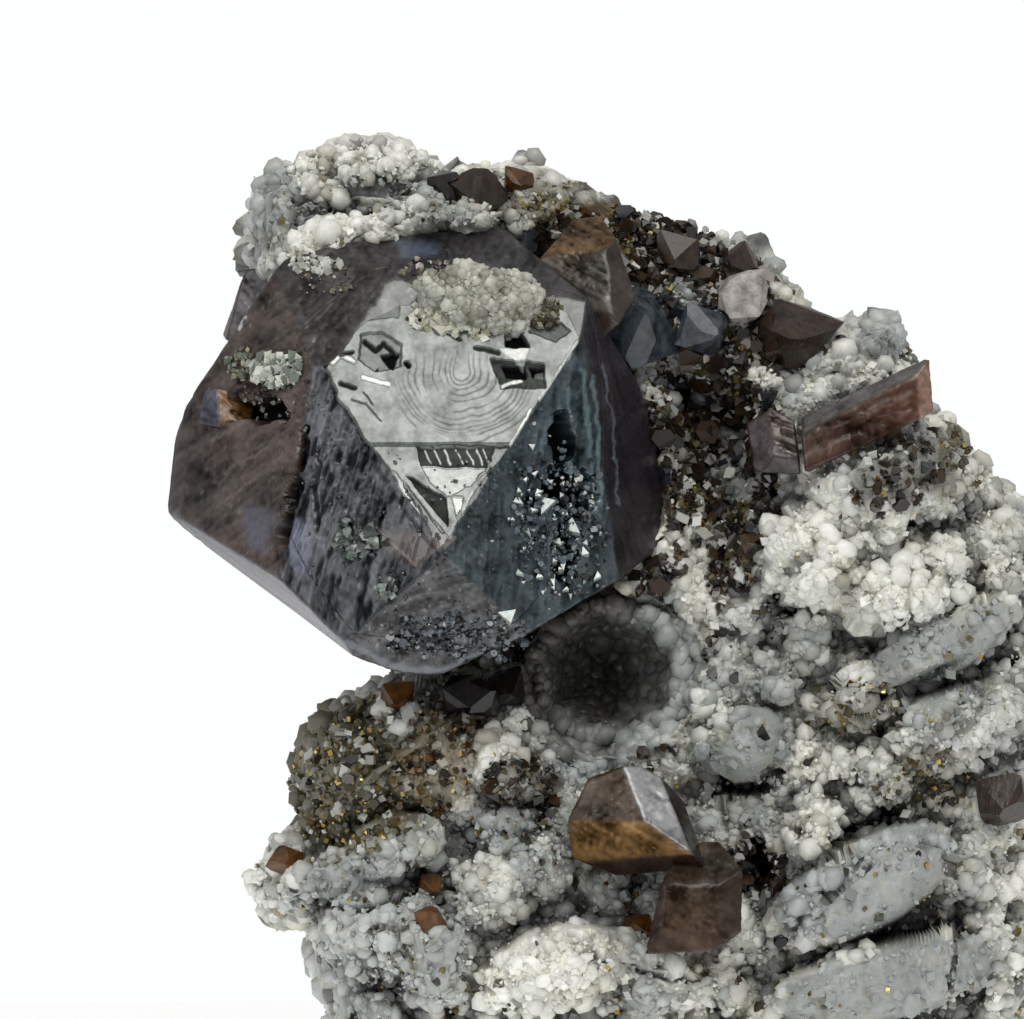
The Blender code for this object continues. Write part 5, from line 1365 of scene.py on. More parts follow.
        # Painted shade: the colour darkens between the druse's crystals, in places deeper than those around
        # them and in the cracks
        sunken = smooth_step(blurred(height, 8, 10) - height, 0.02, 0.85)
        deeper = -facing * (points[..., 1] - blurred(points[..., 1], 14, 18))
        deeper = smooth_step(deeper, 0.25, 2.4) * (1.0 - at_side)
        light = (0.92 + 0.12 * pick) * (0.95 + 0.08 * small_pick) * (1.0 - 0.72 * sunken)
        light = light * (1.0 - 0.8 * deeper) * (1.0 - 0.92 * cracks[0])
        tint = self.paint(u, v, shares) * light[..., None]
        tint = tint * np.where(small_pick[..., None] > 0.6, WARM_WHITE, 1.0)
        # painted shade in the reflection: deep places and cracks reflect less
        lustre = np.stack((0.6 - 0.25 * pick, 0.5 * (1.0 - 0.8 * np.maximum(deeper, cracks[0]))), axis=-1)
        return points + normal * height[..., None], tint, lustre

    def skin(self, name: str, start: float, end: float, rings: int, sides: int, front: bool) -> Skin:
        """A closed annular part of the rock between two shares of the way out.

        Its skin follows the rock's face, then goes straight in to a hidden depth and back to its first ring.
        """
        angles = np.arange(sides) * 360.0 / sides
        depth = RIM_DEPTH - FRONT_DEPTHS[0] if front else BACK_DEPTHS[0] - RIM_DEPTH
        distance = self.ring_shares(start, end, rings, depth)
        bare = self.base_points(distance, angles, front)
        points, tint, lustre = self.dressed(bare, angles, distance, front)
        hidden_outer = points[-1:].copy()
        hidden_inner = points[:1].copy()
        hidden_outer[..., 1] = HIDDEN_DEPTH
        hidden_inner[..., 1] = HIDDEN_DEPTH
        if start > 0.0:
            points = np.concatenate((points, hidden_outer, hidden_inner))
            extra = 2
            ends = None
        else:
            points = np.concatenate((points, hidden_outer))
            extra = 1
            apex = np.array((ROCK_CENTRE[0], HIDDEN_DEPTH, ROCK_CENTRE[1]))
            ends = (points[0].mean(axis=0), apex)
        tint = np.concatenate((tint,) + (tint[-1:],) * extra)
        lustre = np.concatenate((lustre,) + (lustre[-1:],) * extra)
        points[..., 2] = np.maximum(points[..., 2], 0.0)
        return Skin(name, points, tint, lustre, ends, smooth=False)

    def build(self) -> None:
        """Build the rock's skins and dress them."""
        material = DRUSY_DOLOMITE.make()
        plan = [
            ("rock_front_middle", 0.0, 0.46, 84, 560, True),
            ("rock_front_ring", 0.455, 0.76, 66, 900, True),
            ("rock_front_rim", 0.755, 0.955, 66, 1180, True),
            ("rock_front_edge", 0.95, 1.0, 84, 940, True),
            ("rock_back_edge", 0.93, 1.0, 60, 640, False),
            ("rock_back", 0.0, 0.935, 96, 360, False),
        ]
        skins = [self.skin(*settings) for settings in plan]
        for skin in skins:
            place_piece(skin.build(), material, "matrix", "matrix_rock")
        self.strew("rock_side_lumps", skins[3], 1500, material)
        self.strew("rock_back_edge_lumps", skins[4], 500, material)
        self.strew("rock_back_lumps", skins[5], 700, material)

    def strew(self, name: str, skin: Skin, count: int, material: bpy.types.Material) -> None:
        """Strew round crystals evenly over a skin, each half sunk and in the skin's colour there."""
        random = np.random.default_rng(count)
        here = skin.points[:-1]
        ahead = skin.points[1:] - here
        aside = np.roll(skin.points, -1, axis=1)[:-1] - here
        within = (here[..., 2] > 0.9) & (self.way_out(here[..., 0], here[..., 2]) < 0.995)
        area = np.linalg.norm(np.cross(ahead, aside), axis=-1) * within
        place = random.choice(area.size, count, p=(area / area.sum()).ravel())
        shares = random.uniform(size=(2, count, 1))
        centres = here.reshape(-1, 3)[place] + shares[0] * ahead.reshape(-1, 3)[place]
        centres = centres + shares[1] * aside.reshape(-1, 3)[place]
        inward = unit_rows(np.array((ROCK_CENTRE[0], 0.0, ROCK_CENTRE[1])) - centres)
        sizes = random.uniform(0.9, 2.4, count)
        # the lumps take the skin's colour there, painted shade included
        tints = skin.tint[:-1].reshape(-1, 3)[place] * random.uniform(0.9, 1.2, (count, 1))
        centres = centres + inward * sizes[:, None] * 0.25
        GrainScatter(name, GrainShape.ROUND, material, "matrix", centres, sizes, tints, LUMP_LUSTRE,
                     count).build()

    def face_depth(self, x: Array, z: Array, shares: Array) -> Array:
        """Depth of the front face as it stands, with its turn into the outline and its druse."""
        height = self.relief(x, z, shares, self.laid_over(x, z, ROCK_CRACKS))[0]
        return RIM_DEPTH + section(self.way_out(x, z)) * (self.front(x, z) - RIM_DEPTH) - height

    def way_out(self, x: Array, z: Array) -> Array:
        """Share of the way from the rock's middle to its outline."""
        off_x = x - ROCK_CENTRE[0]
        off_z = z - ROCK_CENTRE[1]
        return np.hypot(off_x, off_z) / self.outline_radius(np.degrees(np.arctan2(off_z, off_x)) % 360.0)


@dataclass
class CrystalSkin:
    """A crystal's skin, worked out in every direction from a point inside it.

    In each direction the skin lies at the smallest of the distances to its facets, rounded a little where
    two of them meet. Streaks and pits stand out of or into it along the facets' normals.
    """

    facets: dict[str, Facet]
    looks: dict[str, FacetLook]
    centre: tuple
    plain: FacetLook
    axis: tuple = (0.0, -1.0, 0.0)
    rounding: float = 0.10
    salt: float = 0.0
    pits: list = field(default_factory=list)
    marks: list = field(default_factory=list)

    def skin(self, name: str, start: float, end: float, rings: int, sides: int) -> Skin:
        """The part of the skin between two angles from the axis, in degrees, closed to the centre.

        Args:
            name: name of the piece.
            start: angle of the first ring.
            end: angle of the last ring.
            rings: number of rings.
            sides: number of points in a ring.

        Returns:
            The closed skin.
        """
        axis = unit(self.axis)
        across = unit(np.cross(axis, (0.0, 0.3, 1.0)))
        upward = np.cross(across, axis)
        bend = np.radians(np.linspace(start, end, rings + 2)[(1 if start == 0.0 else 0):])
        bend = bend[:-1] if end == 180.0 else bend
        bend = bend[:, None, None]
        turn = turns_around(sides)[None, :, None]
        ways = np.cos(bend) * axis + np.sin(bend) * (np.cos(turn) * across + np.sin(turn) * upward)
        points, tint, lustre = self.surface(ways.reshape(-1, 3))
        shape = ways.shape
        points = points.reshape(shape)
        if start > 0.0:
            points[:2] -= ways[:2] * np.array((0.4, 0.12))[:, None, None]
        ends = [np.array(self.centre), np.array(self.centre)]
        if start == 0.0:
            ends[0] = self.surface(axis[None, :])[0][0]
        if end == 180.0:
            ends[1] = self.surface(-axis[None, :])[0][0]
        return Skin(name, points, tint.reshape(shape), lustre.reshape(shape[:2] + (2,)), tuple(ends))

    def surface(self, ways: Array) -> tuple[Array, Array, Array]:
        """Points, colours and roughness of the skin in these directions, with painted glints, shade and
        highlights.
        """
        names = list(self.facets)
        normals = np.array([self.facets[name].normal for name in names])
        reaches = np.array([self.facets[name].reach for name in names]) - normals @ np.array(self.centre)
        facing = ways @ normals.T
        distances = np.where(facing > 1e-4, reaches / np.maximum(facing, 1e-4), 1e6)
        nearest = distances.min(axis=1, keepdims=True)
        excess = np.exp(-(distances - nearest) / self.rounding)
        reach = nearest[:, 0] - self.rounding * np.log(excess.sum(axis=1))
        shares = np.exp(-(distances - nearest) / 0.06)
        shares /= shares.sum(axis=1, keepdims=True)
        points = np.array(self.centre) + ways * reach[:, None]
        height = np.zeros(len(points))
        tint = np.zeros((len(points), 3))
        lustre = np.zeros((len(points), 2))
        x, y, z = points.T
        for number, name in enumerate(names):
            share = shares[:, number]
            if share.max() < 0.01:
                continue
            look = self.looks.get(name, self.plain)
            seen = self.facets[name].normal[1] < -0.35
            u = x if seen else x + 0.7 * y
            v = z if seen else z - 0.5 * y
            mottle = fractal(u, v, 1.8, 4, self.salt + 1 + number)
            blotch = fractal(u, v, 6.0, 2, self.salt + 2 + number)
            pitted = smooth_step(fractal(u, v, 0.7, 2, self.salt + 3 + number), 0.75, 1.15)
            # painted glints: small random spots made lighter and more reflective
            painted_glint = smooth_step(value_noise(u, v, 0.3, self.salt + 4 + number), 0.72, 0.95)
            streak = self.streaks(u, v, look)
            dark = np.maximum(look.strokes * self.dark_strokes(u, v, look), 0.6 * pitted * look.mottle)
            height += share * (look.depth * (streak + 0.7 * mottle) - 0.10 * dark)
            fine = value_noise(u, v, 0.26, self.salt + 5 + number)
            varied = 0.5 * mottle + 0.5 * blotch + 0.6 * streak + 0.9 * painted_glint + 0.35 * fine
            light = np.maximum(1.0 + look.mottle * varied, 0.25) * (1.0 - 0.75 * dark)
            tint += share[:, None] * linear(look.hex_colour) * light[:, None]
            varied = 0.7 * streak + 0.6 * mottle + 1.8 * painted_glint + 0.5 * fine
            shine = look.shine * np.maximum(1.0 + look.mottle * varied, 0.1)
            lustre[:, 0] += share * (look.roughness + 0.08 * mottle)
            lustre[:, 1] += share * shine * (1.0 - dark)
        for pit in self.pits:
            cover = self.pit_cover(x, z, pit) * shares[:, names.index(pit.facet)]
            height -= pit.depth * cover
            tint += cover[:, None] * (linear(SHADOW_BLACK) - tint)
            lustre += cover[:, None] * (np.array((0.7, 0.04)) - lustre)
        front = y < self.centre[1]
        ragged = 0.22 * fractal(x, z, 0.9, 3, 7)
        # marks: dark ones are painted shade; light ones are painted highlights, sheens and patches of colour;
        # on the front only
        for mark in self.marks:
            soft = 0.5 if mark.tone > 0 and not mark.width else 0.1
            cover = mark_cover(x + ragged, z - ragged, mark, soft)
            cover = cover * front * abs(mark.tone)
            goal = linear(mark.hex_colour or SHADOW_BLACK)
            tint += cover[:, None] * (goal - tint)
            lustre[:, 1] += cover * ((0.4 if mark.tone > 0 else 0.02) - lustre[:, 1])
            height += mark.rise * cover
        normal = shares @ normals
        normal /= np.linalg.norm(normal, axis=1, keepdims=True)
        lustre = np.clip(lustre, 0.0, 0.9)
        return points + normal * height[:, None], tint, lustre

    def dark_strokes(self, u: Array, v: Array, look: FacetLook) -> Array:
        """Short dark strokes along the streaks: the highest parts of noise drawn out along them."""
        across, along = turned(u, v, look.turn)
        noise = value_noise(across, along / 4.5, 0.42, self.salt + 15)
        noise = noise + 0.7 * value_noise(across, along / 3.5, 0.24, self.salt + 16)
        return smooth_step(noise, 0.25, 0.75)

    def streaks(self, u: Array, v: Array, look: FacetLook) -> Array:
        """Growth streaks from -1 to 1: noise drawn out to twelve times its width."""
        across, along = turned(u, v, look.turn)
        wide = value_noise(across, along / 12.0, look.streak, self.salt + 5)
        thin = value_noise(across, along / 9.0, look.streak / 2.6, self.salt + 6)
        return 0.65 * wide + 0.35 * thin

    def pit_cover(self, x: Array, z: Array, pit: Pit) -> Array:
        """How much of a pit lies at each place: within its ellipse, ragged by noise."""
        along, across = turned(x - pit.x, z - pit.z, pit.turn)
        radius = np.hypot(along / pit.w, across / pit.h) + 0.28 * fractal(x, z, 0.9, 3, self.salt + 9)
        return 1.0 - smooth_step(radius, 0.75, 1.1)


@dataclass
class GreatCrystal:
    """The great dark crystal, the bright plate on its mirror facet and the crystal nested in its side."""

    centre: tuple = (-15.5, -6.0, 50.5)

    def front_depth(self, x: Array, z: Array) -> Array:
        """Depth of the crystal's front: the deepest of its front facets' planes."""
        return np.max([depth_on(facet, x, z) for facet in GREAT_FACETS.values() if facet.normal[1] < -0.05],
                      axis=0)

    def covers(self, x: Array, z: Array) -> Array:
        """Whether the crystal stands over a place, as seen from the front."""
        points = np.stack((x, self.front_depth(x, z) + 0.5, z), axis=-1)
        inside = np.full(np.shape(x), True)
        for facet in GREAT_FACETS.values():
            inside &= points @ facet.normal < facet.reach
        return inside

    def build_body(self, material: bpy.types.Material) -> None:
        """Build the crystal's body in three closed skins."""
        crystal = CrystalSkin(GREAT_FACETS, GREAT_LOOKS, self.centre, FacetLook("#2E2A2B", 0.34, 1.2, 90.0),
                              axis=(0.05, -0.95, 0.20), salt=60.0, pits=GREAT_PITS, marks=BODY_MARKS)
        for name, start, end, rings, sides in (("great_crystal_front", 0.0, 58.0, 132, 680),
                                               ("great_crystal_side", 57.1, 100.0, 80, 600),
                                               ("great_crystal_back", 99.0, 180.0, 44, 240)):
            place_piece(crystal.skin(name, start, end, rings, sides).build(), material, "dark_sphalerite",
                        "great_crystal")

    def plate_surface(self, x: Array, z: Array) -> tuple[Array, Array, Array]:
        """Rise, colour and roughness of the bright plate.

        Terraces step down outwards along nested arcs that are open upwards, with painted shade along their
        lines.
        Marks of gaps, steps and flashes, as painted shade and painted highlights, are laid over them, all of
        them ragged by noise.
        """
        ragged_x = x + 0.10 * fractal(x, z, 0.9, 3, 71)
        ragged_z = z + 0.10 * fractal(x, z, 0.9, 3, 77)
        wavy_x = x + 0.30 * fractal(x, z, 3.0, 3, 81)
        wavy_z = z + 0.25 * fractal(x, z, 2.4, 3, 87)
        off_x = (wavy_x - TERRACE_MIDDLE[0]) / 1.12
        off_z = wavy_z - TERRACE_MIDDLE[1]
        arc = np.where(off_z < 0.0, np.hypot(off_x, off_z), np.abs(off_x) + 0.15 * off_z)
        rise = 0.5 + 0.03 * fractal(x, z, 3.0, 3, 91)
        line = np.zeros(np.shape(x))
        fade = smooth_step(off_z, 2.2, 0.2) * smooth_step(np.abs(off_x), 5.6, 3.4)
        for radius in TERRACE_RADII:
            rise = rise - TERRACE_STEP * smooth_step(arc, radius - 0.05, radius + 0.05)
            line = np.maximum(line, np.exp(-((arc - radius) / 0.075) ** 2))
        line = line * fade * smooth_step(fractal(x, z, 1.6, 2, 95), -0.9, 0.0)
        mottle = fractal(x, z, 1.1, 4, 99)
        fine = value_noise(x, z, 0.25, 101)
        # painted shade: the terrace lines darken the colour, and with it the reflection
        light = np.maximum(1.0 + 0.30 * mottle + 0.16 * fine, 0.2) * (1.0 - TERRACE_SHADE * line)
        tint = linear("#5A645E") * light[..., None]
        lustre = np.stack((0.16 + 0.04 * mottle, 0.33 * light), axis=-1)
        rise = rise - smooth_step(-z, -51.3, -50.9) * 0.18
        marks = list(MIRROR_MARKS)
        for start in SLASH_STARTS:
            marks.append(Mark([(start, SLASH_TOP), (start + 0.55, SLASH_FOOT)], 0.13, 0.7, 0.08))
        # painted highlights in white and painted shade in black, with reflection to match
        for mark in marks:
            cover = mark_cover(ragged_x, ragged_z, mark, 0.06)
            goal = linear(mark.hex_colour or ("#E8ECE6" if mark.tone > 0 else SHADOW_BLACK))
            strength = (abs(mark.tone) * cover)[..., None]
            tint = tint + strength * (goal - tint)
            lustre = lustre + strength * (np.array((0.2, 0.5) if mark.tone > 0 else (0.7, 0.02)) - lustre)
            rise = rise + mark.rise * cover
        return rise, tint, lustre

    def build_plate(self, material: bpy.types.Material) -> None:
        """Build the bright plate: rows from its lower tip to its top, each running once around the plate.

        A row crosses the plate's face from its left border to its right one, at the mirror facet's depth less
        the plate's rise, and comes back below the face.
        """
        mirror = GREAT_FACETS["mirror"]
        rows = 280
        columns = 270
        below = 6
        heights = np.linspace(*PLATE_HEIGHTS, rows)
        left = np.interp(heights, *np.array(MIRROR_LEFT).T)
        right = np.interp(heights, *np.array(MIRROR_RIGHT).T)
        left = left + 0.30 * fractal(heights, 0.0 * heights, 1.4, 3, 111)
        right = right + 0.05 * fractal(heights, 0.0 * heights, 1.0, 2, 115)
        over = np.linspace(0.0, 1.0, columns)
        under = np.linspace(1.0, 0.0, below + 2)[1:-1]
        share = np.concatenate((over, under))[None, :]
        x = left[:, None] + (right - left)[:, None] * share
        z = np.broadcast_to(heights[:, None], x.shape)
        rise, tint, lustre = self.plate_surface(x, z)
        edge = np.minimum((x - left[:, None]), (right[:, None] - x))
        drop = 1.0 - smooth_step(edge, 0.0, 0.14)
        drop = np.maximum(drop, 1.0 - smooth_step(heights[-1] - z, 0.0, 0.14))
        rise = rise * (1.0 - drop) - 0.35 * drop
        rise[:, columns:] = PLATE_BACK
        y = depth_on(mirror, x, z)
        points = np.stack((x, y, z), axis=-1) + mirror.normal * rise[..., None]
        ends = (points[0].mean(axis=0), points[-1].mean(axis=0))
        obj = Skin("great_crystal_mirror_plate", points, tint, lustre, ends).build()
        place_piece(obj, material, "dark_sphalerite", "great_crystal")

    def build_nested(self, material: bpy.types.Material) -> None:
        """Build the small crystal that has grown into the great one's left side."""
        # painted sheen: the lavender grey of the face that looks left, like the sheen on the great crystal's
        # left facet
        looks = {"lavender": FacetLook("#4E5062", 0.2, 0.5, 60.0, 0.03, 0.7, 0.25),
                 "amber": FacetLook("#5C3C14", 0.22, 0.5, 60.0, 0.03, 1.2, 0.12, 0.5)}
        crystal = CrystalSkin(habit_facets(NESTED_HABIT), looks, (-32.0, -4.5, 54.3),
                              FacetLook("#2E221C", 0.3, shine=0.12), salt=120.0, rounding=0.06)
        place_piece(crystal.skin("nested_crystal", 0.0, 180.0, 70, 110).build(), material, "dark_sphalerite",
                    "great_crystal")

    def build(self) -> None:
        """Build the whole crystal."""
        material = BLACK_SPHALERITE.make()
        self.build_body(material)
        self.build_plate(material)
        self.build_nested(material)


class GrainShape(Enum):
    """Shapes of the scattered grains."""

    RHOMB = "rhomb"
    CUBE = "cube"
    POINTED = "pointed"
    BLENDE = "blende"
    ROUND = "round"


def grain_body(shape: GrainShape) -> tuple[Array, Array]:
    """Points and triangles of one grain of half width 1.

    A cube and a rhomb have eight corners, and the rhomb is leant over along its diagonal. A pointed grain has
    six, of which two are drawn out. A blende grain is a tetrahedron with cut corners. A round one is an
    octahedron whose faces are parted in four, with every point as far from its middle.
    """
    if shape is GrainShape.ROUND:
        points = [np.array(way) * side for way in ((1, 0, 0), (0, 1, 0), (0, 0, 1)) for side in (1.0, -1.0)]
        faces = []
        for far, near, high in [(a, b, c) for a in (0, 1) for b in (2, 3) for c in (4, 5)]:
            middles = []
            for start, end in ((far, near), (near, high), (high, far)):
                middles.append(len(points))
                points.append(unit(points[start] + points[end]))
            first, second, third = middles
            faces += [(far, first, third), (near, second, first), (high, third, second)]
            faces.append((first, second, third))
        unique, places = np.unique(np.round(points, 6), axis=0, return_inverse=True)
        return unique, places.ravel()[np.array(faces)]
    if shape is GrainShape.BLENDE:
        signs = ((1, 1, 1), (1, -1, -1), (-1, 1, -1), (-1, -1, 1))
        points = np.array([np.roll((1.0, 0.36, 0.36), place) * sign for sign in signs for place in range(3)])
        faces = []
        for way in [np.array(sign) * side for sign in signs for side in (1, -1)]:
            face = np.flatnonzero(points @ way > (points @ way).max() - 1e-6)
            middle = points[face].mean(axis=0)
            across = unit(points[face[0]] - middle)
            upward = np.cross(unit(way), across)
            spokes = points[face] - middle
            face = face[np.argsort(np.arctan2(spokes @ upward, spokes @ across))]
            faces += [(face[0], face[place], face[place + 1]) for place in range(1, len(face) - 1)]
        return points * 1.1, np.array(faces)
    if shape is GrainShape.POINTED:
        points = np.array([(0.9, 0, 0), (-0.9, 0, 0), (0, 0.8, 0), (0, -0.8, 0), (0, 0, 1.25), (0, 0, -1.0)])
        faces = [(0, 2, 4), (2, 1, 4), (1, 3, 4), (3, 0, 4), (2, 0, 5), (1, 2, 5), (3, 1, 5), (0, 3, 5)]
        return points, np.array(faces)
    corners = np.array([(x, y, z) for x in (-1, 1) for y in (-1, 1) for z in (-1, 1)], dtype=float) * 0.8
    if shape is GrainShape.RHOMB:
        corners = corners @ np.array([(1.0, 0.25, 0.2), (0.0, 1.0, 0.25), (0.0, 0.0, 0.9)])
    faces = [(0, 1, 3), (0, 3, 2), (4, 6, 7), (4, 7, 5), (0, 4, 5), (0, 5, 1), (2, 3, 7), (2, 7, 6),
             (0, 2, 6), (0, 6, 4), (1, 5, 7), (1, 7, 3)]
    return corners, np.array(faces)


@dataclass
class GrainScatter:
    """Many small grains joined in one piece, set half into what carries them."""

    name: str
    shape: GrainShape
    material: bpy.types.Material
    slot: str
    centres: Array  # N, 3
    sizes: Array  # N
    tints: Array  # N, 3
    lustre: tuple  # roughness, and how much they reflect
    seed: int

    def build(self) -> None:
        """Build the grains: each body turned at random, enlarged and moved to its place."""
        random = np.random.default_rng(self.seed)
        body, faces = grain_body(self.shape)
        corners = body[faces]
        inward = np.cross(corners[:, 1] - corners[:, 0], corners[:, 2] - corners[:, 0])
        inward = np.einsum("ij,ij->i", inward, corners.mean(axis=1)) < 0.0
        faces = np.where(inward[:, None], faces[:, ::-1], faces)
        count = len(self.centres)
        turns = random.normal(size=(count, 4))
        turns /= np.linalg.norm(turns, axis=1, keepdims=True)
        w, x, y, z = turns.T
        matrix = np.empty((count, 3, 3))
        matrix[:, 0] = np.stack((1 - 2 * (y * y + z * z), 2 * (x * y - z * w), 2 * (x * z + y * w)), axis=-1)
        matrix[:, 1] = np.stack((2 * (x * y + z * w), 1 - 2 * (x * x + z * z), 2 * (y * z - x * w)), axis=-1)
        matrix[:, 2] = np.stack((2 * (x * z - y * w), 2 * (y * z + x * w), 1 - 2 * (x * x + y * y)), axis=-1)
        stretch = random.uniform(0.75, 1.3, size=(count, 1, 3))
        if self.shape in (GrainShape.ROUND, GrainShape.BLENDE):
            stretch = stretch * random.uniform(0.84, 1.12, size=(count, len(body), 1))
        points = np.einsum("nij,nkj->nki", matrix, body * stretch) * (self.sizes / 2)[:, None, None]
        points = points + self.centres[:, None, :]
        points[..., 2] = np.maximum(points[..., 2], 0.05)
        tint = np.repeat(self.tints, len(body), axis=0)
        lustre = np.tile(self.lustre, (count * len(body), 1))
        lustre[:, 1] *= np.repeat(random.uniform(0.3, 1.5, count), len(body))
        obj = build_bodies(self.name, points, faces, tint, lustre, self.shape is GrainShape.ROUND)
        place_piece(obj, self.material, self.slot)


class GrainKind(NamedTuple):
    """A kind of grain on the rock's front: how many places are tried, and how often each ground takes one."""

    name: str
    shape: GrainShape
    tries: int
    low: float  # smallest width, mm
    high: float
    hexes: tuple  # its colours, or none where it is as pale or dark as its ground
    likely: dict
    lustre: tuple
    sink: float  # share of its width that is sunk in the rock


GRAIN_KINDS = [
    GrainKind("white_lumps", GrainShape.ROUND, 20000, 0.7, 2.0, (),
              {Ground.WHITE: 0.36, Ground.GREY: 0.26, Ground.BLUE: 0.18, Ground.BRASS: 0.05,
               Ground.DARK: 0.04, Ground.OCHRE: 0.01}, LUMP_LUSTRE, 0.7),
    GrainKind("white_rhombs", GrainShape.RHOMB, 30000, 0.3, 0.8, (),
              {Ground.WHITE: 0.3, Ground.GREY: 0.24, Ground.BLUE: 0.14, Ground.SLAB: 0.02, Ground.BRASS: 0.1},
              (0.3, 0.5), 0.25),
    GrainKind("fine_white_rhombs", GrainShape.RHOMB, 40000, 0.16, 0.38, (),
              {Ground.WHITE: 0.5, Ground.GREY: 0.5, Ground.BLUE: 0.45, Ground.SLAB: 0.1, Ground.BRASS: 0.2,
               Ground.OCHRE: 0.15}, (0.3, 0.55), 0.0),
    GrainKind("quartz_specks", GrainShape.RHOMB, 13000, 0.3, 1.1,
              ("#B9BBB4", "#97998F", "#CECFC8"),
              {Ground.DARK: 0.5, Ground.BLACK: 0.25, Ground.OCHRE: 0.3, Ground.BRASS: 0.25}, (0.3, 0.5), 0.3),
    GrainKind("dark_grains", GrainShape.BLENDE, 26000, 0.35, 1.0,
              ("#1C1712", "#2B2118", "#3B3020", "#14110E"),
              {Ground.WHITE: 0.006, Ground.GREY: 0.02, Ground.BLUE: 0.02, Ground.DARK: 0.85,
               Ground.BRASS: 0.08, Ground.OCHRE: 0.12, Ground.BLACK: 0.7}, (0.2, 0.3), 0.2),
    GrainKind("ridge_crystals", GrainShape.BLENDE, 12000, 0.8, 1.9,
              ("#241B15", "#33261B", "#181514", "#3F2F20", "#262A30"),
              {Ground.DARK: 0.34, Ground.BLACK: 0.08, Ground.OCHRE: 0.05}, (0.22, 0.16), 0.3),
    GrainKind("olive_grains", GrainShape.CUBE, 22000, 0.25, 0.7,
              ("#4E4729", "#5A4E28", "#3C3820", "#6A5C32"),
              {Ground.WHITE: 0.006, Ground.GREY: 0.03, Ground.BLUE: 0.03, Ground.DARK: 0.45,
               Ground.BRASS: 0.5, Ground.OCHRE: 0.4, Ground.SLAB: 0.01}, (0.35, 0.3), 0.25),
    GrainKind("pyrite_cubes", GrainShape.CUBE, 22000, 0.2, 0.5,
              ("#B8A468", "#988048", "#C8B478", "#7F6B3D"),
              {Ground.WHITE: 0.01, Ground.GREY: 0.04, Ground.BLUE: 0.04, Ground.DARK: 0.12,
               Ground.BRASS: 0.5, Ground.OCHRE: 0.3, Ground.BLACK: 0.04, Ground.SLAB: 0.01},
              (0.3, 0.5), 0.25),
    GrainKind("amber_grains", GrainShape.POINTED, 9000, 0.4, 1.1,
              ("#5E360E", "#744614", "#44280C", "#553010"),
              {Ground.WHITE: 0.003, Ground.GREY: 0.008, Ground.DARK: 0.06, Ground.BRASS: 0.05,
               Ground.OCHRE: 0.5}, (0.25, 0.2), 0.3),
]


@dataclass
class RockGrains:
    """The grains that lie on the rock's front."""

    rock: Rock
    great: GreatCrystal

    def painted_shade_factor(self, x: Array, z: Array, shares: Array) -> Array:
        """Painted shade for the grains: 1 in the open, and less where the rock stands out around it."""
        around = 0.0
        for reach, turn in ((0.9, 0.3), (0.9, 2.4), (0.9, 4.5), (2.2, 1.3), (2.2, 3.4), (2.2, 5.5)):
            near_x = x + reach * np.cos(turn)
            near_z = z + reach * np.sin(turn)
            around = around + self.rock.face_depth(near_x, near_z, shares) / 6
        sunken = self.rock.face_depth(x, z, shares) - around
        return 1.0 - 0.7 * smooth_step(sunken, 0.0, 0.9)

    def build(self) -> None:
        """Scatter each kind of grain over the grounds that carry it."""
        materials = {"white": DRUSY_DOLOMITE.make(), "dark": BROWN_SPHALERITE.make(), "pyrite": PYRITE.make()}
        for number, kind in enumerate(GRAIN_KINDS):
            random = np.random.default_rng(GRAIN_SEED + number)
            x, z = [random.uniform(*span, kind.tries) for span in GRAIN_FIELD]
            shares = self.rock.grounds(x, z)
            chance = sum(kind.likely.get(ground, 0.0) * share for ground, share in zip(Ground, shares))
            chosen = random.uniform(size=len(x)) < chance
            chosen &= self.rock.way_out(x, z) < 0.985
            chosen &= ~self.great.covers(x, z)
            chosen &= vug_radius(x, z) >= 0.96
            x = x[chosen]
            z = z[chosen]
            shares = shares[:, chosen]
            sizes = kind.low + (kind.high - kind.low) * random.uniform(size=len(x)) ** 2
            y = self.rock.face_depth(x, z, shares) - sizes * (0.5 - kind.sink)
            if kind.hexes:
                palette = np.array([linear(colour) for colour in kind.hexes])
                tints = palette[random.integers(len(palette), size=len(x))]
                tints = tints * random.uniform(0.75, 1.15, size=(len(x), 1))
            else:
                # painted shade: grains in hollows are coloured darker
                light = random.uniform(0.82, 1.08, len(x)) * self.painted_shade_factor(x, z, shares)
                tints = self.rock.paint(x, z, shares) * light[:, None]
            if kind.name.startswith("pyrite"):
                material, slot = materials["pyrite"], "matrix"
            elif kind.shape in (GrainShape.RHOMB, GrainShape.ROUND):
                material, slot = materials["white"], "druse"
            else:
                material, slot = materials["dark"], "brown_sphalerite"
            GrainScatter(kind.name, kind.shape, material, slot, np.stack((x, y, z), axis=-1), sizes, tints,
                         kind.lustre, GRAIN_TURN_SEED + number).build()


class Cluster(NamedTuple):
    """Small crystals grown on the great one: an ellipse in X and Z, how many, their widths and colours."""

    x: float
    z: float
    w: float
    h: float
    count: int
    low: float
    high: float
    hexes: tuple
    lift: float = 0.0  # how far they stand off the facet


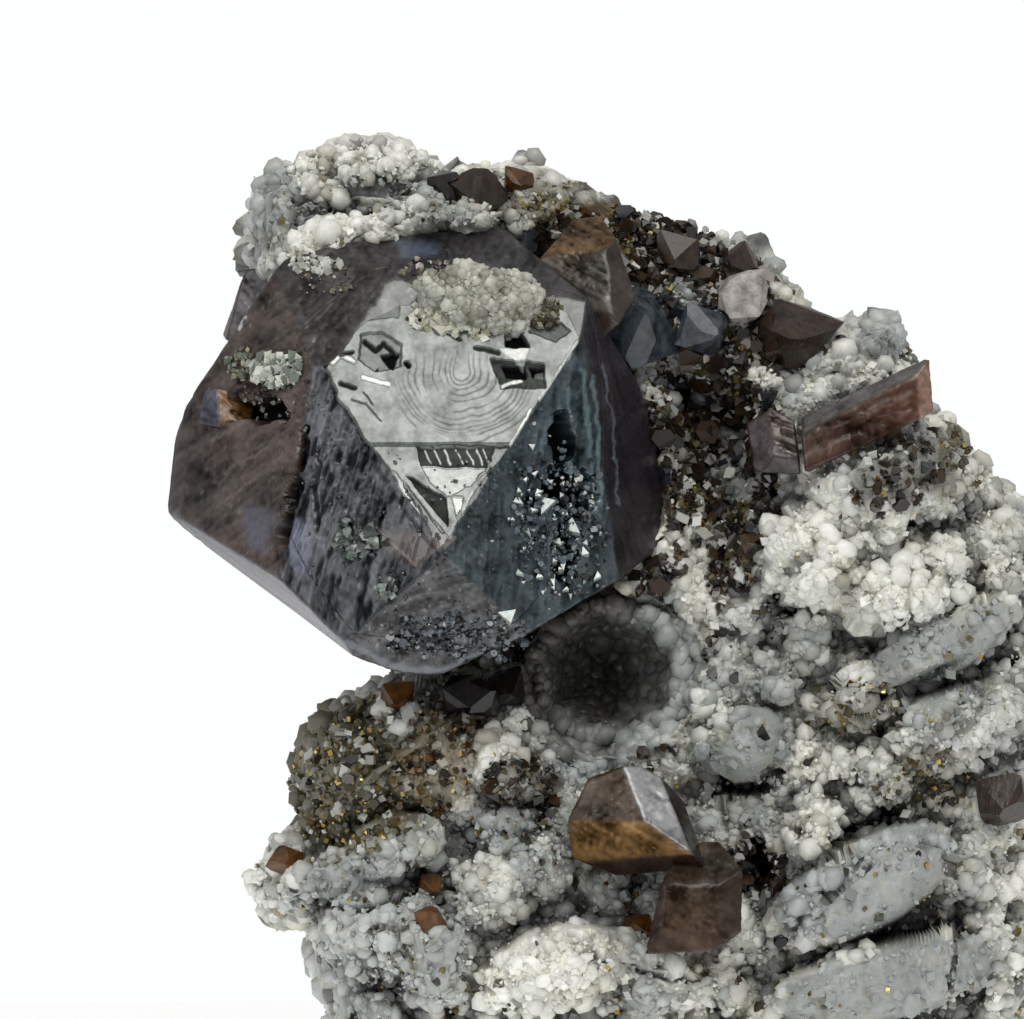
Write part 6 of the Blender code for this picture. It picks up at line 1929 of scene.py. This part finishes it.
DARK_CLUSTERS = [
    Cluster(-21.4, 43.8, 2.3, 2.0, 60, 0.5, 1.25, ("#5A655F", "#77827B", "#3C4442", "#2C3230")),
    Cluster(-19.1, 39.8, 1.2, 1.1, 18, 0.4, 0.9, ("#5A655F", "#8A948E", "#3C4442")),
    Cluster(-13.6, 36.0, 7.0, 2.4, 340, 0.2, 0.55, ("#2E3438", "#4A525A", "#6B747C", "#1C2022")),
    Cluster(-5.4, 45.0, 4.4, 7.4, 420, 0.2, 0.6, ("#16191C", "#2A3238", "#3F4A52", "#5A6870")),
    Cluster(-15.8, 65.0, 2.6, 1.3, 90, 0.25, 0.7, ("#3A3632", "#5A544A", "#77705E", "#22201E")),
    Cluster(-24.0, 64.4, 3.6, 1.6, 60, 0.2, 0.5, ("#3A3632", "#5A544A", "#77705E")),
    Cluster(-27.6, 55.6, 4.0, 3.0, 60, 0.2, 0.45, ("#3A3632", "#4A4440", "#5F5A54")),
    Cluster(-17.0, 47.0, 12.0, 12.0, 260, 0.15, 0.4, ("#3A3D40", "#4F5458", "#2A2C2E")),
]
PALE_CLUSTERS = [
    Cluster(-28.0, 57.2, 2.5, 1.6, 150, 0.35, 0.85, ("#8F978C", "#B9BEB2", "#6C7468", "#D8DAD0"), 0.3),
    Cluster(-31.0, 57.6, 1.4, 1.5, 40, 0.3, 0.6, ("#6C7468", "#8F8F70", "#565C50"), 0.1),
    Cluster(-12.6, 62.4, 4.6, 3.0, 420, 0.3, 0.75, ("#D5D5C4", "#C2C2AE", "#E6E6DA", "#A9A88F"), 1.5),
    Cluster(-15.6, 61.4, 2.0, 1.5, 110, 0.25, 0.6, ("#C8C8B8", "#E0E0D4", "#9C9C84"), 0.7),
    Cluster(-6.6, 61.6, 1.7, 1.5, 110, 0.25, 0.6, ("#4E4A36", "#6A6650", "#33301F", "#8A8874"), 0.6),
    Cluster(-25.0, 65.6, 2.4, 1.0, 60, 0.3, 0.7, ("#D8DAD0", "#C2C4BA", "#A0A298"), 0.1),
]
# Larger steps that flash, painted pale for their reflection: X, Z and width
FLASHES = [(-6.5, 46.3, 1.7), (-7.9, 44.2, 0.9), (-4.3, 44.5, 2.2), (-6.0, 40.1, 1.3), (-9.6, 37.6, 1.7),
           (-7.6, 51.0, 0.7), (-5.4, 43.4, 1.1), (-8.6, 46.6, 0.8), (-3.4, 42.6, 0.9), (-2.3, 40.6, 0.8)]
# Field of the small ones: X and Z of its middle, and its half width and half height
FLASH_MIDDLE = (-5.8, 44.0)
FLASH_RADII = (3.8, 5.6)
FLASH_COUNT = 46


@dataclass
class Overgrowth:
    """Small crystals that have grown on the great one, and the steps in it that flash like its mirror, with
    their flash painted as a pale colour.
    """

    great: GreatCrystal

    def build_clusters(self, name: str, clusters: list, shape: GrainShape, material: bpy.types.Material,
                       slot: str, lustre: tuple) -> None:
        """Build all the clusters of one kind as one piece, each crystal half sunk in its facet."""
        random = np.random.default_rng(len(name))
        centres = []
        sizes = []
        tints = []
        for cluster in clusters:
            turn = random.uniform(0.0, 2 * np.pi, cluster.count)
            out = np.sqrt(random.uniform(0.0, 1.0, cluster.count)) * random.uniform(0.6, 1.0, cluster.count)
            x = cluster.x + cluster.w * out * np.cos(turn)
            z = cluster.z + cluster.h * out * np.sin(turn)
            size = cluster.low + (cluster.high - cluster.low) * random.uniform(size=cluster.count) ** 2
            y = self.great.front_depth(x, z) - cluster.lift * (1.0 - out ** 2) - 0.2 * size
            palette = np.array([linear(colour) for colour in cluster.hexes])
            centres.append(np.stack((x, y, z), axis=-1))
            sizes.append(size)
            tints.append(palette[random.integers(len(palette), size=cluster.count)])
        GrainScatter(name, shape, material, slot, np.vstack(centres), np.concatenate(sizes), np.vstack(tints),
                     lustre, CLUSTER_TURN_SEED).build()

    def build_flashes(self, material: bpy.types.Material) -> None:
        """Build the steps: triangular plates along the mirror facet, sunk in the facets beside it."""
        random = np.random.default_rng(FLASH_SEED)
        turn = random.uniform(0.0, 2 * np.pi, FLASH_COUNT)
        out = np.sqrt(random.uniform(0.0, 1.0, FLASH_COUNT))
        given = np.array(FLASHES)
        x = np.concatenate((given[:, 0], FLASH_MIDDLE[0] + FLASH_RADII[0] * out * np.cos(turn)))
        z = np.concatenate((given[:, 1], FLASH_MIDDLE[1] + FLASH_RADII[1] * out * np.sin(turn)))
        size = np.concatenate((given[:, 2], random.uniform(0.25, 0.7, FLASH_COUNT)))
        mirror = GREAT_FACETS["mirror"].normal
        across = unit(np.cross(mirror, (0.0, 0.0, 1.0)))
        upward = np.cross(across, mirror)
        total = len(x)
        middle = np.stack((x, self.great.front_depth(x, z), z), axis=-1) + mirror * 0.3
        spin = random.uniform(0.0, 2 * np.pi, total)[:, None] + np.array((0.0, 2.3, 3.9))
        radius = size[:, None] * 0.5 * random.uniform(0.6, 1.3, (total, 3))
        corners = middle[:, None] + (radius * np.cos(spin))[..., None] * across
        corners = corners + (radius * np.sin(spin))[..., None] * upward
        lean = random.normal(0.0, 0.05, (total, 3))[..., None] * size[:, None, None]
        points = np.concatenate((corners + mirror * lean, corners - mirror * 1.0), axis=1)
        faces = np.array([(0, 1, 2), (3, 5, 4), (0, 3, 4), (0, 4, 1), (1, 4, 5), (1, 5, 2), (2, 5, 3),
                          (2, 3, 0)])
        # painted reflection: the steps are coloured pale silvery grey for the light they flash
        light = random.uniform(0.5, 1.0, total)
        tint = np.repeat(light[:, None] * linear("#B9C6C2"), 6, axis=0)
        lustre = np.stack((np.full(total * 6, 0.16), np.repeat(0.5 * light, 6)), axis=-1)
        obj = build_bodies("great_crystal_painted_flashes", points, faces, tint, lustre, False)
        place_piece(obj, material, "dark_sphalerite")

    def build(self) -> None:
        """Build it all."""
        dark = BLACK_SPHALERITE.make()
        self.build_clusters("great_crystal_clusters", DARK_CLUSTERS, GrainShape.BLENDE, dark,
                            "dark_sphalerite", (0.22, 0.3))
        self.build_clusters("great_crystal_druse", PALE_CLUSTERS, GrainShape.RHOMB, DRUSY_DOLOMITE.make(),
                            "druse", (0.4, 0.5))
        self.build_flashes(dark)


@dataclass
class VugCrust:
    """The crust of small grey crystals that lines the vug."""

    rock: Rock
    brim: float = 84.0  # how far it comes forward, degrees from straight in
    gap: float = 0.6  # how far its inner face lies within the vug's wall, mm

    def swell(self, way: Array) -> Array:
        """How far the lumpy egg of the vug stands out in each direction, as a share of its radius."""
        x, y, z = np.moveaxis(way, -1, 0)
        lump = np.sin(7.0 * x + 2.0) * np.sin(8.0 * z + y) + 0.6 * np.sin(4.0 * z - 3.0 * x + 1.0)
        return 1.0 + VUG_LUMP * lump

    def tints(self, base: Array) -> Array:
        """Colour of the crystals on the egg: painted shade, dark brownish grey, paler towards the right, foot
        and front.
        """
        x, y, z = np.moveaxis(base, -1, 0)
        blotch = 0.8 * fractal(x + 0.5 * y, z, 3.0, 2, 47)
        right = smooth_step(x + blotch, -0.5, 6.0)
        foot = smooth_step(-z + blotch, 2.5, 6.5)
        forward = smooth_step(-y + blotch, -4.0, 1.0)
        pale = np.clip(0.08 + 0.55 * right + 0.35 * foot * forward + 0.25 * forward * right, 0.0, 1.0)
        dark = linear("#4A463E")
        return dark + pale[..., None] * (linear("#B4B9B6") - dark)

    def build_lumps(self, name: str, shape: GrainShape, count: int, low: float, high: float) -> None:
        """Build the crystals that are strewn over the egg up to just past its brim."""
        random = np.random.default_rng(count)
        bend = np.arccos(random.uniform(np.cos(np.radians(self.brim + 9.0)), 1.0, count))
        turn = random.uniform(0.0, 2 * np.pi, count)
        way = ways_around(bend, turn)
        sizes = low + (high - low) * random.uniform(size=count) ** 1.5
        base = way * np.array(VUG_RADII) * self.swell(way)[:, None]
        shallow = self.gap + 0.9 + 0.25 * random.uniform(-1.0, 1.0, count)
        centres = np.array(VUG_CENTRE) + base - way * shallow[:, None]
        # the crystals take the egg's colours, painted shade included
        tints = self.tints(base) * random.uniform(0.6, 1.1, (count, 1))
        material = DRUSY_DOLOMITE.make()
        GrainScatter(name, shape, material, "druse", centres, sizes, tints, LUMP_LUSTRE, LUMP_SEED).build()

    def build_rim(self) -> None:
        """Build the round crystals of the rim, between the crust and the rock's open face around it."""
        random = np.random.default_rng(RIM_SEED)
        count = 900
        turn = random.uniform(0.0, 2 * np.pi, count)
        reach = random.uniform(0.88, 1.10, count)
        base = np.stack((VUG_RADII[0] * np.cos(turn), 0.0 * turn, VUG_RADII[2] * np.sin(turn)), axis=-1)
        x = VUG_CENTRE[0] + reach * base[:, 0]
        z = VUG_CENTRE[2] + reach * base[:, 2]
        outside = np.array(VUG_CENTRE) + RIM_REACH * base
        shares = self.rock.grounds(outside[:, 0], outside[:, 2])
        y = self.rock.face_depth(outside[:, 0], outside[:, 2], shares)
        y = y + (RIM_REACH - reach) * 9.0 + random.uniform(0.0, 1.2, count)
        sizes = random.uniform(0.8, 2.1, count)
        # the crystals take the egg's colours, painted shade included
        tints = self.tints(base) * random.uniform(0.6, 1.1, (count, 1))
        GrainScatter("vug_rim_crystals", GrainShape.ROUND, DRUSY_DOLOMITE.make(), "druse",
                     np.stack((x, y, z), axis=-1), sizes, tints, LUMP_LUSTRE, RIM_TURN_SEED).build()

    def build(self) -> None:
        """Build the crust: a bowl whose inner face is a druse of round grey crystals."""
        sides = 200
        rings = 80
        angles = turns_around(sides)
        wave = value_noise(np.cos(angles) * 3.0, np.sin(angles) * 3.0, 1.0, 7)
        brim = np.radians(self.brim + 2.0 * wave)
        bend = brim[None, :] * (np.arange(rings)[:, None] + 1) / rings
        way = ways_around(bend, angles)
        skin = np.array(VUG_RADII) * self.swell(way)[..., None]
        middle = np.array(VUG_CENTRE)
        base = way * skin
        u = base[..., 0] + 0.7 * base[..., 1]
        v = base[..., 2] - 0.6 * base[..., 1]
        round_lumps = domes(u, v, 1.9, 23.0)
        coarse, pick = druse(u, v, 0.85, 0.8, 23.0)
        small, small_pick = druse(u, v, 0.45, 0.8, 33.0)
        depth = self.gap + 0.2 + 0.4 * round_lumps + 0.35 * coarse + 0.2 * small
        last = rings - 1 - np.arange(rings)[:, None] + 0.0 * bend
        depth = depth * smooth_step(last, 0.0, 4.0)
        inner = middle + way * (skin - np.maximum(depth, 0.1)[..., None] - self.gap)
        outer = (middle + way * (skin - self.gap * 0.5))[::-8]
        # painted shade: darker between the round lumps
        sunken = smooth_step(blurred(round_lumps, 8, 8) - round_lumps, 0.0, 0.6)
        light = (0.55 + 0.3 * pick + 0.25 * small_pick) * (1.0 - 0.7 * sunken)
        tint = self.tints(base) * light[..., None]
        lustre = np.stack((0.5 - 0.15 * pick, np.full(pick.shape, 0.25)), axis=-1)
        points = np.concatenate((inner, outer))
        tint = np.concatenate((tint, tint[::-8]))
        lustre = np.concatenate((lustre, lustre[::-8]))
        ends = (points[0].mean(axis=0), points[-1].mean(axis=0))
        obj = Skin("vug_lining", points, tint, lustre, ends, smooth=False).build()
        place_piece(obj, DRUSY_DOLOMITE.make(), "druse", "vug_crust")
        self.build_lumps("vug_round_crystals", GrainShape.ROUND, 1500, 0.9, 2.2)
        self.build_lumps("vug_small_crystals", GrainShape.RHOMB, 1800, 0.25, 0.7)
        self.build_rim()


@dataclass
class DrusePatch:
    """The white druse that has grown over the top of the mirror facet."""

    middle: tuple = (-12.0, -14.6, 62.6)
    radii: tuple = (5.0, 2.0, 3.4)
    lean: float = 30.0

    def build(self) -> None:
        """Build the patch: a lumpy egg with a druse on it, worked out in every direction from its middle."""
        rings = 90
        sides = 170
        bend = (np.pi * (np.arange(rings) + 0.5) / rings)[:, None]
        way = ways_around(bend, turns_around(sides))
        leant = np.array(Euler((np.radians(self.lean), 0.0, 0.0)).to_matrix())
        u = way[..., 0] * self.radii[0]
        v = way[..., 2] * self.radii[2]
        lumps = fractal(u + way[..., 1], v, 2.4, 3, 131)
        coarse, pick = druse(u, v, 1.0, 0.8, 43.0)
        small, small_pick = druse(u, v, 0.45, 0.8, 53.0)
        outward = 0.3 * coarse + 0.2 * small + 0.6 * lumps
        points = (way * (np.array(self.radii) + outward[..., None])) @ leant.T + np.array(self.middle)
        # painted shade: darker where the surface lies below the lumps around it
        sunken = smooth_step(blurred(outward, 6, 6) - outward, 0.0, 0.5)
        light = (0.85 + 0.15 * pick) * (1.0 - 0.6 * sunken) * (0.92 + 0.1 * small_pick)
        olive = 0.7 * smooth_step(fractal(u, v, 1.6, 3, 137), 0.1, 1.0)
        tint = linear("#C6C6BA") + olive[..., None] * (linear("#6F6D56") - linear("#C6C6BA"))
        tint = tint * light[..., None]
        lustre = np.stack((0.55 - 0.2 * pick, np.full(pick.shape, 0.4)), axis=-1)
        ends = (points[0].mean(axis=0), points[-1].mean(axis=0))
        obj = Skin("mirror_druse", points, tint, lustre, ends, smooth=False).build()
        place_piece(obj, DRUSY_DOLOMITE.make(), "druse", "crystal_druse")
        random = np.random.default_rng(DRUSE_SEED)
        for name, shape, count, low, high in (("mirror_druse_lumps", GrainShape.ROUND, 420, 0.5, 1.2),
                                              ("mirror_druse_crystals", GrainShape.RHOMB, 1500, 0.2, 0.6)):
            ring = random.integers(rings // 3, rings, count)
            side = random.integers(sides, size=count)
            sizes = low + (high - low) * random.uniform(size=count) ** 1.5
            # the grains take the patch's colour there, painted shade included
            tints = tint[ring, side] * random.uniform(0.7, 1.15, (count, 1))
            GrainScatter(name, shape, DRUSY_DOLOMITE.make(), "druse", points[ring, side], sizes, tints,
                         (0.4, 0.5), count).build()


@dataclass
class BrownCrystals:
    """The larger brown crystals around the great one, and the small ones that show as plain solids."""

    def build_habits(self, material: bpy.types.Material) -> None:
        """Build the crystals that are given facet by facet."""
        blade = {"front": FacetLook("#3E2416", 0.26, 0.5, 115.0, 0.06, 1.0, 0.12, 0.3),
                 "top": FacetLook("#4E4A47", 0.3, 0.4, 115.0, 0.03, 0.6, 0.25, 0.2),
                 "right_end": FacetLook("#7A5E50", 0.3, 0.4, 30.0, 0.03, 0.5, 0.2)}
        side = {"front": FacetLook("#33251F", 0.28, 0.3, 70.0, 0.10, 1.0, 0.13, 0.8),
                "left": FacetLook("#2E2020", 0.3), "lower": FacetLook("#241A18", 0.3)}
        behind = {"front": FacetLook("#3E3438", 0.28, 0.5, 40.0, 0.05, 0.8, 0.25),
                  "edge": FacetLook("#564A48", 0.3)}
        ridge = {"front": FacetLook("#30261A", 0.28, 0.5, 60.0, 0.08, 1.0, 0.12, 0.6),
                 "amber_top": FacetLook("#4E3614", 0.28, 0.5, 60.0, 0.08, 1.2, 0.12, 0.5),
                 "right": FacetLook("#2A2018", 0.3), "foot": FacetLook("#2A1E14", 0.3)}
        # painted reflection: the silver face is a pale grey for the light it reflects
        lower_left = {"silver": FacetLook("#8C8C8E", 0.22, 0.7, 60.0, 0.04, 0.5, 0.4, 0.6),
                      "brown": FacetLook("#3E3022", 0.28, 0.8, 120.0, 0.06, 1.1, 0.10, 0.3),
                      "dark": FacetLook("#2C2422", 0.26, 0.6, 40.0, 0.05, 0.8, 0.2, 0.2),
                      "amber": FacetLook("#5E4420", 0.28, 0.8, 60.0, 0.06, 1.2, 0.08, 0.3),
                      "below": FacetLook("#2E1C12", 0.3, shine=0.08)}
        lower_right = {"front": FacetLook("#3E2E20", 0.28, 0.8, 45.0, 0.06, 1.0, 0.11, 0.3),
                       "upper": FacetLook("#3A2E24", 0.28, 0.6, 90.0, 0.05, 0.9, 0.15, 0.3),
                       "right": FacetLook("#34281C", 0.28, shine=0.1),
                       "lower": FacetLook("#34200F", 0.28, shine=0.08),
                       "left": FacetLook("#32201A", 0.28, shine=0.1)}
        plan = [
            ("blade", BLADE_HABIT, blade, (19.0, -10.0, 53.4), "blade_crystal"),
            ("blade_neighbour", BLADE_SIDE_HABIT, side, (12.0, -9.5, 51.4), "blade_side_crystal"),
            ("crystal_behind", BEHIND_HABIT, behind, (-30.0, 1.5, 62.4), "behind_crystal"),
            ("amber_ridge", AMBER_RIDGE_HABIT, ridge, (-3.2, -6.5, 65.4), "amber_ridge_group"),
            ("lower_left", LOWER_LEFT_HABIT, lower_left, (0.4, -14.5, 21.0), "lower_crystal_group"),
            ("lower_right", LOWER_RIGHT_HABIT, lower_right, (5.2, -15.0, 15.4), "lower_crystal_group"),
        ]
        plain = FacetLook("#33221A", 0.3, shine=0.14)
        for number, (name, habit, looks, centre, node) in enumerate(plan):
            crystal = CrystalSkin(habit_facets(habit), looks, centre, plain, salt=200.0 + 20 * number,
                                  rounding=0.07)
            obj = crystal.skin(name, 0.0, 180.0, 96, 130).build()
            place_piece(obj, material, "brown_sphalerite", node)

    def dress_solids(self) -> None:
        """Dress the small crystals that are shown as plain solids."""
        brown = SolidFinish("sphalerite_brown_faces", "#17110D", "#3C2A1E").make()
        slate = SolidFinish("sphalerite_slate_faces", "#1C2026", "#4C555E").make()
        # painted reflection: the crystal that flashes gets pale grey faces
        bright = SolidFinish("sphalerite_painted_flash_faces", "#77716E", "#C8C2BE").make()
        black = SolidFinish("sphalerite_black_faces", "#0A0908", "#201B18", 0.2).make()
        amber = SolidFinish("sphalerite_amber_faces", "#2E1A08", "#6A4210", 0.28).make()
        chosen = {"blue_ridge_crystal": slate, "flash_ridge_crystal": bright, "dark_foot_group": black,
                  "grey_ridge_crystal": slate, "crest_crystal_3": black}
        for name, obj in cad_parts.items():
            if obj.hide_render:
                continue
            material = amber if name.startswith("amber") else chosen.get(name, brown)
            obj.data.materials.clear()
            obj.data.materials.append(material)

    def build(self) -> None:
        """Build and dress them all."""
        self.build_habits(BROWN_SPHALERITE.make())
        self.dress_solids()


@dataclass
class Studio:
    """A small pale floor, soft light and the camera."""

    floor_radius: float = 150.0
    ambient: float = 0.38  # strength of the light from all around
    key_power: float = 2.2  # watts

    def build_floor(self) -> None:
        """A round pale floor with a rounded edge, under the foot."""
        sides = 96
        turn = turns_around(sides)
        radii = np.array((30.0, 80.0, self.floor_radius, self.floor_radius, 80.0))[:, None]
        heights = np.array((FLOOR_TOP, FLOOR_TOP, FLOOR_TOP, FLOOR_FOOT, FLOOR_FOOT))[:, None]
        points = np.stack((radii * np.cos(turn), radii * np.sin(turn), heights + 0.0 * turn), axis=-1)
        shape = points.shape
        ends = tuple((-SHIFT[0], -SHIFT[1], height) for height in (FLOOR_TOP, FLOOR_FOOT))
        skin = Skin("floor", points - SHIFT, np.ones(shape), np.full(shape[:2] + (2,), 0.5), ends, False)
        floor = skin.build()
        material, _, shader = new_material("matt_white_paper")
        shader.inputs["Base Color"].default_value = (0.85, 0.85, 0.85, 1.0)
        shader.inputs["Roughness"].default_value = 0.7
        shader.inputs["Emission Color"].default_value = (1.0, 1.0, 1.0, 1.0)
        shader.inputs["Emission Strength"].default_value = 0.45
        floor.data.materials.append(material)

    def add_softbox(self, name: str, aim: Array, way: Array, distance: float, size: float, power: float,
                    hex_colour: str) -> None:
        """A square soft light that looks at `aim` from a direction, all in metres."""
        light = bpy.data.lights.new(name, "AREA")
        light.shape = "SQUARE"
        light.size = size
        light.energy = power
        light.color = tuple(linear(hex_colour))
        obj = bpy.data.objects.new(name, light)
        obj.location = Vector(aim + unit(way) * distance)
        obj.rotation_euler = Vector(-unit(way)).to_track_quat("-Z", "Y").to_euler()
        bpy.context.scene.collection.objects.link(obj)

    def build_light(self) -> None:
        """The key light is where the mirror facet reflects it to the camera, with a fill from the left."""
        mirror = GREAT_FACETS["mirror"]
        ahead = np.array((0.0, 1.0, 0.0))
        way = ahead - 2 * float(ahead @ mirror.normal) * mirror.normal
        aim = (np.array((-14.0, -20.0, 54.0)) + SHIFT) * MM
        self.add_softbox("key_softbox", aim, way, 0.6, 0.5, self.key_power, "#FFFDF8")
        self.add_softbox("fill_softbox", aim, np.array((-0.8, -0.45, 0.35)), 0.8, 0.5, 0.8, "#F4F8FF")
        world = bpy.data.worlds.new("studio")
        bpy.context.scene.world = world
        world.use_nodes = True
        tree = world.node_tree
        background = tree.nodes["Background"]
        ray = add_node(tree, "ShaderNodeLightPath").outputs["Is Camera Ray"]
        seen = add_node(tree, "ShaderNodeMix", {0: ray, 2: self.ambient, 3: 1.0}, data_type="FLOAT")
        tree.links.new(seen.outputs[0], background.inputs["Strength"])
        background.inputs["Color"].default_value = (0.99, 1.0, 1.0, 1.0)

    def build_camera(self) -> None:
        """The camera looks along +Y with a long lens."""
        camera = bpy.data.cameras.new("camera")
        camera.sensor_width = FILM_WIDTH
        camera.lens = LENS_LENGTH
        distance = SEEN_WIDTH * LENS_LENGTH / FILM_WIDTH
        place = (np.array(SEEN_MIDDLE) + SHIFT - np.array((0.0, distance, 0.0))) * MM
        camera.clip_start = 0.05
        camera.clip_end = 10.0
        obj = bpy.data.objects.new("camera", camera)
        obj.location = Vector(place)
        obj.rotation_euler = (np.pi / 2, 0.0, 0.0)
        bpy.context.scene.collection.objects.link(obj)
        bpy.context.scene.camera = obj

    def build(self) -> None:
        """Build the studio."""
        self.build_floor()
        self.build_light()
        self.build_camera()
        bpy.context.scene.view_settings.view_transform = "Standard"


def main() -> None:
    """Build the specimen's looks and the studio around it."""
    logging.basicConfig(level=logging.INFO, format="%(message)s")
    rock = Rock()
    great = GreatCrystal()
    rock.build()
    great.build()
    VugCrust(rock).build()
    DrusePatch().build()
    BrownCrystals().build()
    RockGrains(rock, great).build()
    Overgrowth(great).build()
    Studio().build()


if __name__ == "__main__":
    main()
